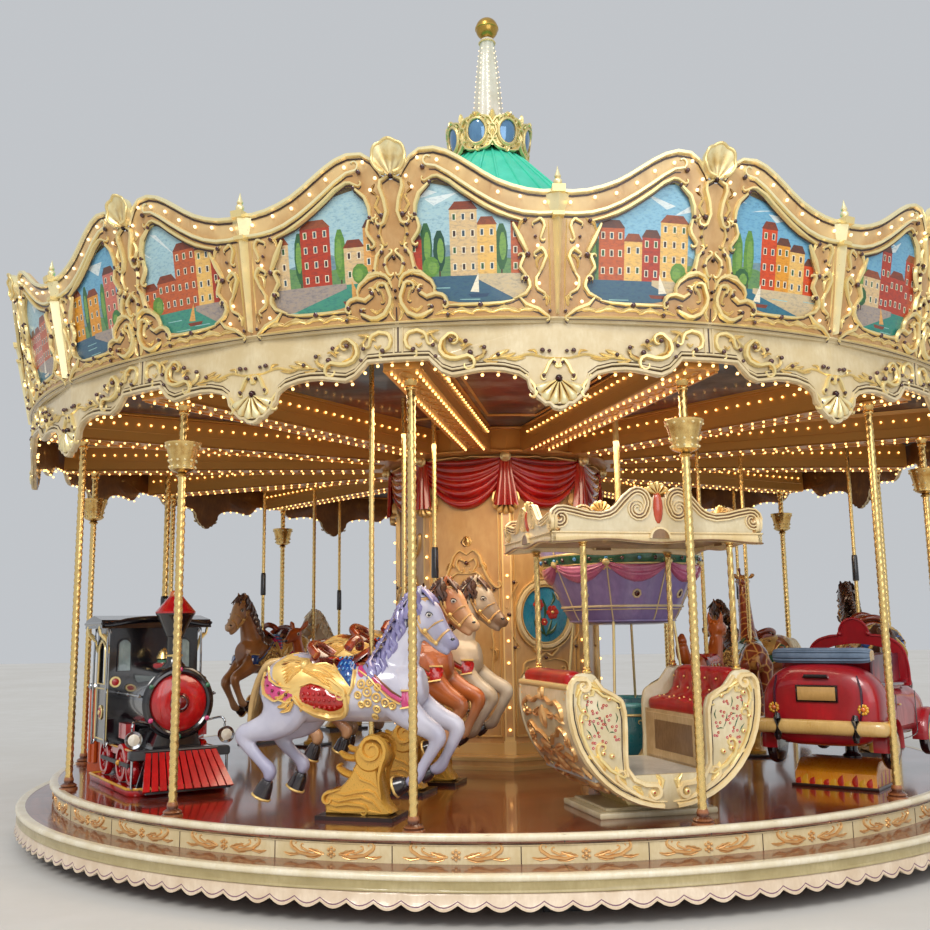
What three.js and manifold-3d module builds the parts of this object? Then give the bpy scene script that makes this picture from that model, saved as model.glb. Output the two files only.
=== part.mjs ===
// Fairground carousel with fourteen bays: a ground frame, a turning deck with its riders'
// figures, a centre column, and a canopy of beams, ceiling, crown boards, roof and spire.
// Millimetres, +Z up. The origin is on the ground at the turning axis, and the front is -Y.
// Azimuth 0 is the front and grows anticlockwise seen from above, which is the way it turns.
import * as THREE from 'three';
import { mergeVertices } from 'three/addons/utils/BufferGeometryUtils.js';
import Module from 'manifold-3d';

const wasm = await Module();
wasm.setup();

// Driving dimensions
const BAYS = 14;
const BAY = 360 / BAYS;
const RIM_SEGMENTS = 4 * BAYS;
const GAP = 0.3;

const DECK_R = 4200;
const DECK_TOP = 480;
const DECK_THICK = 60;
const STEP_R = 4462;
const STEP_TOP = 304;
const STEP_THICK = 30;
const BOARD_THICK = 30;
const SKIRT_R = 4454;
const SKIRT_BOTTOM = 100;

const POLE_RING_R = 4100;
const POLE_R = 30;
const POLE_FOOT_R = 72;
const POLE_FOOT_H = 85;
const CUP_TOP = 3080;
const CUP_BOTTOM = 2870;
const CUP_TOP_R = 130;
const CUP_BOTTOM_R = 85;

const BEAM_BOTTOM = 3360;
const BEAM_TOP = 3600;
const BEAM_WIDTH = 240;
const BEAM_END_R = 4380;
const HUB_R = 1180;
const CEILING_THICK = 30;

const VALANCE_R = 4476;
const VALANCE_TOP = 3625;
const CROWN_FOOT_R = 4500;
const CROWN_HEAD_R = 4700;
const CROWN_HEAD_Z = 4700;
const CROWN_THICK = 40;

const ROOF_RIM_R = 4400;
const ROOF_THICK = 30;
const ROOF_TOP = 6900;
const ROOF_TOP_R = 120;
const ORNAMENT_FOOT = 6745;
const ORNAMENT_SEAT = 6960;
const ORNAMENT_TOP = 7160;
const SPIRE_TOP = 8250;
const SPIRE_FOOT_R = 190;
const SPIRE_HEAD_R = 60;
const BALL_R = 125;

const COLUMN_R = 1030;
const PLINTH_R = 1300;
const PLINTH_H = 110;

const FRAME_HUB_R = 620;
const FRAME_HUB_TOP = 330;
const FRAME_ARM_R = 4050;
const FRAME_ARM_W = 120;
const FRAME_ARM_BOTTOM = 110;
const FRAME_ARM_TOP = 230;
const FRAME_FOOT = 240;

const FIGURE_POLE_R = 22;
const FIGURE_POLE_TOP = 4000;
const FIGURE_POLE_SIDES = 12;
const RUNNING_GAP = 0.5;
const FIGURE_POLE_FOOT = 70;

const CREAM = new THREE.MeshStandardMaterial({ color: 0xe9dcb8, roughness: 0.45, metalness: 0 });
const GOLD = new THREE.MeshStandardMaterial({ color: 0xc79a4b, roughness: 0.35, metalness: 0.6 });
const BRASS = new THREE.MeshStandardMaterial({ color: 0xb98a3c, roughness: 0.3, metalness: 0.9 });
const VARNISH = new THREE.MeshStandardMaterial({ color: 0x8a3c1c, roughness: 0.2, metalness: 0 });
const OCHRE = new THREE.MeshStandardMaterial({ color: 0xd9bc86, roughness: 0.45, metalness: 0 });
const CEILING_PAINT = new THREE.MeshStandardMaterial({ color: 0x4f5560, roughness: 0.6, metalness: 0 });
const TURQUOISE = new THREE.MeshStandardMaterial({ color: 0x39b795, roughness: 0.5, metalness: 0 });
const PALE = new THREE.MeshStandardMaterial({ color: 0xe8e4dc, roughness: 0.4, metalness: 0 });
const STEEL = new THREE.MeshStandardMaterial({ color: 0x4a4d50, roughness: 0.6, metalness: 0.7 });
const RED = new THREE.MeshStandardMaterial({ color: 0xa81820, roughness: 0.25, metalness: 0 });
const BLACK = new THREE.MeshStandardMaterial({ color: 0x151515, roughness: 0.3, metalness: 0 });
const GREY_COAT = new THREE.MeshStandardMaterial({ color: 0xc4c2cc, roughness: 0.25, metalness: 0 });
const CHESTNUT_COAT = new THREE.MeshStandardMaterial({ color: 0xb5713a, roughness: 0.25, metalness: 0 });
const WHITE_COAT = new THREE.MeshStandardMaterial({ color: 0xe6ddd0, roughness: 0.25, metalness: 0 });
const BROWN_COAT = new THREE.MeshStandardMaterial({ color: 0x8a5a38, roughness: 0.25, metalness: 0 });
const DARK_COAT = new THREE.MeshStandardMaterial({ color: 0x33241f, roughness: 0.25, metalness: 0 });
const FAWN_COAT = new THREE.MeshStandardMaterial({ color: 0xb4541f, roughness: 0.3, metalness: 0 });
const LILAC = new THREE.MeshStandardMaterial({ color: 0x8f80b8, roughness: 0.35, metalness: 0 });
const ORANGE = new THREE.MeshStandardMaterial({ color: 0xd88a1e, roughness: 0.3, metalness: 0 });

const rad = THREE.MathUtils.degToRad;
const carousel = new THREE.Group();

function addMesh(name, geometry, material, parent = carousel) {
  const mesh = new THREE.Mesh(geometry, material);
  mesh.name = name;
  parent.add(mesh);
  return mesh;
}

// A group whose +X points along the way the carousel turns and whose -Y points outwards,
// at a radius and azimuth, on top of the deck
function placeOnDeck(azimuth, radius) {
  const turn = new THREE.Group();
  turn.rotation.z = rad(azimuth);
  const place = new THREE.Group();
  place.position.set(0, -radius, DECK_TOP + GAP);
  turn.add(place);
  carousel.add(turn);
  return place;
}

// Closed meshes from rings of points, and joins and cuts

function signedVolume(points, triangles) {
  const corner = (index) => new THREE.Vector3(...points[index]);
  return triangles.reduce((sum, [a, b, c]) => sum + corner(a).dot(corner(b).cross(corner(c))) / 6, 0);
}

function meshFromTriangles(points, triangles) {
  const insideOut = signedVolume(points, triangles) < 0;
  const facing = insideOut ? triangles.map(([a, b, c]) => [a, c, b]) : triangles;
  const geometry = new THREE.BufferGeometry();
  geometry.setAttribute('position', new THREE.Float32BufferAttribute(points.flat(), 3));
  geometry.setIndex(facing.flat());
  return geometry;
}

// A skin over rings that have the same number of points, with flat ends or closed on itself
function skinRings(rings, closedLoop = false) {
  const sides = rings[0].length;
  const points = rings.flat();
  const triangles = [];
  const spans = closedLoop ? rings.length : rings.length - 1;
  for (let i = 0; i < spans; i += 1) {
    const low = i * sides;
    const high = ((i + 1) % rings.length) * sides;
    for (let j = 0; j < sides; j += 1) {
      const k = (j + 1) % sides;
      triangles.push([low + j, low + k, high + k], [low + j, high + k, high + j]);
    }
  }
  if (!closedLoop) {
    const last = (rings.length - 1) * sides;
    for (let j = 1; j < sides - 1; j += 1) {
      triangles.push([0, j + 1, j], [last, last + j, last + j + 1]);
    }
  }
  return meshFromTriangles(points, triangles);
}

function solid(geometry) {
  const bare = geometry.clone();
  bare.deleteAttribute('normal');
  bare.deleteAttribute('uv');
  const merged = mergeVertices(bare, 1e-3);
  const vertProperties = Float32Array.from(merged.attributes.position.array);
  const triVerts = Uint32Array.from(merged.index.array);
  return new wasm.Manifold(new wasm.Mesh({ numProp: 3, vertProperties, triVerts }));
}

function geometryOf(manifold) {
  const mesh = manifold.getMesh();
  const geometry = new THREE.BufferGeometry();
  geometry.setAttribute('position', new THREE.BufferAttribute(mesh.vertProperties, 3));
  geometry.setIndex(new THREE.BufferAttribute(mesh.triVerts, 1));
  return geometry;
}

function join(geometries) {
  const solids = geometries.map(solid);
  return geometryOf(solids.reduce((sum, next) => sum.add(next)));
}

function cut(geometry, cutters) {
  const body = solid(geometry);
  return geometryOf(cutters.map(solid).reduce((rest, next) => rest.subtract(next), body));
}

// Basic bodies

function boxBetween(low, high) {
  const size = high.map((value, i) => value - low[i]);
  const geometry = new THREE.BoxGeometry(...size);
  geometry.translate(...low.map((value, i) => value + size[i] / 2));
  return geometry;
}

function uprightCylinder(radius, bottom, top, sides, x = 0, y = 0, topRadius = radius) {
  const geometry = new THREE.CylinderGeometry(topRadius, radius, top - bottom, sides);
  geometry.rotateX(Math.PI / 2);
  geometry.translate(x, y, (top + bottom) / 2);
  return geometry;
}

function crossCylinder(radius, low, high, sides, x, z) {
  const geometry = new THREE.CylinderGeometry(radius, radius, high - low, sides);
  geometry.translate(x, (low + high) / 2, z);
  return geometry;
}

// A profile of [radius, height] points turned about the upright axis. A closed profile ends
// on its first point; an open one starts and ends on the axis.
function turned(profile, sides, closed = false) {
  const outline = closed ? [...profile, profile[0]] : profile;
  const geometry = new THREE.LatheGeometry(outline.map(([r, z]) => new THREE.Vector2(r, z)), sides);
  geometry.rotateX(Math.PI / 2);
  return geometry;
}

// An outline of [x, z] points, extruded across from y = low to y = high
function sidePlate(outline, low, high) {
  const shape = new THREE.Shape(outline.map(([x, z]) => new THREE.Vector2(x, z)));
  const geometry = new THREE.ExtrudeGeometry(shape, { depth: high - low, bevelEnabled: false });
  geometry.rotateX(Math.PI / 2);
  geometry.translate(0, high, 0);
  return geometry;
}

// A rounded limb along stations of [x, y, z, radius in its plane, radius across]
function limb(stations, sides) {
  const centres = stations.map(([x, y, z]) => new THREE.Vector3(x, y, z));
  const across = new THREE.Vector3(0, 1, 0);
  const rings = stations.map((station, i) => {
    const before = centres[Math.max(i - 1, 0)];
    const after = centres[Math.min(i + 1, centres.length - 1)];
    const along = after.clone().sub(before).normalize();
    const inPlane = new THREE.Vector3().crossVectors(along, across).normalize();
    const side = new THREE.Vector3().crossVectors(along, inPlane);
    return Array.from({ length: sides }, (_, j) => {
      const angle = (2 * Math.PI * j) / sides;
      return centres[i].clone()
        .addScaledVector(inPlane, station[3] * Math.cos(angle))
        .addScaledVector(side, station[4] * Math.sin(angle))
        .toArray();
    });
  });
  return skinRings(rings);
}

// The rim is a polygon of RIM_SEGMENTS sides with a corner at azimuth 0. This gives the
// point at an azimuth on the polygon whose corners lie at the given radius.
function rimPoint(azimuth, cornerRadius, height) {
  const side = 360 / RIM_SEGMENTS;
  const fromMiddle = ((((azimuth % side) + side) % side) - side / 2);
  const radius = (cornerRadius * Math.cos(rad(side / 2))) / Math.cos(rad(fromMiddle));
  return [radius * Math.sin(rad(azimuth)), -radius * Math.cos(rad(azimuth)), height];
}

function rimRing(profile) {
  const geometry = turned(profile, RIM_SEGMENTS, true);
  return geometry;
}

// Heights given at offsets from the middle of a bay, mirrored and repeated round the rim
function bayColumns(halfBay) {
  const rest = halfBay.slice(1, -1).reverse().map(([offset, height]) => [BAY - offset, height]);
  const oneBay = [...halfBay, ...rest];
  const columns = [];
  for (let bay = 0; bay < BAYS; bay += 1) {
    oneBay.forEach(([offset, height]) => columns.push([bay * BAY + offset, height]));
  }
  return columns;
}

// Ground frame: a hub with a turning ring on top, an arm under each second bay, and a foot
// at each arm's end
function groundFrame() {
  const hub = uprightCylinder(FRAME_HUB_R, 0, FRAME_HUB_TOP, 28);
  const arms = [];
  for (let i = 0; i < BAYS / 2; i += 1) {
    const arm = boxBetween(
      [-FRAME_ARM_W / 2, -FRAME_ARM_R, FRAME_ARM_BOTTOM],
      [FRAME_ARM_W / 2, 0, FRAME_ARM_TOP],
    );
    const foot = boxBetween(
      [-FRAME_FOOT / 2, -FRAME_ARM_R, 0],
      [FRAME_FOOT / 2, -FRAME_ARM_R + FRAME_FOOT, FRAME_ARM_TOP],
    );
    [arm, foot].forEach((piece) => {
      piece.rotateZ(rad(i * 2 * BAY));
      arms.push(piece);
    });
  }
  return join([hub, ...arms]);
}

// Turning base: deck, riser, step tread and skirt
function deck() {
  const under = DECK_TOP - DECK_THICK;
  return turned([
    [0, FRAME_HUB_TOP + GAP],
    [FRAME_HUB_R, FRAME_HUB_TOP + GAP],
    [FRAME_HUB_R, under],
    [DECK_R - 20, under],
    [DECK_R, under + 15],
    [DECK_R, DECK_TOP],
    [0, DECK_TOP],
  ], RIM_SEGMENTS);
}

function riser() {
  const outer = DECK_R - 30;
  const top = DECK_TOP - DECK_THICK - GAP;
  const bottom = STEP_TOP + GAP;
  return rimRing([[outer - BOARD_THICK, bottom], [outer, bottom], [outer, top], [outer - BOARD_THICK, top]]);
}

function stepTread() {
  const inner = DECK_R - 30 - 2 * BOARD_THICK;
  const bottom = STEP_TOP - STEP_THICK;
  return rimRing([[inner, bottom], [STEP_R, bottom], [STEP_R, STEP_TOP], [inner, STEP_TOP]]);
}

function skirt() {
  const inner = SKIRT_R - BOARD_THICK;
  const top = STEP_TOP - STEP_THICK - GAP;
  return rimRing([[inner, SKIRT_BOTTOM], [SKIRT_R, SKIRT_BOTTOM], [SKIRT_R, top], [inner, top]]);
}

// Centre column: eight sides, with a plinth
function column() {
  const foot = DECK_TOP + GAP;
  const face = COLUMN_R * Math.cos(Math.PI / 8);
  const plinthFace = PLINTH_R * Math.cos(Math.PI / 8);
  const profile = [
    [0, foot],
    [plinthFace / Math.cos(Math.PI / 8), foot],
    [plinthFace / Math.cos(Math.PI / 8), foot + PLINTH_H],
    [face / Math.cos(Math.PI / 8), foot + PLINTH_H],
    [face / Math.cos(Math.PI / 8), BEAM_BOTTOM - GAP],
    [0, BEAM_BOTTOM - GAP],
  ];
  return turned(profile, 8);
}

// Canopy: beams on a hub, ceiling, valance, crown boards, roof, ornament and spire
function beamWheel() {
  const hub = uprightCylinder(HUB_R, BEAM_BOTTOM, BEAM_TOP, BAYS);
  const beams = [];
  for (let i = 0; i < BAYS; i += 1) {
    const beam = boxBetween(
      [-BEAM_WIDTH / 2, -BEAM_END_R, BEAM_BOTTOM],
      [BEAM_WIDTH / 2, -HUB_R / 2, BEAM_TOP],
    );
    beam.rotateZ(rad((i + 0.5) * BAY));
    beams.push(beam);
  }
  return join([hub, ...beams]);
}

function ceiling(holes) {
  const bottom = BEAM_TOP + GAP;
  const panel = turned([
    [0, bottom],
    [VALANCE_R - BOARD_THICK - GAP, bottom],
    [VALANCE_R - BOARD_THICK - GAP, bottom + CEILING_THICK],
    [0, bottom + CEILING_THICK],
  ], RIM_SEGMENTS);
  const cutters = holes.map(({ azimuth, radius }) => {
    const hole = uprightCylinder(
      FIGURE_POLE_R + RUNNING_GAP, bottom - 10, bottom + CEILING_THICK + 10,
      FIGURE_POLE_SIDES, 0, -radius,
    );
    hole.rotateZ(rad(azimuth));
    return hole;
  });
  return cut(panel, cutters);
}

// Lower edge of the valance as [degrees from the bay's pendant, height], over half a bay
const VALANCE_EDGE = [
  [0, 3045], [1.2, 3120], [2.4, 3310], [BAY / 4, 3330], [8.4, 3308], [10.2, 3385], [BAY / 2, 3390],
];

function valance() {
  const rings = bayColumns(VALANCE_EDGE).map(([azimuth, bottom]) => [
    rimPoint(azimuth, VALANCE_R - BOARD_THICK, bottom),
    rimPoint(azimuth, VALANCE_R, bottom),
    rimPoint(azimuth, VALANCE_R, VALANCE_TOP),
    rimPoint(azimuth, VALANCE_R - BOARD_THICK, VALANCE_TOP),
  ]);
  return skinRings(rings, true);
}

// Upper edge of the crown boards as [degrees from the bay's pilaster, height], over half a bay
const CROWN_EDGE = [
  [0, 4420], [3.2, 4430], [BAY / 4, 4560], [8.7, 4670], [10.4, 4700], [BAY / 2, 4620],
];

function crownBoards() {
  const foot = VALANCE_TOP + GAP;
  const lean = (CROWN_HEAD_R - CROWN_FOOT_R) / (CROWN_HEAD_Z - foot);
  const rings = bayColumns(CROWN_EDGE).map(([azimuth, top]) => {
    const head = CROWN_FOOT_R + lean * (top - foot);
    return [
      rimPoint(azimuth, CROWN_FOOT_R - CROWN_THICK, foot),
      rimPoint(azimuth, CROWN_FOOT_R, foot),
      rimPoint(azimuth, head, top),
      rimPoint(azimuth, head - CROWN_THICK, top),
    ];
  });
  return skinRings(rings, true);
}

// The roof's outer line as [radius, height]
const ROOF_LINE = [
  [ROOF_RIM_R, 4230], [3000, 4760], [1900, 5330], [1200, 5900], [700, 6420], [400, 6730],
  [220, 6860], [ROOF_TOP_R, ROOF_TOP],
];

function roof() {
  const foot = BEAM_TOP + GAP + CEILING_THICK + GAP;
  const outside = [[ROOF_RIM_R, foot], ...ROOF_LINE];
  const inside = outside.map(([r, z], i) => [
    r - ROOF_THICK,
    i === 0 ? z : z - ROOF_THICK,
  ]);
  return turned([
    [0, ROOF_TOP - ROOF_THICK], ...inside.reverse(), ...outside, [0, ROOF_TOP],
  ], 2 * BAYS);
}

// An open cup that hangs round the roof's head, with a floor that the spire stands on
function crownOrnament() {
  const floor = ROOF_TOP + GAP;
  return turned([
    [0, floor], [300, floor], [410, ORNAMENT_FOOT], [430, ORNAMENT_FOOT], [470, ORNAMENT_TOP],
    [435, ORNAMENT_TOP], [350, ORNAMENT_SEAT], [0, ORNAMENT_SEAT],
  ], 16);
}

function spire() {
  const foot = ORNAMENT_SEAT + GAP;
  return turned([
    [0, foot], [SPIRE_FOOT_R, foot], [SPIRE_FOOT_R, foot + 100], [155, foot + 340],
    [SPIRE_HEAD_R, SPIRE_TOP], [0, SPIRE_TOP],
  ], 12);
}

function finialBall() {
  const foot = SPIRE_TOP + GAP;
  const profile = [[0, foot]];
  for (let i = 1; i < 6; i += 1) {
    const angle = (Math.PI * i) / 6;
    profile.push([BALL_R * Math.sin(angle), foot + BALL_R * (1 - Math.cos(angle))]);
  }
  profile.push([0, foot + 2 * BALL_R]);
  return turned(profile, 12);
}

// Outer poles: every second one carries a cup
function outerPole(hasCup) {
  const foot = DECK_TOP + GAP;
  const top = BEAM_BOTTOM - GAP;
  const cup = [
    [POLE_R, CUP_BOTTOM], [CUP_BOTTOM_R, CUP_BOTTOM], [CUP_TOP_R, CUP_TOP], [POLE_R, CUP_TOP],
  ];
  return turned([
    [0, foot], [POLE_FOOT_R, foot], [POLE_FOOT_R, foot + 30], [POLE_R, foot + POLE_FOOT_H],
    ...(hasCup ? cup : []),
    [POLE_R, top], [0, top],
  ], 10);
}

// Horses: limbs along stations of [x, y, z, radius in its plane, radius across], with the
// pole at x = 0 and the deck at z = 0
const HORSE_TORSO = [
  [-860, 0, 850, 100, 90], [-740, 0, 825, 205, 170], [-430, 0, 795, 230, 205], [0, 0, 790, 230, 195],
  [240, 0, 835, 240, 170], [400, 0, 865, 120, 100],
];
const HORSE_NECK = [[170, 0, 930, 190, 110], [330, 0, 1200, 145, 92], [400, 0, 1410, 85, 64]];
const HORSE_HEAD = [
  [345, 0, 1445, 70, 60], [440, 0, 1370, 115, 84], [580, 0, 1235, 78, 62], [680, 0, 1120, 48, 42],
];
const HORSE_TAIL = [[-780, 0, 960, 50, 40], [-915, 0, 830, 80, 52], [-940, 0, 400, 34, 26]];

function foreLeg(side, kneeX, kneeZ, hoofX, hoofZ) {
  const y = side * 95;
  return limb([
    [220, y, 760, 110, 75], [kneeX, y, kneeZ, 60, 50], [hoofX + 60, y, hoofZ + 110, 42, 40],
    [hoofX, y, hoofZ, 60, 50],
  ], 5);
}

function hindLeg(side, hockX, hockZ, hoofX, hoofZ) {
  const y = side * 105;
  return limb([
    [-640, y, 760, 150, 90], [hockX + 60, y, hockZ + 90, 84, 60], [hockX + 10, y, hockZ - 20, 58, 46],
    [hoofX + 40, y, hoofZ + 110, 44, 42], [hoofX, y, hoofZ, 60, 50],
  ], 5);
}

function ear(side) {
  return limb([[405, side * 45, 1440, 38, 24], [430, side * 52, 1550, 8, 6]], 4);
}

function horse(poleTop) {
  return join([
    limb(HORSE_TORSO, 8),
    limb(HORSE_NECK, 6),
    limb(HORSE_HEAD, 6),
    limb(HORSE_TAIL, 5),
    foreLeg(-1, 640, 530, 330, 190),
    foreLeg(1, 690, 600, 470, 230),
    hindLeg(-1, -900, 470, -700, 60),
    hindLeg(1, -860, 500, -600, 110),
    ear(-1),
    ear(1),
    uprightCylinder(FIGURE_POLE_R, FIGURE_POLE_FOOT, poleTop, FIGURE_POLE_SIDES),
  ]);
}

// The stand a jumping horse rides over: a plate and a body with a volute head around its pole
const STAND_HALF_W = 85;
const STAND_VOLUTE_R = 108;
const STAND_VOLUTE_Z = 405;

function horseStand() {
  const body = sidePlate([
    [-190, 18], [170, 18], [132, 180], [118, 400], [-90, 400], [-105, 260],
  ], -STAND_HALF_W, STAND_HALF_W);
  const volute = crossCylinder(STAND_VOLUTE_R, -STAND_HALF_W, STAND_HALF_W, 16, 14, STAND_VOLUTE_Z);
  const plate = boxBetween([-260, -150, 0], [240, 150, 24]);
  const bore = uprightCylinder(FIGURE_POLE_R + RUNNING_GAP, 60, 560, FIGURE_POLE_SIDES);
  return cut(join([plate, body, volute]), [bore]);
}

// Standing animals on a plate and post, with a pole to the ceiling
function standingAnimal({ neckTop, bodyZ, legLength, scale }) {
  const s = scale;
  const at = (x, y, z, inPlane, across) => [x * s, y * s, z, inPlane * s, across * s];
  const foreLegs = [-1, 1].map((side) => limb([
    at(180, side * 70, bodyZ - 40, 60, 45), at(190, side * 75, bodyZ - legLength, 36, 32),
  ], 5));
  const hindLegs = [-1, 1].map((side) => limb([
    at(-320, side * 75, bodyZ - 40, 80, 50), at(-330, side * 80, bodyZ - legLength, 36, 32),
  ], 5));
  return join([
    limb([at(-420, 0, bodyZ, 90, 80), at(-300, 0, bodyZ - 5, 152, 132), at(180, 0, bodyZ + 15, 150, 124),
      at(290, 0, bodyZ + 30, 90, 80)], 8),
    limb([at(190, 0, bodyZ + 60, 110, 75), at(350, 0, neckTop, 65, 50)], 6),
    limb([at(290, 0, neckTop + 30, 55, 50), at(390, 0, neckTop + 10, 80, 62),
      at(510, 0, neckTop - 90, 45, 40)], 6),
    ...foreLegs,
    ...hindLegs,
    uprightCylinder(FIGURE_POLE_R, 10, BEAM_TOP - DECK_TOP - GAP, FIGURE_POLE_SIDES),
    uprightCylinder(60, 10, bodyZ - 60, 8, 0, 0, 45),
    boxBetween([-200, -120, 0], [200, 120, 24]),
  ]);
}

// Gondola: a crescent hull with a doorway through both sides, two seats and a canopy on four posts
const GONDOLA_AZIMUTH = 11;
const GONDOLA_RADIUS = 3400;
const GONDOLA_HALF_W = 515;
const GONDOLA_R = 690;
const GONDOLA_MID_Z = 760;
const GONDOLA_TIP = 98;
const GONDOLA_WALL = 35;
const GONDOLA_FLOOR = 290;
const GONDOLA_DOOR_HALF = 270;
const GONDOLA_SIDE_TOP = 945;
const GONDOLA_POST_X = 535;
const GONDOLA_POST_R = 17;
const CANOPY_HALF_L = 765;
const CANOPY_HALF_W = 530;
const CANOPY_BOTTOM = 1775;
const CANOPY_THICK = 90;
const CREST_THICK = 36;

// Points along an arc about a point on the upright axis, by the angle from straight down
function arcPoints(radius, centreZ, from, to, steps) {
  return Array.from({ length: steps + 1 }, (_, i) => {
    const angle = rad(from + ((to - from) * i) / steps);
    return [radius * Math.sin(angle), centreZ - radius * Math.cos(angle)];
  });
}

function angleAtHeight(radius, height) {
  return THREE.MathUtils.radToDeg(Math.acos((GONDOLA_MID_Z - height) / radius));
}

function gondolaHull() {
  const door = GONDOLA_DOOR_HALF;
  const half = GONDOLA_HALF_W;
  const insideR = GONDOLA_R - GONDOLA_WALL;
  const floorAngle = angleAtHeight(insideR, GONDOLA_FLOOR);
  const sideHead = [
    [640, 915], [590, GONDOLA_SIDE_TOP], [490, GONDOLA_SIDE_TOP], [408, 815], [door + 20, 780],
    [door, 730], [door, GONDOLA_FLOOR],
  ];
  const body = sidePlate([
    ...arcPoints(GONDOLA_R, GONDOLA_MID_Z, -GONDOLA_TIP, GONDOLA_TIP, 16),
    ...sideHead,
    ...sideHead.map(([x, z]) => [-x, z]).reverse(),
  ], -half, half);
  const hollow = sidePlate([
    [-600, 1400], [-600, 880],
    ...arcPoints(insideR, GONDOLA_MID_Z, -90, -floorAngle, 6),
    ...arcPoints(insideR, GONDOLA_MID_Z, floorAngle, 90, 6),
    [600, 880], [600, 1400],
  ], -half + GONDOLA_WALL, half - GONDOLA_WALL);
  const sill = boxBetween([-420, -350, 0], [420, 350, 40]);
  const keel = boxBetween([-200, -250, 30], [200, 250, 200]);
  return join([cut(body, [hollow]), keel, sill]);
}

function gondolaSeat(direction) {
  const backR = GONDOLA_R - GONDOLA_WALL - 6;
  const base = GONDOLA_FLOOR + GAP;
  const outline = [
    [GONDOLA_DOOR_HALF + 20, base],
    ...arcPoints(backR, GONDOLA_MID_Z, angleAtHeight(backR, base), 80, 6),
    [630, 800], [585, 880], [560, 920], [508, 915], [480, 740], [GONDOLA_DOOR_HALF + 20, 720],
  ].map(([x, z]) => [direction * x, z]);
  if (direction < 0) outline.reverse();
  const half = GONDOLA_HALF_W - GONDOLA_WALL - GAP;
  return sidePlate(outline, -half, half);
}

// A crest along one edge of the canopy: its half length, the edge's distance from the middle
// and its peak above the plate
function canopyCrest(halfLength, edge, side, peak) {
  const top = CANOPY_BOTTOM + CANOPY_THICK;
  const end = halfLength - CREST_THICK - 2;
  const half = [
    [end, top - 10], [end, top + 95], [0.56 * end, top + 95], [0.3 * end, top + 0.78 * peak],
  ];
  const faces = [side * (edge - 2), side * (edge - CREST_THICK)].sort((a, b) => a - b);
  return sidePlate([
    ...half, [0, top + peak], ...half.map(([x, z]) => [-x, z]).reverse(),
  ], ...faces);
}

function gondolaCanopy() {
  const top = CANOPY_BOTTOM + CANOPY_THICK;
  const postY = GONDOLA_HALF_W - GONDOLA_WALL / 2;
  const plate = boxBetween(
    [-CANOPY_HALF_L, -CANOPY_HALF_W, CANOPY_BOTTOM],
    [CANOPY_HALF_L, CANOPY_HALF_W, top],
  );
  const ends = [-1, 1];
  const posts = ends.flatMap((x) => ends.map((y) => uprightCylinder(
    GONDOLA_POST_R, GONDOLA_SIDE_TOP + GAP, CANOPY_BOTTOM + 20, 8, x * GONDOLA_POST_X, y * postY,
  )));
  const sideCrests = ends.map((side) => canopyCrest(CANOPY_HALF_L, CANOPY_HALF_W, side, 340));
  const endCrests = ends.map((side) => {
    const crest = canopyCrest(CANOPY_HALF_W, CANOPY_HALF_L, side, 240);
    crest.rotateZ(Math.PI / 2);
    return crest;
  });
  return join([plate, ...sideCrests, ...endCrests, ...posts]);
}

// Two-door car on a post and a block
function carBody() {
  const side = [
    [-800, 330], [790, 330], [830, 520], [780, 680], [330, 720], [300, 760], [-560, 760],
    [-620, 1050], [-770, 1050], [-840, 700],
  ];
  const shell = sidePlate(side, -430, 430);
  const cabin = boxBetween([-540, -340, 430], [270, 340, 900]);
  const wheels = [[-560, 330], [560, 330]].flatMap(([x, z]) => [
    crossCylinder(165, -470, -390, 14, x, z),
    crossCylinder(165, 390, 470, 14, x, z),
  ]);
  const bumper = boxBetween([-905, -480, 440], [-780, 480, 520]);
  const shield = sidePlate([[240, 690], [300, 690], [220, 1270], [175, 1270]], -400, 400);
  const shieldGlass = boxBetween([120, -340, 790], [400, 340, 1190]);
  const shieldFrame = cut(shield, [shieldGlass]);
  return join([cut(shell, [cabin]), ...wheels, bumper, shieldFrame]);
}

function carStand() {
  const block = sidePlate([
    [-560, 0], [-60, 0], [-60, 110], [-150, 200], [-430, 200], [-560, 110],
  ], -310, 310);
  const post = uprightCylinder(45, 100, 330 - GAP, 10, -220, -40);
  return join([block, post]);
}

// Locomotive and coach
const TRAIN_HALF_W = 400;

function locoChassis() {
  const plate = boxBetween([-700, -TRAIN_HALF_W, 0], [560, TRAIN_HALF_W, 60]);
  const frame = boxBetween([-700, -300, 50], [520, 300, 330]);
  const buffer = boxBetween([470, -TRAIN_HALF_W, 270], [560, TRAIN_HALF_W, 340]);
  const catcher = sidePlate([[530, 45], [790, 45], [790, 80], [570, 305], [530, 305]], -330, 330);
  const wheels = [[-480, 150, 175], [60, 190, 235]].flatMap(([x, radius, z]) => [
    crossCylinder(radius, -350, -290, 12, x, z),
    crossCylinder(radius, 290, 350, 12, x, z),
  ]);
  return join([plate, frame, buffer, catcher, ...wheels]);
}

function locoBoiler() {
  const bottom = 330 + GAP;
  const barrel = new THREE.CylinderGeometry(290, 290, 760, 16);
  barrel.rotateZ(Math.PI / 2);
  barrel.translate(110, 0, 690);
  const saddle = boxBetween([-270, -250, bottom], [460, 250, 600]);
  const chimney = uprightCylinder(60, 900, 1230, 10, 300);
  const cap = uprightCylinder(60, 1220, 1400, 12, 300, 0, 150);
  const cone = uprightCylinder(152, 1390, 1590, 12, 300, 0, 40);
  const dome = uprightCylinder(80, 900, 1110, 10, 0, 0, 50);
  return join([barrel, saddle, chimney, cap, cone, dome]);
}

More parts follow.
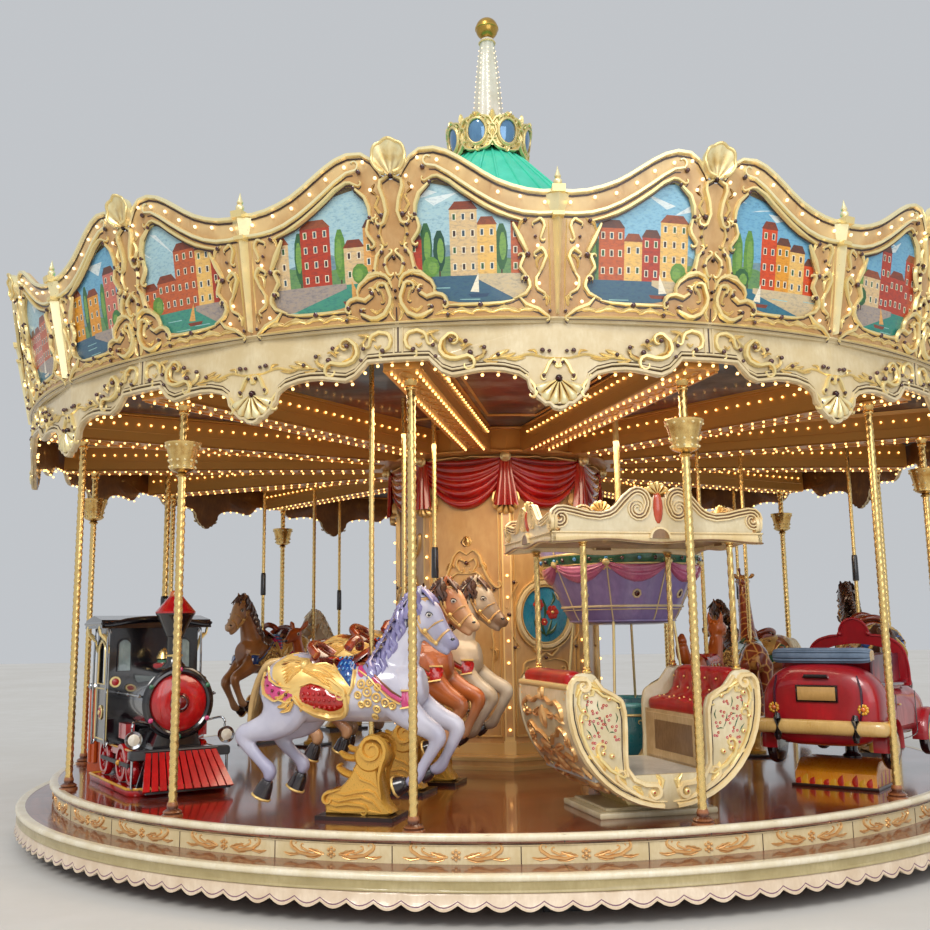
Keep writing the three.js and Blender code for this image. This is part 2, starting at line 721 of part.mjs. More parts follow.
function locoCab() {
  const bottom = 330 + GAP;
  const front = -270 - GAP;
  const back = -700;
  const shell = boxBetween([back, -380, bottom], [front, 380, 1300]);
  const room = boxBetween([back - 50, -345, bottom + 35], [front - 35, 345, 1270]);
  const windows = boxBetween([back + 90, -450, 820], [front - 110, 450, 1180]);
  const roofPlate = sidePlate([
    [back - 90, 1290], [front + 90, 1290], [front + 60, 1360], [-485, 1400], [back - 60, 1360],
  ], -470, 470);
  return join([cut(shell, [room, windows]), roofPlate]);
}

function coach() {
  const shell = boxBetween([-700, -380, 60], [620, 380, 760]);
  const room = boxBetween([-655, -335, 300], [575, 335, 800]);
  const door = boxBetween([-140, -450, 300], [120, -300, 800]);
  const plate = boxBetween([-720, -TRAIN_HALF_W, 0], [640, TRAIN_HALF_W, 70]);
  const seat = boxBetween([-660, -340, 290], [-380, 340, 520]);
  const pole = uprightCylinder(FIGURE_POLE_R, 300, BEAM_TOP - DECK_TOP - GAP, FIGURE_POLE_SIDES, -520);
  return join([cut(shell, [room, door]), plate, seat, pole]);
}

// Balloon ride: a basket on a foot, with an envelope above it on a mast
const BALLOON_AZIMUTH = 23.15;
const BALLOON_RADIUS = 2200;

function balloonBasket() {
  return turned([
    [0, 0], [330, 0], [330, 60], [200, 90], [420, 200], [500, 420], [520, 640], [480, 640], [455, 430],
    [380, 240], [0, 240],
  ], 20);
}

function balloonEnvelope() {
  const foot = 240 + GAP;
  return turned([
    [0, foot], [40, foot], [40, 1290], [300, 1262], [440, 1290], [570, 1560], [670, 1820], [690, 2000],
    [570, 2240], [260, 2385], [60, 2420], [60, BEAM_TOP - DECK_TOP - GAP],
    [0, BEAM_TOP - DECK_TOP - GAP],
  ], 16);
}

// Figures on the deck. A jumping horse stands its lift above the bottom of its stroke.
const JUMPERS = [
  { name: 'grey_horse', azimuth: -19, radius: 3650, lift: 0, coat: GREY_COAT },
  { name: 'chestnut_horse', azimuth: -22, radius: 2560, lift: 120, coat: CHESTNUT_COAT },
  { name: 'white_horse', azimuth: -20, radius: 2040, lift: 150, coat: WHITE_COAT },
  { name: 'brown_horse', azimuth: -122, radius: 3060, lift: 150, coat: BROWN_COAT },
  { name: 'dark_horse', azimuth: 83, radius: 3620, lift: 150, coat: DARK_COAT },
  { name: 'roan_horse', azimuth: 120, radius: 3600, lift: 40, coat: CHESTNUT_COAT },
  { name: 'bay_horse', azimuth: 180, radius: 3600, lift: 100, coat: BROWN_COAT },
  { name: 'pale_horse', azimuth: -150, radius: 3600, lift: 0, coat: WHITE_COAT },
];

const ANIMALS = [
  {
    name: 'fawn', azimuth: -121, radius: 2300, neckTop: 1180, bodyZ: 780, legLength: 460, scale: 1,
    coat: FAWN_COAT,
  },
  {
    name: 'giraffe', azimuth: 78, radius: 2500, neckTop: 1650, bodyZ: 900, legLength: 620, scale: 1,
    coat: FAWN_COAT,
  },
  {
    name: 'fox', azimuth: 50.5, radius: 2250, neckTop: 1230, bodyZ: 880, legLength: 580, scale: 0.8,
    coat: FAWN_COAT,
  },
];

function addFigures() {
  JUMPERS.forEach(({ name, azimuth, radius, lift, coat }) => {
    const place = placeOnDeck(azimuth, radius);
    addMesh(name, horse(FIGURE_POLE_TOP - DECK_TOP), coat, place).position.z = lift;
    addMesh(`${name}_stand`, horseStand(), GOLD, place);
  });
  ANIMALS.forEach(({ name, azimuth, radius, coat, ...shape }) => {
    addMesh(name, standingAnimal(shape), coat, placeOnDeck(azimuth, radius));
  });
}

function addRides() {
  const gondola = placeOnDeck(GONDOLA_AZIMUTH, GONDOLA_RADIUS);
  addMesh('gondola_hull', gondolaHull(), CREAM, gondola);
  addMesh('gondola_canopy', gondolaCanopy(), CREAM, gondola);
  addMesh('gondola_seat_rear', gondolaSeat(-1), RED, gondola);
  addMesh('gondola_seat_front', gondolaSeat(1), RED, gondola);

  const car = placeOnDeck(50, 3500);
  addMesh('car_body', carBody(), RED, car);
  addMesh('car_stand', carStand(), ORANGE, car);

  const loco = placeOnDeck(-61, 3420);
  addMesh('locomotive_chassis', locoChassis(), RED, loco);
  addMesh('locomotive_boiler', locoBoiler(), BLACK, loco);
  addMesh('locomotive_cab', locoCab(), BLACK, loco);
  addMesh('coach', coach(), ORANGE, placeOnDeck(-90, 3480));

  const balloon = placeOnDeck(BALLOON_AZIMUTH, BALLOON_RADIUS);
  addMesh('balloon_basket', balloonBasket(), LILAC, balloon);
  addMesh('balloon_envelope', balloonEnvelope(), LILAC, balloon);
}

function addStructure() {
  addMesh('ground_frame', groundFrame(), STEEL);
  addMesh('deck', deck(), VARNISH);
  addMesh('riser', riser(), OCHRE);
  addMesh('step_tread', stepTread(), VARNISH);
  addMesh('skirt', skirt(), CREAM);
  addMesh('centre_column', column(), OCHRE);
  addMesh('beam_wheel', beamWheel(), GOLD);
  addMesh('ceiling', ceiling(JUMPERS), CEILING_PAINT);
  addMesh('valance', valance(), CREAM);
  addMesh('crown_boards', crownBoards(), OCHRE);
  addMesh('roof', roof(), TURQUOISE);
  addMesh('crown_ornament', crownOrnament(), GOLD);
  addMesh('spire', spire(), PALE);
  addMesh('finial_ball', finialBall(), GOLD);
  for (let i = 0; i < BAYS; i += 1) {
    const turn = new THREE.Group();
    turn.rotation.z = rad((i + 0.5) * BAY);
    carousel.add(turn);
    const pole = addMesh(`outer_pole_${i + 1}`, outerPole(i % 2 === 0), BRASS, turn);
    pole.position.set(0, -POLE_RING_R, 0);
  }
}

addStructure();
addRides();
addFigures();

export default carousel;
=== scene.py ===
"""Fairground carousel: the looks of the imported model, in metres, +Z up, front at -Y."""
import math
import random

import bmesh
import bpy
import numpy as np
from mathutils import Matrix, Vector
from mathutils.bvhtree import BVHTree
from mathutils.geometry import delaunay_2d_cdt


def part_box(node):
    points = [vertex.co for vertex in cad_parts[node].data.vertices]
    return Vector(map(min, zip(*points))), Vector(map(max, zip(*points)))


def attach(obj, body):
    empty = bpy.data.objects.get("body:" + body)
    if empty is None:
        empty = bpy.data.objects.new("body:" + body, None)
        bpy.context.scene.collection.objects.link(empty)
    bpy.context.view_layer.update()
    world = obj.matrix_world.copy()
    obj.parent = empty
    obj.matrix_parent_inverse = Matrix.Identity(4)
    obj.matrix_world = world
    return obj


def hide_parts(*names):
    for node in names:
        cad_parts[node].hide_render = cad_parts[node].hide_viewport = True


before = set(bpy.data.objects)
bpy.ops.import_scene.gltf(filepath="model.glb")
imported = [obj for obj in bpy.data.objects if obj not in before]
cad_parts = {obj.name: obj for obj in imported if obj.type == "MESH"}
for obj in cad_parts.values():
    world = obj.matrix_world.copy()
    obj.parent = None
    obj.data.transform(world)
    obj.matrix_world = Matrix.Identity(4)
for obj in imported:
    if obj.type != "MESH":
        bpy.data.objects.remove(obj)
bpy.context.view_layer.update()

# Driving sizes, from the frame where it holds them
BAYS = 14
BAY = math.tau / BAYS
DECK_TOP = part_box("deck")[1].z
DECK_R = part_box("deck")[1].x
DECK_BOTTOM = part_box("riser")[1].z
STEP_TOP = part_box("step_tread")[1].z
STEP_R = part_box("step_tread")[1].x
SKIRT_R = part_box("skirt")[1].x
SKIRT_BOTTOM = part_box("skirt")[0].z
BEAM_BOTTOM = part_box("beam_wheel")[0].z
BEAM_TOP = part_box("beam_wheel")[1].z
VALANCE_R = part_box("valance")[1].x
VALANCE_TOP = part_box("valance")[1].z
CROWN_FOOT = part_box("crown_boards")[0].z
CROWN_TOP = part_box("crown_boards")[1].z
ROOF_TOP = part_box("roof")[1].z
ORNAMENT_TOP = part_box("crown_ornament")[1].z
SPIRE_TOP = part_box("spire")[1].z
BALL_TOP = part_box("finial_ball")[1].z
BALL_R = (BALL_TOP - SPIRE_TOP) / 2
CROWN_FOOT_R = 4.50
CROWN_HEAD_R = 4.70
POLE_RING_R = 4.10
COLUMN_FACE = 1.03 * math.cos(math.pi / 8)
SEAT_GAP = 0.0003


# Colours and materials

def linear(code):
    """A colour given as six hexadecimal digits, as linear values."""
    parts = [int(code[i:i + 2], 16) / 255 for i in (0, 2, 4)]
    return tuple(p / 12.92 if p <= 0.04045 else ((p + 0.055) / 1.055) ** 2.4 for p in parts) + (1.0,)


class Paint:
    """A Principled material, with short calls that add its nodes."""

    def __init__(self, name, rough=0.4, metal=0.0, coat=0.0, specular=0.5):
        self.material = bpy.data.materials.new(name)
        self.material.use_nodes = True
        self.tree = self.material.node_tree
        self.shader = self.tree.nodes["Principled BSDF"]
        self.shader.inputs["Roughness"].default_value = rough
        self.shader.inputs["Metallic"].default_value = metal
        self.shader.inputs["Coat Weight"].default_value = coat
        self.shader.inputs["Coat Roughness"].default_value = 0.08
        self.shader.inputs["Specular IOR Level"].default_value = specular
        self.place = self.tree.nodes.new("ShaderNodeTexCoord").outputs["Object"]

    def put(self, socket, value):
        if isinstance(value, bpy.types.NodeSocket):
            self.tree.links.new(value, socket)
        else:
            socket.default_value = value

    def node(self, kind, values, out=0, **settings):
        """Adds a node; values are its inputs by name or number."""
        made = self.tree.nodes.new(kind)
        for key, value in settings.items():
            setattr(made, key, value)
        for key, value in values.items():
            self.put(made.inputs[key], value)
        return made.outputs[out]

    def maths(self, operation, *values):
        return self.node("ShaderNodeMath", dict(enumerate(values)), operation=operation)

    def noise(self, scale, detail=3.0, rough=0.55, stretch=None):
        place = self.place
        if stretch:
            place = self.node("ShaderNodeMapping", {"Vector": place, "Scale": stretch})
        return self.node("ShaderNodeTexNoise",
                         {"Vector": place, "Scale": scale, "Detail": detail, "Roughness": rough})

    def ramp(self, factor, stops):
        made = self.tree.nodes.new("ShaderNodeValToRGB")
        while len(made.color_ramp.elements) < len(stops):
            made.color_ramp.elements.new(0.5)
        for element, (position, colour) in zip(made.color_ramp.elements, stops):
            element.position = position
            element.color = colour
        self.put(made.inputs[0], factor)
        return made.outputs[0]

    def mask(self, factor, low, high):
        return self.node("ShaderNodeMapRange", {0: factor, 1: low, 2: high}, clamp=True)

    def mix(self, factor, first, second, blend="MIX"):
        return self.node("ShaderNodeMix", {0: factor, 6: first, 7: second}, out=2,
                         data_type="RGBA", blend_type=blend)

    def pointiness(self):
        return self.tree.nodes.new("ShaderNodeNewGeometry").outputs["Pointiness"]

    def colour(self, value):
        self.put(self.shader.inputs["Base Color"], value)

    def rough(self, value):
        self.put(self.shader.inputs["Roughness"], value)

    def bump(self, height, strength=0.2, distance=0.002):
        made = self.node("ShaderNodeBump", {"Strength": strength, "Distance": distance, "Height": height})
        self.put(self.shader.inputs["Normal"], made)


def enamel(name, colour, shade, rough=0.32, coat=0.4, scale=6.0, hollow_shade=None, ridge=None, metal=0.0):
    """Brushed gloss paint: two near colours, painted shade in its hollows, and lighter edges that are
    painted highlight and wear.
    """
    paint = Paint(name, rough, metal, coat)
    broad = paint.mask(paint.noise(scale, 4), 0.35, 0.68)
    base = paint.mix(broad, linear(colour), linear(shade))
    fine = paint.noise(scale * 9, 3, stretch=(1.0, 1.0, 0.35))
    base = paint.mix(paint.mask(fine, 0.35, 0.9), base, linear(shade), "MIX")
    if hollow_shade or ridge:
        point = paint.pointiness()
        # Hollows, found by pointiness, take a darker colour: painted shade.
        if hollow_shade:
            base = paint.mix(paint.mask(point, 0.49, 0.43), base, linear(hollow_shade))
        # Sharp edges take a lighter colour: painted highlight, with wear.
        if ridge:
            base = paint.mix(paint.mask(point, 0.51, 0.58), base, linear(ridge))
    paint.colour(base)
    paint.rough(paint.node("ShaderNodeMapRange", {0: fine, 3: rough * 0.8, 4: min(1, rough * 1.5)}))
    paint.bump(fine, 0.12, 0.0015)
    return paint.material


def gilding(name, pale, middle, dark, rough=0.26, metal=0.55):
    """Gold leaf over carving: painted highlight makes it bright on its ridges, painted shade brown in its
    hollows.
    """
    paint = Paint(name, rough, metal, coat=0.25)
    point = paint.pointiness()
    patch = paint.mask(paint.noise(14, 4), 0.3, 0.7)
    base = paint.mix(patch, linear(middle), linear(pale))
    # Pointiness paints shade, the dark colour, into the hollows and highlight, the pale colour, on the
    # ridges.
    base = paint.mix(paint.mask(point, 0.5, 0.44), base, linear(dark))
    base = paint.mix(paint.mask(point, 0.505, 0.56), base, linear(pale))
    paint.colour(base)
    fine = paint.noise(90, 2)
    paint.rough(paint.node("ShaderNodeMapRange", {0: fine, 3: rough * 0.8, 4: rough * 1.7}))
    paint.bump(fine, 0.1, 0.001)
    return paint.material


def glowing(name, colour, strength):
    """A lamp's glass that gives light of its own."""
    paint = Paint(name, 0.2)
    paint.colour(linear("fff4dc"))
    paint.shader.inputs["Emission Color"].default_value = linear(colour)
    paint.shader.inputs["Emission Strength"].default_value = strength
    return paint.material


def varnish(name, colour, shade, joint, panels, rings=(), rough=0.12):
    """Varnished boards laid in sectors round the axis, with dark joints between them."""
    paint = Paint(name, rough, coat=0.8)
    split = paint.tree.nodes.new("ShaderNodeSeparateXYZ")
    paint.put(split.inputs[0], paint.place)
    x, y = split.outputs[0], split.outputs[1]
    radius = paint.maths("SQRT",
                         paint.maths("ADD", paint.maths("MULTIPLY", x, x), paint.maths("MULTIPLY", y, y)))
    turn = paint.maths("ARCTAN2", x, y)
    sector = paint.maths("MULTIPLY", turn, panels / math.tau)
    nearest = paint.maths("ABSOLUTE", paint.maths("SUBTRACT", sector, paint.maths("ROUND", sector)))
    gap = paint.maths("MULTIPLY", paint.maths("MULTIPLY", nearest, math.tau / panels), radius)
    for ring in rings:
        gap = paint.maths("MINIMUM", gap, paint.maths("ABSOLUTE", paint.maths("SUBTRACT", radius, ring)))
    grain_place = paint.node("ShaderNodeCombineXYZ", {
        0: paint.maths("MULTIPLY", radius, 9.0), 1: paint.maths("MULTIPLY", turn, 2.0),
        2: paint.maths("FLOOR", sector)})
    grain = paint.node("ShaderNodeTexNoise",
                       {"Vector": grain_place, "Scale": 2.2, "Detail": 6.0, "Roughness": 0.6})
    board = paint.node("ShaderNodeTexWhiteNoise", {"W": paint.maths("FLOOR", sector)}, noise_dimensions="1D")
    base = paint.mix(paint.mask(grain, 0.35, 0.7), linear(colour), linear(shade))
    base = paint.mix(paint.maths("MULTIPLY", board, 0.3), base, linear(shade))
    worn = paint.noise(1.6, 4)
    base = paint.mix(paint.maths("MULTIPLY", paint.mask(worn, 0.55, 0.8), 0.35), base, linear("a06a48"))
    line = paint.mask(gap, 0.006, 0.002)
    paint.colour(paint.mix(line, base, linear(joint)))
    paint.rough(paint.node("ShaderNodeMapRange", {0: worn, 3: rough, 4: rough * 2.6}))
    paint.bump(paint.maths("SUBTRACT", grain, line), 0.15, 0.002)
    return paint.material


def painted_sky(name):
    """The ceiling's painting: dark clouds in blue-grey, plum and brick red."""
    paint = Paint(name, 0.45, coat=0.2)
    broad = paint.noise(0.55, 5, 0.6)
    cloud = paint.noise(1.7, 7, 0.65, stretch=(1.0, 1.6, 1.0))
    sky = paint.ramp(broad, [(0.3, linear("25303a")), (0.44, linear("4c5a62")), (0.53, linear("5a2a2e")),
                             (0.62, linear("7c3324")), (0.75, linear("3a2430"))])
    base = paint.mix(paint.mask(cloud, 0.5, 0.75), sky, linear("8f8d86"))
    base = paint.mix(paint.mask(cloud, 0.45, 0.3), base, linear("171a20"))
    paint.colour(base)
    paint.bump(paint.noise(60, 3), 0.1, 0.001)
    return paint.material


def tinted(name):
    """Brushwork in the colours that the piece's own faces carry."""
    paint = Paint(name, 0.4, coat=0.2)
    hue = paint.node("ShaderNodeAttribute", {}, attribute_name="tint")
    stroke = paint.noise(34, 5, 0.65, stretch=(1.0, 1.0, 2.2))
    base = paint.mix(paint.mask(stroke, 0.42, 0.72), hue, linear("d9c9a8"), "SOFT_LIGHT")
    base = paint.mix(paint.maths("MULTIPLY", paint.mask(stroke, 0.5, 0.3), 0.35), base, linear("2c2a30"))
    paint.colour(base)
    paint.bump(stroke, 0.2, 0.001)
    return paint.material


# The hollow colours given below are painted shade in the hollows; the ridge colours are painted highlight,
# with wear, on the edges.
CREAM = enamel("cream_gloss", "e3d3ab", "d2bd8c", hollow_shade="8a6434")
OCHRE = enamel("ochre_gloss", "c79f6a", "b2844c", hollow_shade="6e4218", ridge="e4c68c")
WHITE_NOSING = enamel("nosing_cream", "ece3cc", "d8caa8", hollow_shade="6b4a2c")
SKIRT = enamel("skirt_pinkish_cream", "e2cfb6", "cdb598", hollow_shade="8c6f52")
OLIVE_BAND = enamel("skirt_olive_cream", "b9a97c", "a39263", hollow_shade="6b5a34")
MAUVE = enamel("skirt_mauve", "8e6a78", "745162")
GOLD = gilding("gilt_relief", "f3dc9a", "c8923f", "6b3a12")
COPPER_GOLD = gilding("gilt_copper", "e9b878", "b8702e", "5c2a0e")
PALE_GOLD = gilding("gilt_pale", "fbeebb", "ddb869", "8a5a22")
BRASS = gilding("brass", "f0cf86", "b5843a", "4f2c0e", rough=0.2, metal=0.9)
# Dark lines: joints between boards, and painted shade in the grooves between mouldings and under nosings,
# mouldings and scrolls.
DARK_LINE = enamel("dark_joint_and_painted_shade", "4a2616", "2c150c", rough=0.4)
JEWEL = enamel("jewel_garnet", "5c1512", "2a0705", rough=0.08, coat=1.0, scale=40)
BEAM_GOLD = gilding("beam_gilding", "d49a4c", "9c6228", "4c260c", rough=0.36, metal=0.4)
LIT_BULB = glowing("bulb_lit", "ffc26a", 3.4)
DAY_BULB = glowing("bulb_by_day", "ffd6a4", 1.25)
DECK_VARNISH = varnish("deck_varnish", "7c2f17", "4c170a", "1d0a06", 2 * BAYS, (3.15, 1.95))
TREAD_VARNISH = varnish("tread_varnish", "8a5138", "5f3222", "2a140c", 2 * BAYS, rough=0.22)
SKY = painted_sky("ceiling_sky")
PICTURE = tinted("painted_picture")
TURQUOISE = enamel("roof_turquoise", "52dcbc", "3cc7a4", rough=0.42, coat=0.15, scale=1.2)
PALE = enamel("spire_pale", "e9e4d6", "d4cdb8", hollow_shade="a08a5c")
DULL_WOOD = enamel("board_backs", "b9a88a", "978566", rough=0.6, coat=0.0)
STEEL = enamel("frame_steel", "4a4d50", "35383a", rough=0.5, coat=0.1)


# Shapes: points and faces gathered from several forms

def smooth_path(points, steps=5):
    """A smooth line through points, with the given steps between two of them."""
    p = np.asarray(points, float)
    q = np.vstack([2 * p[0] - p[1], p, 2 * p[-1] - p[-2]])
    t = np.linspace(0, 1, steps, endpoint=False)[:, None]
    parts = []
    for a, b, c, d in zip(q[:-3], q[1:-2], q[2:-1], q[3:]):
        parts.append(0.5 * (2 * b + (c - a) * t + (2 * a - 5 * b + 4 * c - d) * t ** 2
                            + (3 * b - a - 3 * c + d) * t ** 3))
    parts.append(p[-1:])
    return np.vstack(parts)


def round_angles(count):
    """Angles evenly round a circle, from zero."""
    return np.linspace(0, math.tau, count + 1)[:-1]


def at_level(line, level):
    """A flat line set at a level above its plane."""
    return np.column_stack([line, np.full(len(line), level)])


def oblong(left, low, right, high):
    """The corners of a flat rectangle, anticlockwise."""
    return np.array([(left, low), (right, low), (right, high), (left, high)])


# How much a volute's radius shrinks towards its eye, and the longest step of a ridge
VOLUTE_SHRINK = 0.78
RIDGE_STEP = 0.08


def curl(path, radius, turn):
    """Ends a flat path in a volute, which turns to the left for a positive angle in degrees."""
    heading = path[-1] - path[-2]
    angle = math.atan2(heading[1], heading[0])
    point = np.array(path[-1], float)
    steps = max(4, round(abs(turn) / 30))
    step = math.radians(turn) / steps
    added = []
    for i in range(steps):
        angle += step / 2
        reach = radius * (1 - VOLUTE_SHRINK * i / steps) * abs(step)
        point = point + reach * np.array([math.cos(angle), math.sin(angle)])
        angle += step / 2
        added.append(point)
    return np.vstack([path, added])


def scroll_path(points, head=None, tail=None, steps=4):
    """A smooth flat path with a volute, as (radius, turn), at either end."""
    path = smooth_path(points, steps)
    if tail:
        path = curl(path, *tail)
    if head:
        path = curl(path[::-1], *head)[::-1]
    return path


def eased(path, turn):
    """The points of a flat path that hold its form: close where it turns, further apart elsewhere."""
    steps = np.diff(path, axis=0)
    lengths = np.linalg.norm(steps, axis=1)
    heading = np.unwrap(np.arctan2(steps[:, 1], steps[:, 0]))
    kept, last, run = [0], heading[0], 0.0
    for i in range(1, len(path) - 1):
        run += lengths[i - 1]
        if abs(heading[i] - last) > math.radians(turn) or run > RIDGE_STEP:
            kept.append(i)
            last, run = heading[i], 0.0
    return path[kept + [len(path) - 1]]


class Shape:
    """Points and faces of several forms, each face with the number of its material."""

    def __init__(self):
        self.points = []
        self.quads = []
        self.tris = []
        self.tints = []
        self.count = 0

    def add(self, points, quads=(), tris=(), slot=0):
        points = np.asarray(points, float).reshape(-1, 3)
        for faces, store, size in ((quads, self.quads, 4), (tris, self.tris, 3)):
            faces = np.asarray(faces, int).reshape(-1, size)
            if len(faces):
                store.append(np.column_stack([faces + self.count, np.full(len(faces), slot)]))
        self.points.append(points)
        self.count += len(points)

    def all_points(self):
        return np.vstack(self.points)

    def all_faces(self):
        quads = np.vstack(self.quads) if self.quads else np.zeros((0, 5), int)
        tris = np.vstack(self.tris) if self.tris else np.zeros((0, 4), int)
        return quads, tris

    def copy_in(self, other, move, flip=False, slot=None):
        """Adds another shape, its points changed by move, its faces turned over or in one slot if asked."""
        points = move(other.all_points())
        quads, tris = other.all_faces()
        if slot is not None:
            quads, tris = quads.copy(), tris.copy()
            quads[:, 4] = slot
            tris[:, 3] = slot
        if flip:
            quads = quads[:, [3, 2, 1, 0, 4]]
            tris = tris[:, [2, 1, 0, 3]]
        quads, tris = quads.copy(), tris.copy()
        quads[:, :4] += self.count
        tris[:, :3] += self.count
        self.quads.append(quads)
        self.tris.append(tris)
        self.points.append(points)
        self.count += len(points)

    def grid(self, rows, slot=0, closed_rows=False, closed_ring=False, caps=False):
        """A skin over rows of points: rings are closed along a row, and rows may close too."""
        rows = [np.asarray(row, float) for row in rows]
        size = len(rows[0])
        total = len(rows)
        spans = total if closed_rows else total - 1
        steps = size if closed_ring else size - 1
        i, j = np.meshgrid(np.arange(spans), np.arange(steps), indexing="ij")
        below, above = i * size, ((i + 1) % total) * size
        k = (j + 1) % size
        quads = np.stack([below + j, below + k, above + k, above + j], axis=-1).reshape(-1, 4)
        points = np.vstack(rows)
        tris = []
        if caps:
            points = np.vstack([points, rows[0].mean(0), rows[-1].mean(0)])
            first, last = len(points) - 2, len(points) - 1
            base = (total - 1) * size
            for j in range(size):
                k = (j + 1) % size
                tris += [(first, k, j), (last, base + j, base + k)]
        self.add(points, quads, tris, slot)

    def tube(self, path, radius, sides=8, slot=0, flat=1.0, up=(0, 0, 1), closed=False):
        """A round or flattened tube along a path in space; radius is one number or one a point."""
        path = np.asarray(path, float)
        radius = np.broadcast_to(np.asarray(radius, float), (len(path),))
        along = np.gradient(path, axis=0)
        if closed:
            along = np.roll(path, -1, 0) - np.roll(path, 1, 0)
        along /= np.linalg.norm(along, axis=1)[:, None] + 1e-12
        side = np.cross(along, np.broadcast_to(np.asarray(up, float), path.shape))
        thin = np.linalg.norm(side, axis=1) < 0.05
        side[thin] = np.cross(along[thin], (0.0, 1.0, 0.02))
        side /= np.linalg.norm(side, axis=1)[:, None] + 1e-12
        lift = np.cross(side, along)
        angles = np.arange(sides) * math.tau / sides
        flat = np.broadcast_to(np.asarray(flat, float), (len(path),))
        rings = [path[i] + radius[i] * (np.cos(angles)[:, None] * side[i]
                 + flat[i] * np.sin(angles)[:, None] * lift[i]) for i in range(len(path))]
        self.grid(rings, slot, closed_rows=closed, closed_ring=True, caps=not closed)

    def lathe(self, profile, segments, slot=0, centre=(0, 0), wave=None, closed=False):
        """A profile of (radius, height) turned about an upright axis; wave(angle) scales radii."""
        angles = np.arange(segments) * math.tau / segments
        rows = []
        for radius, height in profile:
            reach = radius * (wave(angles) if wave else 1.0)
            rows.append(np.column_stack([centre[0] + reach * np.sin(angles),
                                         centre[1] - reach * np.cos(angles),
                                         np.full(segments, float(height))]))
        self.grid(rows, slot, closed_rows=closed, closed_ring=True, caps=not closed)

    def ball(self, centre, radius, segments=8, rings=5, slot=0, stretch=(1, 1, 1)):
        """A ball, stretched along the axes if asked."""
        rows = []
        for i in range(1, rings):
            polar = math.pi * i / rings
            angles = np.arange(segments) * math.tau / segments
            rows.append(np.column_stack([
                centre[0] + radius * stretch[0] * math.sin(polar) * np.cos(angles),
                centre[1] + radius * stretch[1] * math.sin(polar) * np.sin(angles),
                np.full(segments, centre[2] - radius * stretch[2] * math.cos(polar))]))
        start = self.count
        self.grid(rows, slot, closed_ring=True)
        south = (centre[0], centre[1], centre[2] - radius * stretch[2])
        north = (centre[0], centre[1], centre[2] + radius * stretch[2])
        poles = self.count - start
        tris = []
        base = (rings - 2) * segments
        for j in range(segments):
            k = (j + 1) % segments
            tris += [(poles, k, j), (poles + 1, base + j, base + k)]
        self.points.append(np.array([south, north]))
        self.tris.append(np.column_stack([np.array(tris) + start, np.full(len(tris), slot)]))
        self.count += 2

    def box(self, low, high, slot=0):
        """A box between two corners."""
        x0, y0, z0 = low
        x1, y1, z1 = high
        corners = np.array([(x, y, z) for z in (z0, z1)
                            for x, y in ((x0, y0), (x1, y0), (x1, y1), (x0, y1))])
        sides = [(0, 1, 5, 4), (1, 2, 6, 5), (2, 3, 7, 6), (3, 0, 4, 7)]
        self.add(corners, [(3, 2, 1, 0), (4, 5, 6, 7)] + sides, slot=slot)

    def plate(self, outline, low, high, slot=0, axis="y", bevel=0.0):
        """A flat outline, given in the other two axes, between two levels of one axis."""
        outline = np.asarray(outline, float)
        levels = [(low, 0.0), (high, 0.0)]
        if bevel:
            levels = [(low, bevel), (low + bevel, 0.0), (high - bevel, 0.0), (high, bevel)]
        rings = [lift_flat(inset(outline, cut), level, axis) for level, cut in levels]
        start = self.count
        self.grid(rings, slot, closed_ring=True)
        size = len(outline)
        cap = fill(inset(outline, levels[0][1]))
        last = (len(levels) - 1) * size
        tris = [(a, b, c) for a, b, c in cap] + [(last + c, last + b, last + a) for a, b, c in cap]
        self.tris.append(np.column_stack([np.array(tris) + start, np.full(len(tris), slot)]))

    # Relief, in a flat frame: x along, y up, z standing out
    def ridge(self, path, width, depth, slot=0, base=0.0, ends=(0.4, 0.4), section=5, turn=24):
        """A rounded moulding on a flat path, half as wide as width says, thinner at its ends."""
        path = eased(np.asarray(path, float)[:, :2], turn)
        along = np.gradient(path, axis=0)
        along /= np.linalg.norm(along, axis=1)[:, None] + 1e-12
        side = np.column_stack([-along[:, 1], along[:, 0]])
        t = np.concatenate([[0], np.cumsum(np.linalg.norm(np.diff(path, axis=0), axis=1))])
        t /= t[-1]
        swell = [np.minimum(1, end + (1 - end) * part / 0.25) for end, part in zip(ends, (t, 1 - t))]
        full = swell[0] * swell[1]
        if section == 2:
            form = [(-1, 0.6), (1, 0.6)]
        elif section == 3:
            form = [(-1, 0), (0, 1), (1, 0)]
        else:
            form = [(-1, 0), (-0.52, 0.88), (0.52, 0.88), (1, 0)]
        rings = []
        for point, across, f in zip(path, side, full):
            rings.append([(*(point + across * a * width * f), base + depth * f * b) for a, b in form])
        self.grid(rings, slot)

    def leaf(self, spine, width, depth, slot=0, lobes=4, base=0.0):
        """A carved leaf along a flat spine, with a raised rib and lobed edges."""
        path = smooth_path(spine, 3)[:, :2]
        along = np.gradient(path, axis=0)
        along /= np.linalg.norm(along, axis=1)[:, None] + 1e-12
        side = np.column_stack([-along[:, 1], along[:, 0]])
        t = np.linspace(0, 1, len(path))
        body = np.sin(np.pi * np.clip(t * 0.93 + 0.07, 0, 1)) ** 0.7
        edge = width * body * (0.72 + 0.28 * np.abs(np.sin(np.pi * lobes * t)))
        rings = []
        for point, across, e, b in zip(path, side, edge, body):
            form = [(-1, 0.12), (-0.5, 0.75), (0, 0.45), (0.5, 0.75), (1, 0.12)]
            rings.append([(*(point + across * a * e), base + depth * (0.25 + 0.75 * b) * h)
                          for a, h in form])
        self.grid(rings, slot)

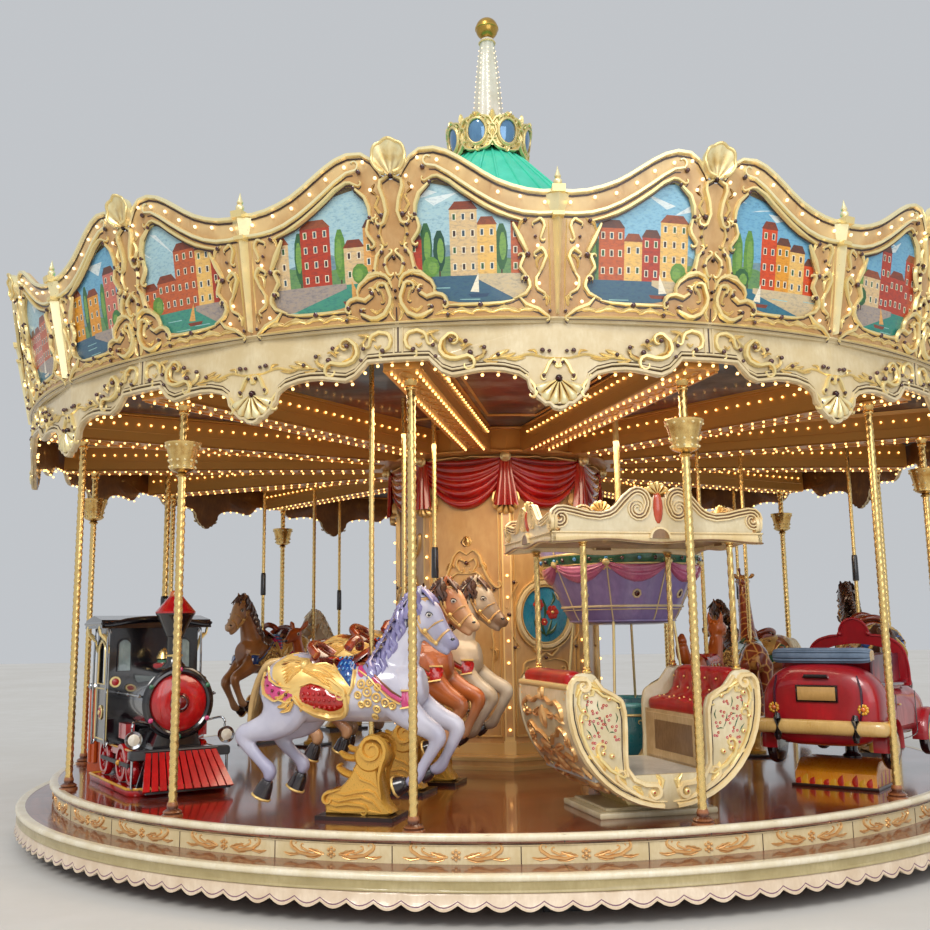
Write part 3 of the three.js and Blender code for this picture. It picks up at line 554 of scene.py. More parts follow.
    def shell(self, centre, radius, ribs, start, stop, depth, slot=0, inner=0.16, base=0.0):
        """A fan of rounded ribs about a point, between two angles in degrees, with a lobed rim."""
        columns = ribs * 4 + 1
        angles = np.radians(np.linspace(start, stop, columns))
        wave = np.abs(np.sin(np.linspace(0, math.pi * ribs, columns)))
        rings = []
        for part in (inner, 0.45, 0.75, 0.93, 1.0):
            reach = radius * part * (1 + 0.09 * wave * part)
            crown = (1.15 - 0.55 * abs(part - 0.6)) * (0.35 if part == 1.0 else 1)
            height = depth * (0.35 + 0.65 * wave) * crown
            rings.append(np.column_stack([centre[0] + reach * np.cos(angles),
                                          centre[1] + reach * np.sin(angles), base + height]))
        self.grid(rings, slot)

    def thin(self, share):
        """The same form with about this share of its triangles, fewest where it bends least."""
        mesh = thinned(self.mesh("full_form"), share)
        mesh.calc_loop_triangles()
        points = np.empty(len(mesh.vertices) * 3)
        corners = np.empty(len(mesh.loop_triangles) * 3, int)
        slots = np.empty(len(mesh.polygons), int)
        faces = np.empty(len(mesh.loop_triangles), int)
        mesh.vertices.foreach_get("co", points)
        mesh.loop_triangles.foreach_get("vertices", corners)
        mesh.loop_triangles.foreach_get("polygon_index", faces)
        mesh.polygons.foreach_get("material_index", slots)
        light = Shape()
        light.points.append(points.reshape(-1, 3))
        light.tris.append(np.column_stack([corners.reshape(-1, 3), slots[faces]]))
        light.count = len(mesh.vertices)
        bpy.data.meshes.remove(mesh)
        return light

    def mesh(self, name, sharp=38):
        """The gathered faces as one mesh, facing outwards."""
        points = self.all_points()
        quads, tris = self.all_faces()
        mesh = bpy.data.meshes.new(name)
        mesh.vertices.add(len(points))
        mesh.vertices.foreach_set("co", points.ravel())
        corners = np.concatenate([quads[:, :4].ravel(), tris[:, :3].ravel()])
        mesh.loops.add(len(corners))
        mesh.loops.foreach_set("vertex_index", corners)
        starts = np.concatenate([np.arange(len(quads)) * 4, len(quads) * 4 + np.arange(len(tris)) * 3])
        mesh.polygons.add(len(starts))
        mesh.polygons.foreach_set("loop_start", starts)
        mesh.polygons.foreach_set("material_index", np.concatenate([quads[:, 4], tris[:, 3]]))
        mesh.update(calc_edges=True)
        mesh.validate()
        return smooth_faces(mesh, sharp)


def smooth_faces(mesh, sharp=38):
    """Shades a mesh smooth but for edges sharper than an angle in degrees."""
    work = bmesh.new()
    work.from_mesh(mesh)
    bmesh.ops.recalc_face_normals(work, faces=work.faces)
    work.to_mesh(mesh)
    work.free()
    mesh.polygons.foreach_set("use_smooth", np.ones(len(mesh.polygons), bool))
    mesh.set_sharp_from_angle(angle=math.radians(sharp))
    return mesh


def thinned(mesh, share):
    """A copy of a mesh with about this share of its triangles."""
    work = bpy.data.objects.new("thin_work", mesh)
    bpy.context.scene.collection.objects.link(work)
    work.modifiers.new("thin", "DECIMATE").ratio = share
    light = bpy.data.meshes.new_from_object(work.evaluated_get(bpy.context.evaluated_depsgraph_get()))
    bpy.data.objects.remove(work)
    bpy.data.meshes.remove(mesh)
    return light


def inset(outline, distance):
    """The outline moved inwards by a small distance, for a bevel."""
    if not distance:
        return outline
    before, after = np.roll(outline, 1, 0), np.roll(outline, -1, 0)
    area = np.sum(outline[:, 0] * after[:, 1] - after[:, 0] * outline[:, 1])
    along = after - before
    along /= np.linalg.norm(along, axis=1)[:, None] + 1e-12
    inward = np.column_stack([-along[:, 1], along[:, 0]]) * (1 if area > 0 else -1)
    return outline + inward * distance


def lift_flat(outline, level, axis):
    """Flat points set at a level of the x, y or z axis."""
    a, b = outline[:, 0], outline[:, 1]
    c = np.full(len(outline), float(level))
    order = {"x": (c, a, b), "y": (a, c, b), "z": (a, b, c)}
    return np.column_stack(order[axis])


def fill(outline):
    """Triangles over a flat outline, as numbers of its points."""
    flat = [Vector((float(x), float(y))) for x, y in outline]
    found = delaunay_2d_cdt(flat, [], [list(range(len(flat)))], 1, 1e-7)
    source = [group[0] if group else 0 for group in found[3]]
    return [tuple(source[i] for i in face) for face in found[2]]


def piece(name, shape, materials, body="carousel", stands_for=(), place=None, sharp=38, keep=1.0):
    """Makes a piece of the object from a shape or a mesh and lets it ride on its body."""
    if keep < 1.0:
        shape = shape.thin(keep)
    mesh = shape.mesh(name, sharp) if isinstance(shape, Shape) else shape
    if not mesh.materials:
        for paint in materials:
            mesh.materials.append(paint)
    made = bpy.data.objects.new(name, mesh)
    bpy.context.scene.collection.objects.link(made)
    if place is not None:
        made.matrix_world = place
    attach(made, body)
    if stands_for:
        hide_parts(*stands_for)
    return made


def repaint(node, material):
    """Gives a CAD node its material."""
    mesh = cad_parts[node].data
    mesh.materials.clear()
    mesh.materials.append(material)


def on_deck(azimuth, radius):
    """A figure's place: its +X is the way the carousel turns and its -Y is outwards."""
    return (Matrix.Rotation(math.radians(azimuth), 4, "Z")
            @ Matrix.Translation((0, -radius, DECK_TOP + SEAT_GAP)))


def bent(radius_at, reference, azimuth, side=1):
    """Bends a flat template round the rim: x runs along it from an azimuth, y is height and z
    stands out from the radius at that height."""
    def move(points):
        u, v, w = points.T
        angle = azimuth + side * u / reference
        radius = radius_at(v) + w
        return np.column_stack([radius * np.sin(angle), -radius * np.cos(angle), v])
    return move


def half_bays(template, radius_at, reference, first):
    """A template repeated in mirrored pairs from the azimuth of its middle line."""
    whole = Shape()
    for bay in range(BAYS):
        for side in (1, -1):
            whole.copy_in(template, bent(radius_at, reference, first + bay * BAY, side), flip=side < 0)
    return whole


# Camera, light and floor

FOCAL_PIXELS = 1041.742
IMAGE_SIDE = 930
SENSOR = 36.0
EYE_DISTANCE = 10.788
EYE_HEIGHT = 1.706
EYE_AZIMUTH = math.radians(-5.21)
YAW, PITCH, ROLL = -0.029, 0.158, -0.014


def add_camera():
    """The photograph's camera, found from the rings of the deck, poles and valance."""
    forward = Vector((math.sin(YAW) * math.cos(PITCH), math.cos(YAW) * math.cos(PITCH), math.sin(PITCH)))
    right = Vector((math.cos(YAW), -math.sin(YAW), 0))
    up = right.cross(forward)
    rolled_right = right * math.cos(ROLL) + up * math.sin(ROLL)
    rolled_up = up * math.cos(ROLL) - right * math.sin(ROLL)
    view = Matrix((rolled_right, rolled_up, -forward)).transposed().to_4x4()
    view.translation = Vector((0, -EYE_DISTANCE, EYE_HEIGHT))
    data = bpy.data.cameras.new("photo_camera")
    data.sensor_width = SENSOR
    data.lens = SENSOR * FOCAL_PIXELS / IMAGE_SIDE
    data.clip_end = 200
    camera = bpy.data.objects.new("photo_camera", data)
    bpy.context.scene.collection.objects.link(camera)
    camera.matrix_world = Matrix.Rotation(EYE_AZIMUTH, 4, "Z") @ view
    bpy.context.scene.camera = camera


def add_light(name, kind, energy, place, aim, size=1.0, colour=(1, 1, 1)):
    """A lamp at a place, aimed at a point."""
    data = bpy.data.lights.new(name, kind)
    data.energy = energy
    data.color = colour
    if kind == "AREA":
        data.size = size
    if kind == "SUN":
        data.angle = size
    lamp = bpy.data.objects.new(name, data)
    bpy.context.scene.collection.objects.link(lamp)
    lamp.location = place
    lamp.rotation_euler = (Vector(aim) - Vector(place)).to_track_quat("-Z", "Y").to_euler()


def add_studio():
    """A pale world, soft lights and a plain pale floor."""
    world = bpy.data.worlds.new("studio")
    world.use_nodes = True
    background = world.node_tree.nodes["Background"]
    background.inputs[0].default_value = linear("e9edf2")
    background.inputs[1].default_value = 0.66
    bpy.context.scene.world = world
    add_light("key", "SUN", 1.5, (-6, -12, 14), (0, 0, 2), 0.35, (1.0, 0.97, 0.92))
    add_light("front_fill", "AREA", 480, (3, -13, 7), (0, 0, 2.5), 9)
    add_light("under_canopy", "AREA", 84, (0, -2.7, 3.3), (0, -2.7, 0), 2.2, (1.0, 0.80, 0.58))
    floor = Shape()
    side = 60
    floor.add([(-side, -side, -0.002), (side, -side, -0.002), (side, side, -0.002), (-side, side, -0.002)],
              [(0, 1, 2, 3)])
    mesh = floor.mesh("floor")
    mesh.materials.append(enamel("floor_pale", "d8d6d2", "cfccc6", rough=0.7, coat=0.0, scale=0.3))
    made = bpy.data.objects.new("floor", mesh)
    bpy.context.scene.collection.objects.link(made)


# Turning base

NOSING_STEPS = 6


def rounded(radius, low, high, out):
    """Profile of a half-round nosing that stands out from a radius between two heights."""
    middle, half = (low + high) / 2, (high - low) / 2
    turns = [math.pi * i / NOSING_STEPS - math.pi / 2 for i in range(NOSING_STEPS + 1)]
    return [(radius + out * math.cos(a), middle + half * math.sin(a)) for a in turns]


def add_base():
    """Nosings, step boards, riser and skirt of the turning base."""
    repaint("ground_frame", STEEL)
    repaint("deck", DECK_VARNISH)
    segments = 24 * BAYS
    nosing = Shape()
    edge = DECK_R - 0.012
    nosing.lathe([(edge - 0.05, DECK_TOP + 0.0015)] + [(edge - 0.02, DECK_TOP + 0.006)]
                 + rounded(edge, DECK_TOP - 0.042, DECK_TOP + 0.006, 0.018)[::-1]
                 + [(edge - 0.01, DECK_TOP - 0.044), (edge - 0.035, DECK_TOP - 0.044)],
                 segments, closed=True)
    # A thin dark band just under the deck's nosing: painted shadow.
    nosing.lathe([(edge - 0.03, DECK_TOP - 0.0445), (edge - 0.004, DECK_TOP - 0.0445),
                  (edge - 0.004, DECK_TOP - 0.056), (edge - 0.03, DECK_TOP - 0.056)], segments, 1,
                  closed=True)
    step = STEP_R - 0.012
    nosing.lathe([(step - 0.06, STEP_TOP + 0.0015), (step - 0.02, STEP_TOP + 0.005)]
                 + rounded(step, STEP_TOP - 0.036, STEP_TOP + 0.005, 0.016)[::-1]
                 + [(step - 0.03, STEP_TOP - 0.036)], segments, closed=True)
    # A thin dark band just under the step's nosing: painted shadow.
    nosing.lathe([(step - 0.03, STEP_TOP - 0.0365), (step - 0.002, STEP_TOP - 0.0365),
                  (step - 0.002, STEP_TOP - 0.046), (step - 0.03, STEP_TOP - 0.046)], segments, 1,
                  closed=True)
    piece("edge_nosings", nosing, [WHITE_NOSING, DARK_LINE], keep=0.6)

    tread = Shape()
    tread.lathe([(DECK_R - 0.09, STEP_TOP - 0.03), (step - 0.005, STEP_TOP - 0.03),
                 (step - 0.005, STEP_TOP), (DECK_R - 0.09, STEP_TOP)], segments, closed=True)
    piece("step_boards", tread, [TREAD_VARNISH], stands_for=["step_tread"])
    add_riser(segments)
    add_skirt()


RISERS = 33
RISER_R = DECK_R - 0.032


def add_riser(segments):
    """The step's upright face, with a gilt scroll ornament in each of its panels."""
    face = Shape()
    low, high = STEP_TOP + SEAT_GAP, DECK_BOTTOM
    face.lathe([(RISER_R - 0.03, low), (RISER_R, low), (RISER_R, high), (RISER_R - 0.03, high)],
               segments, closed=True)
    face.lathe([(RISER_R - 0.002, high - 0.012), (RISER_R + 0.006, high - 0.008),
                (RISER_R + 0.006, high - 0.001), (RISER_R - 0.002, high - 0.001)], segments, closed=True)
    half = math.pi * RISER_R / RISERS
    middle = (low + high) / 2
    seam = Shape()
    seam.box((half - 0.003, low + 0.001, -0.004), (half, high - 0.012, 0.0015), 1)
    wave = Shape()
    wave.ridge(scroll_path([(0.05, -0.012), (0.13, -0.03), (0.22, -0.016), (0.27, 0.016)],
                           tail=(0.028, 300)),
               0.011, 0.012)
    wave.ridge(scroll_path([(0.085, 0.0), (0.15, -0.008), (0.2, 0.01)], tail=(0.018, 230)), 0.007, 0.009)
    wave.leaf([(0.05, -0.018), (0.10, -0.005), (0.16, 0.012)], 0.016, 0.010, lobes=3)
    wave.leaf([(0.21, -0.02), (0.28, -0.03), (0.335, -0.018)], 0.012, 0.009, lobes=3)
    wave.leaf([(0.07, -0.028), (0.12, -0.04), (0.18, -0.038)], 0.009, 0.007, lobes=3)
    for x, y, r in ((0.0, -0.004, 0.013), (0.019, -0.018, 0.010), (0.019, 0.012, 0.010),
                    (0.0, -0.03, 0.009), (0.0, 0.024, 0.009), (0.275, 0.016, 0.007)):
        wave.ball((x, y, 0.004), r, 7, 4, 2)
    template = Shape()
    template.copy_in(seam, lambda p: p)
    template.copy_in(wave, lambda p: p + (0, middle, 0))
    whole = Shape()
    first = math.radians(1.84)
    for i in range(RISERS):
        for side in (1, -1):
            place = first + i * math.tau / RISERS
            whole.copy_in(template, bent(lambda v: RISER_R, RISER_R, place, side), flip=side < 0)
    piece("riser_face", face, [CREAM], stands_for=["riser"])
    piece("riser_scrolls", whole, [COPPER_GOLD, DARK_LINE, COPPER_GOLD])


SCALLOPS = 168


def add_skirt():
    """A moulded band above a row of scallops with a mauve border."""
    per = 8
    total = SCALLOPS * per
    angles = np.arange(total) * math.tau / total
    phase = (np.arange(total) % per) / per
    dip = np.sin(np.pi * phase)
    top = STEP_TOP - 0.0305
    lowest = SKIRT_BOTTOM + 0.004
    edge = lowest + 0.034 * (1 - dip)

    def row(radius, height):
        return np.column_stack([radius * np.sin(angles), -radius * np.cos(angles),
                                np.broadcast_to(height, total)])
    band = Shape()
    band.grid([row(SKIRT_R - 0.03, top), row(SKIRT_R - 0.002, top), row(SKIRT_R + 0.003, top - 0.006),
               row(SKIRT_R - 0.002, top - 0.012), row(SKIRT_R - 0.004, top - 0.052),
               row(SKIRT_R + 0.002, top - 0.058), row(SKIRT_R + 0.002, top - 0.066),
               row(SKIRT_R - 0.03, top - 0.07)], 1, closed_rows=True, closed_ring=True)
    bulge = 0.010 * dip
    rows = [row(SKIRT_R - 0.026, top - 0.068), row(SKIRT_R - 0.010 + bulge * 0.2, top - 0.070),
            row(SKIRT_R - 0.004 + bulge * 0.6, top - 0.085),
            row(SKIRT_R - 0.004 + bulge, edge + 0.030), row(SKIRT_R - 0.001 + bulge, edge + 0.026)]
    rim = [rows[-1], row(SKIRT_R - 0.001 + bulge, edge + 0.018)]
    border = [rim[-1], row(SKIRT_R + 0.002 + bulge, edge + 0.012), row(SKIRT_R + 0.002 + bulge, edge),
              row(SKIRT_R - 0.02, edge), row(SKIRT_R - 0.026, top - 0.068)]
    band.grid(rows, 0, closed_ring=True)
    band.grid(rim, 2, closed_ring=True)
    band.grid(border, 0, closed_ring=True)
    piece("skirt_scallops", band, [SKIRT, OLIVE_BAND, MAUVE], stands_for=["skirt"], sharp=50,
          keep=0.4)


# Outer poles

TWIST_PITCH = 0.11


def add_outer_poles():
    """Twisted brass poles on turned feet; every second one carries a cup near its head."""
    foot = DECK_TOP + SEAT_GAP
    top = BEAM_BOTTOM - SEAT_GAP
    sides, rows = 8, 176
    angles = np.arange(sides) * math.tau / sides
    twist = Shape()
    rings = []
    heights = np.linspace(foot + 0.085, top - 0.03, rows)
    for height in heights:
        spin = math.tau * height / TWIST_PITCH
        radius = 0.0292 + 0.0028 * np.cos(2 * (angles - spin))
        rings.append(np.column_stack([radius * np.cos(angles), radius * np.sin(angles),
                                      np.full(sides, height)]))
    twist.grid(rings, 0, closed_ring=True, caps=True)
    twist.lathe([(0, foot), (0.072, foot), (0.072, foot + 0.012), (0.060, foot + 0.020),
                 (0.066, foot + 0.030), (0.056, foot + 0.040), (0.036, foot + 0.052), (0.040, foot + 0.070),
                 (0.034, foot + 0.094), (0, foot + 0.094)], 24, 1)
    twist.lathe([(0, top - 0.07), (0.036, top - 0.07), (0.040, top - 0.055), (0.034, top - 0.045),
                 (0.050, top - 0.012), (0.050, top), (0, top)], 20, 0)
    cupped = Shape()
    cupped.copy_in(twist, lambda p: p)
    low, high = 2.87, 3.08
    lobes = 12

    def flute(turn):
        return 1 + 0.03 * np.abs(np.cos(lobes * turn / 2))
    cupped.lathe([(0.034, low - 0.04), (0.045, low - 0.03), (0.03, low - 0.012), (0.062, low),
                  (0.085, low + 0.012), (0.088, low + 0.05), (0.100, low + 0.11), (0.112, low + 0.16),
                  (0.124, high - 0.015), (0.128, high - 0.004), (0.122, high), (0.105, high - 0.01),
                  (0.08, high - 0.05), (0.034, high - 0.05)], 48, 0, wave=flute)
    for i in range(lobes):
        turn = math.tau * i / lobes
        for height, radius in ((low + 0.03, 0.092), (low + 0.075, 0.098), (high - 0.03, 0.122)):
            cupped.ball((radius * math.sin(turn), radius * math.cos(turn), height), 0.010, 6, 4, 2)
    plain_mesh = twist.mesh("outer_pole", 50)
    cup_mesh = cupped.mesh("outer_pole_cup", 50)
    for mesh in (plain_mesh, cup_mesh):
        for paint in (BRASS, POLE_FOOT, PALE_GOLD):
            mesh.materials.append(paint)
    for i in range(BAYS):
        place = Matrix.Rotation((i + 0.5) * BAY, 4, "Z") @ Matrix.Translation((0, -POLE_RING_R, 0))
        mesh = cup_mesh if i % 2 == 0 else plain_mesh
        piece(f"twisted_pole_{i + 1}", mesh, [], stands_for=[f"outer_pole_{i + 1}"],
              place=place)


POLE_FOOT = enamel("turned_foot_brown", "6b3a22", "4a2416", rough=0.25, coat=0.6, hollow_shade="1f0d06",
                   ridge="9a6038")


# Crown boards

CROWN_REF = (CROWN_FOOT_R + CROWN_HEAD_R) / 2
HALF_BAY = CROWN_REF * BAY / 2


def crown_radius(height):
    """Radius of the crown boards' face, which leans outwards."""
    return CROWN_FOOT_R + (CROWN_HEAD_R - CROWN_FOOT_R) * (height - CROWN_FOOT) / (CROWN_TOP - CROWN_FOOT)


# Head of a board as (distance from the pilaster, height above the foot), from pilaster to shell
BOARD_HEAD = smooth_path([(0.0, 0.785), (0.12, 0.780), (0.25, 0.805), (0.377, 0.852), (0.479, 0.912),
                          (0.58, 0.980), (0.682, 1.038), (0.784, 1.066), (0.869, 1.052), (0.94, 0.985),
                          (0.975, 0.915), (HALF_BAY, 0.885)], 4)
# Opening of the painted picture, from its top near the pilaster round to the right
PICTURE_EDGE = [(0.215, 0.60), (0.30, 0.63), (0.40, 0.67), (0.50, 0.73), (0.60, 0.80), (0.69, 0.86),
                (0.76, 0.872), (0.82, 0.83), (0.865, 0.76), (0.88, 0.68), (0.875, 0.60), (0.90, 0.50),
                (0.915, 0.42), (0.88, 0.33), (0.80, 0.27), (0.775, 0.20), (0.70, 0.125), (0.55, 0.108),
                (0.40, 0.11), (0.27, 0.125), (0.20, 0.18), (0.185, 0.26), (0.225, 0.33), (0.205, 0.42),
                (0.26, 0.52)]


def board_head(u):
    """Height of the board's head at a distance from the pilaster."""
    return np.interp(u, BOARD_HEAD[:, 0], BOARD_HEAD[:, 1])


def anticlockwise(outline):
    """The outline, turned round if it runs clockwise."""
    p = np.asarray(outline, float)
    q = np.roll(p, -1, 0)
    return p if np.sum(p[:, 0] * q[:, 1] - q[:, 0] * p[:, 1]) > 0 else p[::-1]


def flat_fill(outline, hole, spacing, keep=None):
    """Points and triangles over an outline less a hole, with inner points for its bend."""
    outline = anticlockwise(outline)
    hole = anticlockwise(hole) if hole is not None else np.zeros((0, 2))
    points = [Vector(p) for p in outline] + [Vector(p) for p in hole]
    loops = [list(range(len(outline)))]
    if len(hole):
        loops.append(list(range(len(outline), len(points))))
    low, high = outline.min(0), outline.max(0)
    for x in np.arange(low[0] + spacing, high[0] - spacing / 3, spacing):
        for y in np.arange(low[1] + spacing, high[1] - spacing / 3, spacing):
            if keep is None or keep(x, y):
                points.append(Vector((x, y)))
    found = delaunay_2d_cdt(points, [], loops, 0, 1e-6)
    kept = [tuple(face) for face, owners in zip(found[2], found[5]) if 0 in owners and 1 not in owners]
    return np.array([tuple(p) for p in found[0]]), kept


def crown_board_template():
    """One half bay of board: its pierced face, the walls of the opening, head and back."""
    template = Shape()
    outline = [tuple(p) for p in BOARD_HEAD] + [(HALF_BAY, 0.0), (HALF_BAY * 0.66, 0.0),
                                                (HALF_BAY * 0.33, 0.0), (0, 0)]
    hole = [tuple(p) for p in smooth_path(PICTURE_EDGE + PICTURE_EDGE[:1], 2)[:-1]]
    flat, tris = flat_fill(outline, hole, 0.085, lambda x, y: y < board_head(x) - 0.03)
    template.add(np.column_stack([flat, np.zeros(len(flat))]), tris=tris)
    wall = np.array(hole)
    template.grid([at_level(wall, depth) for depth in (0.0, -0.022)], 1, closed_ring=True)
    head = BOARD_HEAD
    template.grid([at_level(head, depth) for depth in (0.0, -0.038)], 0)
    back = [np.column_stack([head[:, 0], head[:, 1] * part, np.full(len(head), -0.038)])
            for part in (1.0, 0.5, 0.0)]
    template.grid(back, 2)
    template.grid([np.column_stack([head[:, 0], np.zeros(len(head)), np.full(len(head), depth)])
                   for depth in (-0.038, 0.0)], 0)
    lifted = Shape()
    lifted.copy_in(template, lambda p: p + (0, CROWN_FOOT, 0))
    return lifted


def seam_scallop(shape, foot, radius, rim, cup):
    """Left half of a round, cupped shell standing on its foot, with a raised rim."""
    turns = np.radians(np.linspace(90, 172, 19))
    wave = 1 + 0.035 * np.abs(np.cos(6.5 * (turns - math.pi / 2)))
    rows = []
    for part in (0.06, 0.3, 0.55, 0.8, 1.0):
        reach = part * 2 * radius * np.sin(turns) * wave
        lift = 0.018 + 0.040 * part ** 2 + 0.006 * part * np.cos(13 * (turns - math.pi / 2))
        rows.append(np.column_stack([foot[0] + reach * np.cos(turns), foot[1] + reach * np.sin(turns),
                                     lift]))
    shape.grid(rows[::-1], cup)
    edge = rows[-1]
    back = edge * (1, 1, 0)
    shape.grid([back, edge], cup)
    shape.tube(edge, 0.010, 7, rim)


def crown_relief_template():
    """The carving of one half bay: mouldings, scrolls, volutes, leaves, shell and jewels."""
    t = Shape()
    # The dark slot serves the seam between boards and the painted shadow lines under the mouldings and
    # scrolls.
    gold, pale, jewel, dark = 0, 1, 2, 3
    shift = np.array([0, -0.004])
    head = BOARD_HEAD[:-4] + shift
    t.ridge(head, 0.017, 0.026, pale, ends=(1, 0.6))
    # A thin dark line under the head moulding: painted shadow.
    t.ridge(head - (0, 0.026), 0.006, 0.007, dark, ends=(1, 0.6), section=2)
    second = scroll_path([(0.0, 0.648), (0.148, 0.645), (0.275, 0.668), (0.403, 0.722), (0.53, 0.80),
                          (0.648, 0.885), (0.733, 0.945), (0.79, 0.955)], tail=(0.040, 250))
    t.ridge(second, 0.015, 0.022, pale, ends=(1, 0.5))
    # A thin dark line under the second moulding: painted shadow.
    t.ridge(second[:-8] - (0, 0.022), 0.006, 0.006, dark, ends=(1, 0.6), section=2)
    for points, first, last, width, depth in CROWN_SCROLLS:
        path = scroll_path(points, first, last)
        t.ridge(path, width * 1.3, depth * 1.25, gold, section=5 if width > 0.009 else 3)
        # A thin dark line under each scroll: painted shadow.
        t.ridge(path - (0, width * 1.5), width * 0.7, 0.003, dark, section=2)
    for points, width in CROWN_LEAVES:
        t.leaf(points, width, 0.016, gold, lobes=3)
    for u, v, r in CROWN_JEWELS:
        t.ball((u, v, 0.012), r, 6, 3, jewel)
    seam_scallop(t, (HALF_BAY, 0.905), 0.102, gold, pale)
    t.box((HALF_BAY - 0.004, 0.0, 0.001), (HALF_BAY + 0.001, 0.10, 0.004), dark)
    for x, y, high, wide in ((0.0, 0.03, 0.62, 0.012), (0.0, 0.62, 0.76, 0.030)):
        t.add([(x, y, 0), (wide, y, 0), (x, y, 0.045), (x, high, 0), (wide * 2.6, high, 0),
                      (x, high, 0.06)],
                     [(1, 2, 5, 4)], [(0, 2, 1), (3, 4, 5)], pale)
    t.box((0, 0.615, 0), (0.036, 0.640, 0.066), gold)
    t.box((0, 0.755, 0), (0.040, 0.800, 0.070), gold)
    t.ridge([(0.046, 0.05), (0.048, 0.3), (0.058, 0.61)], 0.006, 0.012, gold, section=3)
    lifted = Shape()
    lifted.copy_in(t, lambda p: p + (0, CROWN_FOOT, 0))
    return lifted


# Scrolls of half a bay: (points, volute at the start, volute at the end, half width, depth)
CROWN_SCROLLS = [
    ([(0.205, 0.60), (0.30, 0.628), (0.40, 0.668), (0.50, 0.728), (0.60, 0.798), (0.69, 0.868),
      (0.755, 0.892), (0.81, 0.868)], None, (0.022, 200), 0.012, 0.022),
    ([(0.80, 0.845), (0.85, 0.805), (0.882, 0.74), (0.886, 0.68)], (0.020, -180), (0.026, 250), 0.012,
     0.020),
    ([(0.872, 0.63), (0.865, 0.57), (0.905, 0.515)], (0.024, -190), (0.026, -240), 0.011, 0.019),
    ([(0.955, 0.46), (0.925, 0.43), (0.918, 0.38), (0.905, 0.335)], (0.020, 190), (0.026, 260), 0.012,
     0.020),
    ([(0.935, 0.315), (0.87, 0.295), (0.81, 0.26), (0.78, 0.21), (0.786, 0.165)], (0.020, -170), None,
     0.012, 0.020),
    ([(0.70, 0.115), (0.725, 0.155), (0.775, 0.17), (0.83, 0.155), (0.875, 0.185)], (0.022, 250),
     (0.030, 200), 0.013, 0.022),
    ([(0.71, 0.098), (0.60, 0.096), (0.50, 0.096), (0.38, 0.098), (0.275, 0.118)], None, None, 0.010,
     0.018),
    ([(0.285, 0.122), (0.215, 0.145), (0.175, 0.195), (0.185, 0.245)], None, (0.026, -220), 0.012, 0.020),
    ([(0.20, 0.27), (0.236, 0.315), (0.215, 0.365)], (0.022, 170), (0.026, -230), 0.011, 0.020),
    ([(0.195, 0.425), (0.222, 0.475), (0.252, 0.525), (0.278, 0.59)], (0.022, 190), None, 0.015, 0.022),
    ([(0.148, 0.595), (0.105, 0.61), (0.082, 0.565), (0.105, 0.505)], (0.018, -150), (0.020, -230), 0.010,
     0.018),
    ([(0.14, 0.41), (0.10, 0.43), (0.072, 0.38), (0.095, 0.32), (0.13, 0.26)], (0.018, -190), None, 0.012,
     0.020),
    ([(0.10, 0.30), (0.135, 0.25), (0.132, 0.19), (0.09, 0.165)], None, (0.022, 190), 0.010, 0.018),
    ([(0.06, 0.02), (0.12, 0.06), (0.20, 0.09), (0.25, 0.145)], (0.018, 200), None, 0.012, 0.018),
    ([(1.005, 0.90), (0.965, 0.88), (0.962, 0.82), (0.985, 0.76), (0.998, 0.70), (0.985, 0.64)],
     (0.024, 180), (0.036, -270), 0.013, 0.024),
    ([(0.945, 0.77), (0.925, 0.73), (0.95, 0.69)], (0.018, 150), (0.02, 180), 0.009, 0.016),
    ([(0.955, 0.62), (0.945, 0.56), (0.962, 0.50)], (0.016, -170), (0.018, 200), 0.009, 0.016),
    ([(1.012, 0.43), (0.985, 0.41), (0.972, 0.36), (0.99, 0.31)], (0.018, 220), (0.022, 200), 0.011, 0.020),
    ([(0.80, 0.255), (0.85, 0.30), (0.92, 0.315), (0.985, 0.285), (1.01, 0.22)], None, None, 0.012, 0.022),
    ([(0.985, 0.22), (1.0, 0.14), (0.955, 0.06), (0.885, 0.035), (0.815, 0.06)], (0.045, 250),
     (0.028, -230), 0.014, 0.024),
    ([(0.90, 0.235), (0.94, 0.20), (0.955, 0.155)], (0.016, 150), (0.018, -200), 0.008, 0.014),
    ([(1.012, 0.29), (0.985, 0.25), (0.96, 0.255)], None, (0.016, 200), 0.009, 0.016),
    ([(0.04, 0.012), (0.30, 0.014), (0.60, 0.014), (0.90, 0.012), (1.02, 0.012)], None, None, 0.009, 0.016),
]
# Leaves of half a bay: (spine, half width)
CROWN_LEAVES = [
    ([(0.10, 0.055), (0.18, 0.065), (0.27, 0.05)], 0.020),
    ([(0.24, 0.045), (0.34, 0.07), (0.43, 0.045)], 0.022),
    ([(0.40, 0.045), (0.49, 0.07), (0.57, 0.04)], 0.020),
    ([(0.53, 0.04), (0.61, 0.065), (0.69, 0.045)], 0.020),
    ([(0.66, 0.04), (0.72, 0.06), (0.79, 0.04)], 0.015),
    ([(0.07, 0.08), (0.065, 0.13), (0.10, 0.17)], 0.016),
    ([(0.085, 0.40), (0.13, 0.36), (0.125, 0.30)], 0.014),
    ([(0.175, 0.62), (0.23, 0.59), (0.245, 0.54)], 0.014),
    ([(0.88, 0.22), (0.92, 0.255), (0.965, 0.235)], 0.016),
    ([(1.02, 0.02), (0.995, 0.07), (1.02, 0.13)], 0.016),
    ([(0.86, 0.10), (0.90, 0.075), (0.95, 0.10)], 0.014),
    ([(0.935, 0.80), (0.905, 0.83), (0.93, 0.87)], 0.014),
]
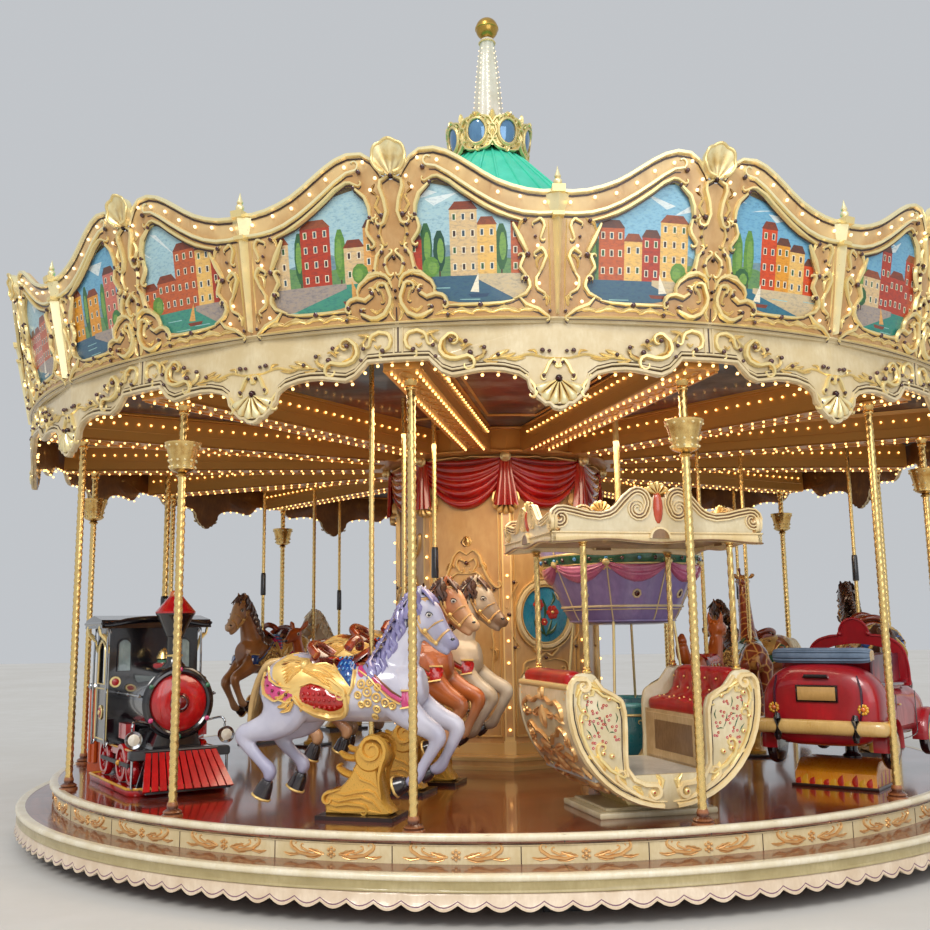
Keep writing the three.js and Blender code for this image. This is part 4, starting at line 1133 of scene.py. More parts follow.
# Jewels of half a bay: (distance from the pilaster, height above the foot, radius)
CROWN_JEWELS = [
    (0.203, 0.60, 0.016), (0.186, 0.39, 0.019), (0.20, 0.245, 0.017), (0.49, 0.088, 0.020),
    (0.716, 0.112, 0.016), (0.878, 0.19, 0.018), (0.80, 0.088, 0.016), (0.83, 0.945, 0.017),
    (0.79, 0.852, 0.014), (0.888, 0.66, 0.015), (0.94, 0.60, 0.014), (0.965, 0.665, 0.018),
    (0.955, 0.44, 0.015), (0.97, 0.36, 0.016), (0.90, 0.33, 0.014), (HALF_BAY, 0.905, 0.018),
    (HALF_BAY, 0.20, 0.013), (HALF_BAY, 0.155, 0.011), (HALF_BAY, 0.40, 0.014), (0.14, 0.50, 0.012),
    (0.05, 0.045, 0.013), (0.70, 0.035, 0.014), (0.94, 0.54, 0.012),
]
# Bulbs of half a bay
CROWN_BULBS = [
    (0.08, 0.71), (0.233, 0.745), (0.369, 0.775), (0.50, 0.845), (0.614, 0.925), (0.74, 0.985),
    (0.86, 1.005), (0.935, 0.90), (0.90, 0.83), (0.118, 0.215), (0.125, 0.445), (0.155, 0.105),
]


def bulb(radius):
    """A small round lamp that stands out along z."""
    made = Shape()
    made.ball((0, 0, radius * 0.9), radius, 6, 4)
    return made


def add_crown():
    """Boards, carving, lamps and finials of the crown."""
    board = half_bays(crown_board_template(), crown_radius, CROWN_REF, 0.0)
    piece("crown_face", board, [OCHRE, GOLD, DULL_WOOD], stands_for=["crown_boards"],
          sharp=50, keep=0.8)
    relief = half_bays(crown_relief_template(), crown_radius, CROWN_REF, 0.0)
    piece("crown_carving", relief, [GOLD, PALE_GOLD, JEWEL, DARK_LINE, OCHRE], sharp=60)
    lamps = Shape()
    for u, v in CROWN_BULBS:
        lamps.copy_in(bulb(0.0125), lambda p, u=u, v=v: p + (u, v + CROWN_FOOT, 0.0))
    piece("crown_bulbs", half_bays(lamps, crown_radius, CROWN_REF, 0.0), [DAY_BULB])
    finials = Shape()
    for bay in range(BAYS):
        angle = bay * BAY
        base = CROWN_FOOT + 0.80
        radius = crown_radius(base) + 0.02
        finials.lathe([(0, base - 0.02), (0.030, base - 0.02), (0.034, base), (0.022, base + 0.012),
                       (0.029, base + 0.03), (0.026, base + 0.045), (0.016, base + 0.055),
                       (0.022, base + 0.068), (0.010, base + 0.10), (0.002, base + 0.135),
                       (0, base + 0.137)], 12,
                      centre=(radius * math.sin(angle), -radius * math.cos(angle)))
    piece("crown_finials", finials, [PALE_GOLD])


# Painted pictures in the crown: made-up lake villages, each from its own draw

WALLS = ["d8922e", "c9481f", "a83a26", "dba05c", "c46f62", "e0b46a", "b65a34", "cfb38a"]
ROOFS = ["7a3a26", "5f3a30", "8a4a30"]
TREES = ["2f5f3a", "3f7a44", "1f4a3a", "5a8a3c"]
WATERS = ["2f6b86", "2a7f78", "3a5f7a", "3f8a7c"]
SKIES = ["7fb4cf", "9cc0cc", "6aa6c8"]
QUAYS = ["b8a894", "9a8f8a", "c2b294"]
PANES = ["2f4a5c", "3a2a2a", "2f5a3a"]
HULLS = ["7a3a2a", "2f4a6a", "e0d6c0"]
SAILS = ["e8e0cc", "d9a05a"]
CLOUD, FRAME, TRUNK, LEAVES, RIPPLE, GAP = "cfdde0", "e8ddc4", "4a3424", "6f9a4c", "8fc0c4", "9a8f8a"
HILLS = (("6f8f9c", 1.0), ("5f8a5a", 0.6))
PICTURE_GRID = 0.1


def picture_regions(draw):
    """Flat regions of one picture, from back to front, as (outline, colour)."""
    left, right, low, high = 0.15, 0.96, 0.07, 0.93
    shore = low + 0.16 + 0.05 * draw.random()
    hill_top = shore + 0.22
    regions = [(oblong(left, shore, right, high), draw.choice(SKIES))]
    for i in range(3):
        x = left + (right - left) * (i + draw.random()) / 3.2
        regions.append(([(x, 0.62 + 0.2 * draw.random()), (x + 0.16, 0.66 + 0.2 * draw.random()),
                         (x + 0.22, 0.72 + 0.1 * draw.random())], CLOUD))
    for tone, part in HILLS:
        ridge = [(x, shore + (hill_top - shore) * part * (0.6 + 0.5 * draw.random()))
                 for x in np.linspace(left, right, 7)]
        regions.append(([(left, shore), (right, shore)] + ridge[::-1], tone))
    x = left + 0.04 * draw.random()
    while x < right - 0.1:
        width = 0.11 + 0.10 * draw.random()
        height = 0.17 + 0.25 * draw.random()
        if draw.random() < 0.22:
            regions += tree(x + width / 2, shore, 0.04, 0.26 + 0.1 * draw.random(), draw)
            x += 0.09
            continue
        regions += house(x, shore, min(width, right - x), height, draw)
        x += width
    regions.append((oblong(left, low, right, shore + 0.004), draw.choice(WATERS)))
    quay = draw.choice(QUAYS)
    edge = left + (right - left) * (0.35 + 0.4 * draw.random())
    side = draw.choice([left, right])
    regions.append(([(side, low), (edge, shore - 0.02), (edge, shore + 0.012), (side, shore + 0.012)], quay))
    for _ in range(4):
        x = left + (right - left - 0.15) * draw.random()
        y = low + (shore - low) * draw.random() * 0.8
        regions.append(([(x, y), (x + 0.13, y + 0.003), (x + 0.13, y + 0.007), (x, y + 0.006)], RIPPLE))
    regions += boat(0.35 + 0.35 * draw.random(), low + 0.075, draw)
    regions += tree(draw.choice([0.27, 0.80]), shore - 0.03, 0.055, 0.13, draw)
    return regions


def house(x, y, width, height, draw):
    """Regions of a house: its wall, hipped roof and rows of windows."""
    wall = (oblong(x, y, x + width, y + height), draw.choice(WALLS))
    eaves = y + height
    roof = ([(x - 0.006, eaves), (x + width + 0.006, eaves), (x + width * 0.8, eaves + 0.05),
             (x + width * 0.2, eaves + 0.05)], draw.choice(ROOFS))
    made = [wall, roof]
    columns = max(1, int(width / 0.055))
    floors = max(1, int(height / 0.085))
    for i in range(columns):
        for j in range(floors):
            cx = x + width * (i + 0.5) / columns
            cy = y + height * (j + 0.55) / floors
            made.append((oblong(cx - 0.013, cy - 0.02, cx + 0.013, cy + 0.024), FRAME))
            made.append((oblong(cx - 0.008, cy - 0.016, cx + 0.008, cy + 0.019), draw.choice(PANES)))
    return made


def tree(x, y, width, height, draw):
    """Regions of a tree: its trunk, its crown and the light on it."""
    colour = draw.choice(TREES)
    crown = [(x + width * math.cos(a), y + 0.03 + height / 2 + height / 2 * math.sin(a))
             for a in [math.tau * i / 10 for i in range(10)]]
    trunk = [(x - 0.005, y), (x + 0.005, y), (x + 0.005, y + 0.05), (x - 0.005, y + 0.05)]
    light = [(px * 0.55 + x * 0.45 - width * 0.2, py * 0.6 + (y + height * 0.62) * 0.4) for px, py in crown]
    return [(trunk, TRUNK), (crown, colour), (light, LEAVES)]


def boat(x, y, draw):
    """Regions of a boat: its hull and sail."""
    hull = [(x, y), (x + 0.10, y), (x + 0.12, y + 0.022), (x - 0.015, y + 0.022)]
    sail = [(x + 0.05, y + 0.03), (x + 0.105, y + 0.035), (x + 0.052, y + 0.15)]
    return [(hull, draw.choice(HULLS)), (sail, draw.choice(SAILS))]


def flat_picture(regions):
    """The regions as one flat layer: each triangle takes the colour of the front-most region."""
    points, faces = [], []
    for outline, _ in regions:
        start = len(points)
        points += [Vector(p) for p in anticlockwise(outline)]
        faces.append(list(range(start, len(points))))
    for x in np.arange(0.2, 0.95, PICTURE_GRID):
        for y in np.arange(0.12, 0.9, 2 * PICTURE_GRID):
            points.append(Vector((x, y)))
    found = delaunay_2d_cdt(points, [], faces, 1, 1e-5)
    flat = np.array([tuple(p) for p in found[0]])
    tris = [tuple(face) for face in found[2]]
    colours = [linear(regions[max(owners)][1]) if owners else linear(GAP) for owners in found[5]]
    return flat, tris, colours


def add_pictures():
    """A painted picture behind each opening of the crown."""
    whole = Shape()
    colours = []
    draw = random.Random(7)
    for bay in range(BAYS):
        for side in (1, -1):
            flat, tris, tints = flat_picture(picture_regions(draw))
            one = Shape()
            keep = np.column_stack([flat[:, 0],
                                    np.minimum(flat[:, 1], board_head(flat[:, 0]) - 0.05) + CROWN_FOOT,
                                    np.full(len(flat), -0.016)])
            one.add(keep, tris=tris)
            whole.copy_in(one, bent(crown_radius, CROWN_REF, bay * BAY, side), flip=side < 0)
            colours += tints
    mesh = whole.mesh("crown_pictures")
    tint = mesh.color_attributes.new("tint", "FLOAT_COLOR", "CORNER")
    if len(mesh.polygons) == len(colours):
        tint.data.foreach_set("color", np.repeat(np.array(colours), 3, axis=0).ravel())
    else:
        print("pictures lost faces", len(mesh.polygons), len(colours))
    piece("crown_pictures", mesh, [PICTURE])


# Valance

HALF_VALANCE = VALANCE_R * BAY / 2
# Lower edge as (distance from the pendant's middle, height)
VALANCE_EDGE = smooth_path([
    (0.0, 3.046), (0.035, 3.056), (0.055, 3.080), (0.085, 3.080), (0.105, 3.106), (0.135, 3.120),
    (0.150, 3.152), (0.175, 3.176), (0.180, 3.215), (0.205, 3.248), (0.26, 3.278), (0.34, 3.296),
    (0.45, 3.302), (0.56, 3.290), (0.646, 3.272), (0.709, 3.288), (0.764, 3.335), (0.80, 3.376),
    (0.83, 3.386), (HALF_VALANCE, 3.387)], 4)
# Scrolls of half a bay: (points, volute at the start, volute at the end, half width, depth)
VALANCE_SCROLLS = [
    ([(0.90, 3.452), (0.94, 3.47), (0.958, 3.52), (0.94, 3.565), (0.88, 3.582), (0.83, 3.555),
      (0.82, 3.51)],
     (0.026, 190), (0.026, -210), 0.013, 0.018),
    ([(0.70, 3.535), (0.732, 3.495), (0.735, 3.44), (0.70, 3.40), (0.64, 3.388), (0.592, 3.402)],
     (0.048, 290), (0.056, 330), 0.014, 0.022),
    ([(0.71, 3.505), (0.712, 3.46), (0.69, 3.425), (0.65, 3.412)], (0.030, 260), (0.024, 220), 0.008,
     0.014),
    ([(0.66, 3.50), (0.625, 3.518), (0.595, 3.50)], None, (0.020, 230), 0.009, 0.014),
    ([(0.80, 3.56), (0.775, 3.52), (0.75, 3.50)], None, None, 0.010, 0.014),
    ([(0.55, 3.372), (0.50, 3.378), (0.465, 3.41), (0.46, 3.445)], None, (0.020, -200), 0.009, 0.014),
    ([(0.46, 3.378), (0.36, 3.386), (0.25, 3.384), (0.18, 3.408), (0.10, 3.384), (0.0, 3.382)], None, None,
     0.008, 0.012),
    ([(0.012, 3.335), (0.028, 3.372), (0.058, 3.345), (0.075, 3.30), (0.10, 3.275)], (0.020, -220),
     (0.022, -220), 0.011, 0.020),
    ([(0.205, 3.275), (0.172, 3.24), (0.155, 3.205), (0.142, 3.17)], None, (0.030, 230), 0.011, 0.020),
]
VALANCE_LEAVES = [
    ([(0.56, 3.372), (0.50, 3.388), (0.44, 3.432)], 0.017),
    ([(0.43, 3.378), (0.37, 3.412), (0.30, 3.438)], 0.019),
    ([(0.40, 3.386), (0.33, 3.396), (0.26, 3.416)], 0.016),
    ([(0.33, 3.382), (0.27, 3.372), (0.20, 3.384)], 0.013),
    ([(0.47, 3.372), (0.42, 3.358), (0.37, 3.362)], 0.013),
    ([(0.86, 3.53), (0.80, 3.565), (0.735, 3.575)], 0.016),
    ([(0.85, 3.50), (0.87, 3.48), (0.895, 3.50)], 0.012),
    ([(0.60, 3.44), (0.56, 3.475), (0.53, 3.47)], 0.012),
    ([(0.13, 3.40), (0.145, 3.43), (0.19, 3.43)], 0.011),
]
VALANCE_JEWELS = [
    (0.906, 3.457, 0.017), (0.78, 3.478, 0.015), (0.765, 3.405, 0.013), (0.669, 3.505, 0.017),
    (0.575, 3.496, 0.016), (0.547, 3.420, 0.020), (0.46, 3.452, 0.016), (0.374, 3.404, 0.015),
    (0.098, 3.428, 0.017), (0.055, 3.424, 0.013), (0.024, 3.350, 0.013), (0.094, 3.268, 0.014),
    (0.134, 3.180, 0.017),
]
VALANCE_BULBS = [0.27, 0.375, 0.475, 0.58, 0.69, 0.775, 0.86, 0.955]


def valance_template():
    """One half bay of valance: its face, back and lower roll."""
    t = Shape()
    edge = VALANCE_EDGE
    for depth, slot in ((0.0, 0), (-0.03, 2)):
        rows = [np.column_stack([edge[:, 0], edge[:, 1] + (VALANCE_TOP - edge[:, 1]) * part,
                                 np.full(len(edge), depth)]) for part in (0.0, 0.5, 1.0)]
        t.grid(rows, slot)
    t.grid([at_level(edge, depth) for depth in (-0.03, 0.0)], 0)
    t.ridge(edge + (0, 0.014), 0.015, 0.020, 0, ends=(1, 1))
    # Thin dark lines in the grooves beside the edge mouldings: painted shade.
    t.ridge(edge + (0, 0.034), 0.005, 0.006, 3, ends=(1, 1), section=3)
    t.ridge(edge + (0, 0.046), 0.009, 0.013, 0, ends=(1, 1))
    t.ridge(edge + (0, 0.058), 0.004, 0.005, 3, ends=(1, 1), section=3)
    t.ridge([(HALF_VALANCE - 0.028, 3.43), (HALF_VALANCE - 0.028, VALANCE_TOP - 0.02)], 0.007, 0.010, 0,
            ends=(1, 1))
    t.box((HALF_VALANCE - 0.005, 3.39, 0.001), (HALF_VALANCE + 0.001, VALANCE_TOP - 0.004, 0.004), 3)
    return t


def valance_relief():
    """The carving of one half bay of valance, with the shell of its pendant."""
    t = Shape()
    for points, first, last, width, depth in VALANCE_SCROLLS:
        section = 5 if width > 0.010 else 3
        t.ridge(scroll_path(points, first, last), width * 1.2, depth * 1.2, 0, section=section)
    for points, width in VALANCE_LEAVES:
        t.leaf(points, width, 0.015, 0, lobes=3)
    for u, v, r in VALANCE_JEWELS:
        t.ball((u, v, 0.012), r, 8, 5, 2)
    t.shell((0, 3.245), 0.150, 3, -90, -14, 0.034, 1)
    t.ball((0, 3.25, 0.012), 0.024, 8, 5, 2)
    return t


def add_valance():
    """Valance, its carving and lamps, and the moulding between it and the crown."""
    def straight(height):
        return VALANCE_R + 0 * height
    face = half_bays(valance_template().thin(0.45), straight, VALANCE_R, 0.0)
    piece("valance_face", face, [VALANCE_CREAM, GOLD, VALANCE_INSIDE, DARK_LINE],
          stands_for=["valance"], sharp=50)
    relief = half_bays(valance_relief(), straight, VALANCE_R, 0.0)
    piece("valance_carving", relief, [GOLD, PALE_GOLD, JEWEL], sharp=60)
    lamps = Shape()
    for u in VALANCE_BULBS:
        height = np.interp(u, VALANCE_EDGE[:, 0], VALANCE_EDGE[:, 1]) - 0.012
        lamps.ball((u, height, -0.045), 0.0115, 6, 4)
    piece("valance_bulbs", half_bays(lamps, straight, VALANCE_R, 0.0), [LIT_BULB])
    cove = Shape()
    low, high = VALANCE_TOP + 0.0005, CROWN_FOOT
    cove.lathe([(VALANCE_R - 0.02, low - 0.02), (VALANCE_R + 0.004, low - 0.018),
                (VALANCE_R + 0.010, low - 0.006), (CROWN_FOOT_R - 0.004, high - 0.002),
                (CROWN_FOOT_R + 0.012, high + 0.004), (CROWN_FOOT_R + 0.004, high + 0.016),
                (CROWN_FOOT_R - 0.03, high + 0.016)], 24 * BAYS, closed=True)
    piece("crown_foot_moulding", cove, [VALANCE_CREAM])


VALANCE_CREAM = enamel("valance_cream", "dccba4", "cbb587", rough=0.35, hollow_shade="8a6434")
VALANCE_INSIDE = enamel("valance_inside", "8a5a26", "6b4018", rough=0.4)


# Beams, ceiling and their lamps

HUB_R = 1.18
BEAM_END_R = 4.38
BEAM_HALF = 0.12
BEAM_START_R = 1.32
BEAM_LAMPS = 29
BEAM_RINGS = 12
PANEL_IN_R, PANEL_OUT_R = 1.75, 4.25
PANEL_IN_HALF = 0.22


def spoke(angle):
    """Turns a template whose x runs outwards from the axis to an azimuth; y runs along the ring."""
    c, s = math.cos(angle), math.sin(angle)

    def move(points):
        x, y, z = points.T
        return np.column_stack([x * s + y * c, -x * c + y * s, z])
    return move


def add_beams():
    """Mouldings and lamps of the radial beams, and the frames of the ceiling panels."""
    repaint("beam_wheel", BEAM_GOLD)
    repaint("ceiling", SKY)
    trim, lamps = Shape(), Shape()
    one, dots = Shape(), Shape()
    under = BEAM_BOTTOM
    start, stop = BEAM_START_R, BEAM_END_R - 0.03
    for side in (-1, 1):
        one.tube([(start, side * BEAM_HALF, under), (stop, side * BEAM_HALF, under)], 0.013, 6)
        one.tube([(start, side * BEAM_HALF, BEAM_TOP - 0.012), (stop, side * BEAM_HALF, BEAM_TOP - 0.012)],
                 0.012, 6)
        one.tube([(start, side * BEAM_HALF, under + 0.09), (stop, side * BEAM_HALF, under + 0.09)], 0.006, 5)
    for i in range(BEAM_LAMPS):
        x = start + (stop - start) * (i + 0.5) / BEAM_LAMPS
        for side in (-1, 1):
            dots.ball((x, side * 0.084, under - 0.009), 0.0108, 5, 3)
            dots.ball((x, side * (BEAM_HALF + 0.008), under + 0.155), 0.0108, 5, 3)
    for i in range(BEAM_RINGS):
        x = start + (stop - start) * (i + 0.5) / BEAM_RINGS
        one.tube([(x + 0.10 * math.cos(a), 0.042 * math.sin(a), under - 0.002)
                  for a in round_angles(14)], 0.005, 5, closed=True)
        one.ball((x, 0, under), 0.016, 7, 4, stretch=(1.4, 1, 0.6))
    for i in range(BAYS):
        trim.copy_in(one, spoke((i + 0.5) * BAY))
        lamps.copy_in(dots, spoke((i + 0.5) * BAY))
    panel = Shape()
    level = BEAM_TOP - 0.008
    for radius, half in ((PANEL_IN_R, PANEL_IN_HALF), (PANEL_OUT_R, 0.75)):
        arc = [(radius * math.cos(a / radius), radius * math.sin(a / radius), level)
               for a in np.linspace(-half, half, 9)]
        panel.tube(arc, 0.014, 6)
    for side in (-1, 1):
        panel.tube([(PANEL_IN_R, side * PANEL_IN_HALF, level), (PANEL_OUT_R, side * 0.77, level)], 0.014, 6)
    for i in range(BAYS):
        trim.copy_in(panel, spoke(i * BAY))
    for radius, height in ((HUB_R + 0.02, under + 0.012), (HUB_R + 0.02, BEAM_TOP - 0.012)):
        trim.lathe([(radius - 0.03, height - 0.014), (radius, height - 0.012), (radius + 0.008, height),
                    (radius, height + 0.012), (radius - 0.03, height + 0.012)], 56, closed=True)
    piece("beam_mouldings", trim, [BEAM_GOLD], keep=0.4)
    piece("beam_bulbs", lamps, [LIT_BULB])


# Centre column

FACES = 8
FACE_HALF = COLUMN_FACE * math.tan(math.pi / FACES)
SWAG_TOP = 3.325
SWAG_LOW = 2.85
COLUMN_FOOT = DECK_TOP + 0.11
PLINTH_R = 1.30


def on_face(number, stand=0.0):
    """Sets a flat template on a face of the column: x across, y up, z out."""
    angle = number * math.tau / FACES

    def move(points):
        u, v, w = points.T
        radius = COLUMN_FACE + stand + w
        return np.column_stack([radius * math.sin(angle) + u * math.cos(angle),
                                -radius * math.cos(angle) + u * math.sin(angle), v])
    return move


def mirrored(shape):
    """A template with its own mirror image in x."""
    both = Shape()
    both.copy_in(shape, lambda p: p)
    both.copy_in(shape, lambda p: p * (-1, 1, 1), flip=True)
    return both


def swag():
    """A moulded red swag across one face, in draped folds."""
    front, back = [], []
    across = np.linspace(-1, 1, 33)
    for t in np.linspace(0, 1, 43):
        sag = 1 - across ** 2
        top = SWAG_TOP + 0.02 * across ** 2
        low = SWAG_LOW + 0.37 * np.abs(across) ** 2.2
        height = top + (low - top) * t
        fold = np.abs(np.sin(math.pi * 6 * t ** 0.85)) ** 0.7
        stand = 0.045 + 0.05 * np.sin(math.pi * min(1, t * 1.15)) * sag + 0.028 * fold * (0.3 + 0.7 * sag)
        stand = stand * (1 if t < 0.97 else 0.75)
        front.append(np.column_stack([across * (FACE_HALF + 0.035), height, stand]))
        back.append(np.column_stack([across * (FACE_HALF + 0.035), height, np.full(len(across), 0.002)]))
    made = Shape()
    made.grid(front + back[::-1], 0, closed_rows=True)
    return made


def swag_tail():
    """The pleated tail that hangs at a corner, ending in a gilt shell."""
    made = Shape()
    columns = np.linspace(-1, 1, 29)
    pleat = np.abs(np.sin(math.pi * 3.5 * (columns + 1) / 2))
    front, back = [], []
    for t in np.linspace(0, 1, 12):
        height = SWAG_TOP - 0.02 - t * 0.44
        half = 0.062 + 0.055 * t ** 1.4
        stand = 0.06 + 0.035 * (1 - columns ** 2) + 0.028 * pleat * (0.4 + 0.6 * t)
        front.append(np.column_stack([columns * half, np.full(len(columns), height), stand]))
        back.append(np.column_stack([columns * half, np.full(len(columns), height), np.zeros(len(columns))]))
    made.grid(front + back[::-1], 0, closed_rows=True)
    made.shell((0, 2.93), 0.135, 5, 200, 340, 0.075, 1, inner=0.3, base=0.01)
    for side in (-1, 1):
        made.ridge(curl(smooth_path([(side * 0.075, 3.02), (side * 0.112, 2.985), (side * 0.125, 2.93)], 4),
                        0.03, -side * 160), 0.014, 0.05, 1, base=0.02)
    made.ball((0, SWAG_TOP + 0.005, 0.13), 0.042, 14, 9, 2)
    made.ball((0, SWAG_TOP + 0.005, 0.10), 0.056, 14, 5, 2, stretch=(1, 1, 0.4))
    return made


def carved_frame():
    """The carved cartouche on a plain face."""
    t = Shape()
    for points, first, last, width, depth in [
        ([(0.0, 2.42), (0.06, 2.46), (0.12, 2.42), (0.15, 2.34), (0.21, 2.20), (0.27, 2.12)], None,
         (0.045, 300), 0.014, 0.03),
        ([(0.02, 2.36), (0.08, 2.38), (0.10, 2.32), (0.07, 2.27)], (0.03, 200), (0.028, -240), 0.012,
         0.024),
        ([(0.0, 2.24), (0.09, 2.25), (0.16, 2.20), (0.19, 2.10), (0.17, 1.98), (0.21, 1.86)], None,
         (0.035, 240), 0.014, 0.028),
        ([(0.05, 2.14), (0.12, 2.12), (0.13, 2.04), (0.09, 1.98)], (0.025, 200), (0.028, -240), 0.011,
         0.022),
        ([(0.21, 1.84), (0.26, 1.60), (0.24, 1.35), (0.27, 1.15)], None, (0.035, -240), 0.012, 0.024),
        ([(0.26, 1.13), (0.22, 0.98), (0.12, 0.90), (0.0, 0.88)], (0.03, 200), None, 0.013, 0.026),
        ([(0.05, 0.98), (0.13, 1.02), (0.15, 1.12)], (0.03, 230), (0.03, 230), 0.011, 0.022),
    ]:
        t.ridge(scroll_path(points, first, last), width, depth, 0)
    for points, width in [([(0.0, 2.50), (0.03, 2.54), (0.0, 2.60)], 0.03),
                          ([(0.12, 2.30), (0.17, 2.33), (0.20, 2.27)], 0.022),
                          ([(0.19, 1.95), (0.25, 1.98), (0.27, 1.91)], 0.022),
                          ([(0.22, 1.55), (0.29, 1.52), (0.27, 1.42)], 0.02),
                          ([(0.03, 2.05), (0.06, 2.12), (0.02, 2.2)], 0.022),
                          ([(0.0, 0.92), (0.03, 1.02), (0.0, 1.12)], 0.028),
                          ([(0.08, 0.86), (0.16, 0.84), (0.22, 0.88)], 0.02)]:
        t.leaf(points, width, 0.026, 0, lobes=3)
    for u, v, r in ((0.27, 2.09, 0.018), (0.0, 2.34, 0.022), (0.22, 1.83, 0.016), (0.26, 1.14, 0.016),
                    (0.0, 0.98, 0.02)):
        t.ball((u, v, 0.014), r, 9, 6, 1)
    return mirrored(t)


def medallion():
    """An oval picture of red flowers on blue in a gilt frame, with scrolls above and below."""
    t = Shape()
    middle, wide, tall = 1.85, 0.245, 0.255
    ring = round_angles(48)
    rows = []
    for part in (1.0, 0.6, 0.25):
        rows.append(np.column_stack([wide * part * np.cos(ring), middle + tall * part * np.sin(ring),
                                     np.full(len(ring), 0.006 + 0.012 * (1 - part ** 2))]))
    t.grid(rows, 2, closed_ring=True, caps=True)
    for grow, width, depth, slot in ((1.03, 0.008, 0.03, 0), (1.16, 0.026, 0.040, 6),
                                     (1.31, 0.009, 0.026, 0)):
        path = np.column_stack([wide * grow * np.cos(ring), middle + tall * grow * np.sin(ring),
                                np.full(len(ring), 0.012)])
        t.tube(path, width, 6, slot, closed=True, up=(0, 0, 1), flat=depth / width / 1.6)
    for x, y, size in ((-0.075, 1.94, 0.060), (0.075, 1.87, 0.070), (-0.015, 1.78, 0.038)):
        for i in range(6):
            a = math.tau * i / 6 + x
            t.ball((x + size * 0.55 * math.cos(a), y + size * 0.55 * math.sin(a), 0.020), size * 0.45, 7, 5,
                   3, stretch=(1, 1, 0.25))
        t.ball((x, y, 0.026), size * 0.25, 6, 4, 0, stretch=(1, 1, 0.5))
    for spine in ([(0.07, 1.81), (0.04, 1.72), (0.0, 1.64)], [(-0.07, 1.89), (-0.04, 1.76), (0.0, 1.64)],
                  [(0.0, 1.66), (-0.09, 1.72), (-0.13, 1.81)], [(0.0, 1.66), (0.08, 1.70), (0.13, 1.78)],
                  [(0.06, 1.93), (0.10, 2.00), (0.08, 2.06)], [(-0.01, 1.81), (0.0, 1.91), (-0.03, 2.01)]):
        t.leaf(spine, 0.015, 0.010, 5, lobes=1, base=0.016)
    half = Shape()
    for points, first, last, width, depth in [
        ([(0.0, 2.20), (0.05, 2.25), (0.10, 2.21), (0.12, 2.14)], None, (0.03, -240), 0.014, 0.028),
        ([(0.0, 2.36), (0.05, 2.42), (0.12, 2.44), (0.20, 2.52), (0.22, 2.62)], (0.03, -200), (0.03, 250),
         0.013, 0.026),
        ([(0.285, 2.13), (0.360, 2.03), (0.380, 1.92)], (0.02, -220), (0.02, 220), 0.010, 0.02),
        ([(0.380, 1.78), (0.360, 1.67), (0.285, 1.57)], (0.02, -220), (0.02, 220), 0.010, 0.02),
        ([(0.0, 1.50), (0.06, 1.47), (0.12, 1.52)], None, (0.03, 240), 0.014, 0.028),
        ([(0.0, 1.42), (0.10, 1.44), (0.20, 1.42), (0.25, 1.34), (0.25, 1.05), (0.20, 0.97), (0.10, 0.95),
          (0.0, 0.97)],
         None, None, 0.010, 0.018),
        ([(0.20, 1.32), (0.13, 1.25), (0.18, 1.12), (0.10, 1.05)], (0.03, 240), (0.03, -240), 0.012, 0.024),
    ]:
        half.ridge(scroll_path(points, first, last), width, depth, 0)
    for u, v, r in ((0.385, 1.85, 0.022), (0.330, 2.15, 0.018), (0.330, 1.55, 0.018), (0.0, 2.30, 0.022),
                    (0.0, 1.45, 0.018), (0.0, 1.2, 0.03)):
        half.ball((u, v, 0.012), r, 9, 6, 1)
    for points, width in [([(0.0, 2.24), (0.03, 2.30), (0.0, 2.36)], 0.025),
                          ([(0.14, 2.50), (0.10, 2.55), (0.12, 2.62)], 0.02),
                          ([(0.0, 2.50), (0.03, 2.6), (0.0, 2.7)], 0.03),
                          ([(0.0, 1.36), (0.02, 1.30), (0.0, 1.24)], 0.018)]:
        half.leaf(points, width, 0.026, 0, lobes=3)
    t.copy_in(mirrored(half), lambda p: p)
    return t


def column_post():
    """A corner post with its sunk panel and foot."""
    post = Shape()
    post.box((-0.045, COLUMN_FOOT + 0.001, -0.005), (0.045, SWAG_TOP, 0.022), 0)
    post.box((-0.030, COLUMN_FOOT + 0.16, 0.0), (0.030, SWAG_TOP - 0.3, 0.028), 1)
    post.box((-0.055, COLUMN_FOOT + 0.001, 0.0), (0.055, COLUMN_FOOT + 0.12, 0.032), 0)
    return post


def column_lamps():
    """The row of lamps up a corner post."""
    dots = Shape()
    for height in np.arange(COLUMN_FOOT + 0.22, SWAG_TOP - 0.45, 0.20):
        dots.ball((0, height, 0.038), 0.013, 8, 5)
    return dots


def column_panel():
    """The moulding round a face's panel and the board at its foot."""
    panel = Shape()
    edge = FACE_HALF - 0.075
    low, high = COLUMN_FOOT + 0.16, SWAG_LOW + 0.10
    for a, b in (((-edge, low), (-edge, high)), ((edge, low), (edge, high)), ((-edge, low), (edge, low))):
        panel.ridge([a, b], 0.009, 0.014, 0, ends=(1, 1))
    panel.box((-FACE_HALF + 0.03, COLUMN_FOOT + 0.001, 0.0), (FACE_HALF - 0.03, COLUMN_FOOT + 0.10, 0.018),
              0)
    return panel


def column_wave():
    """The wavy gilt head over a swag."""
    wave = Shape()
    for side in (-1, 1):
        path = scroll_path([(side * 0.36, SWAG_TOP), (side * 0.22, SWAG_TOP + 0.004),
                            (side * 0.08, SWAG_TOP + 0.022), (0.0, SWAG_TOP + 0.012)], (0.02, side * 220))
        wave.ridge(path, 0.010, 0.11, 0)
    return wave


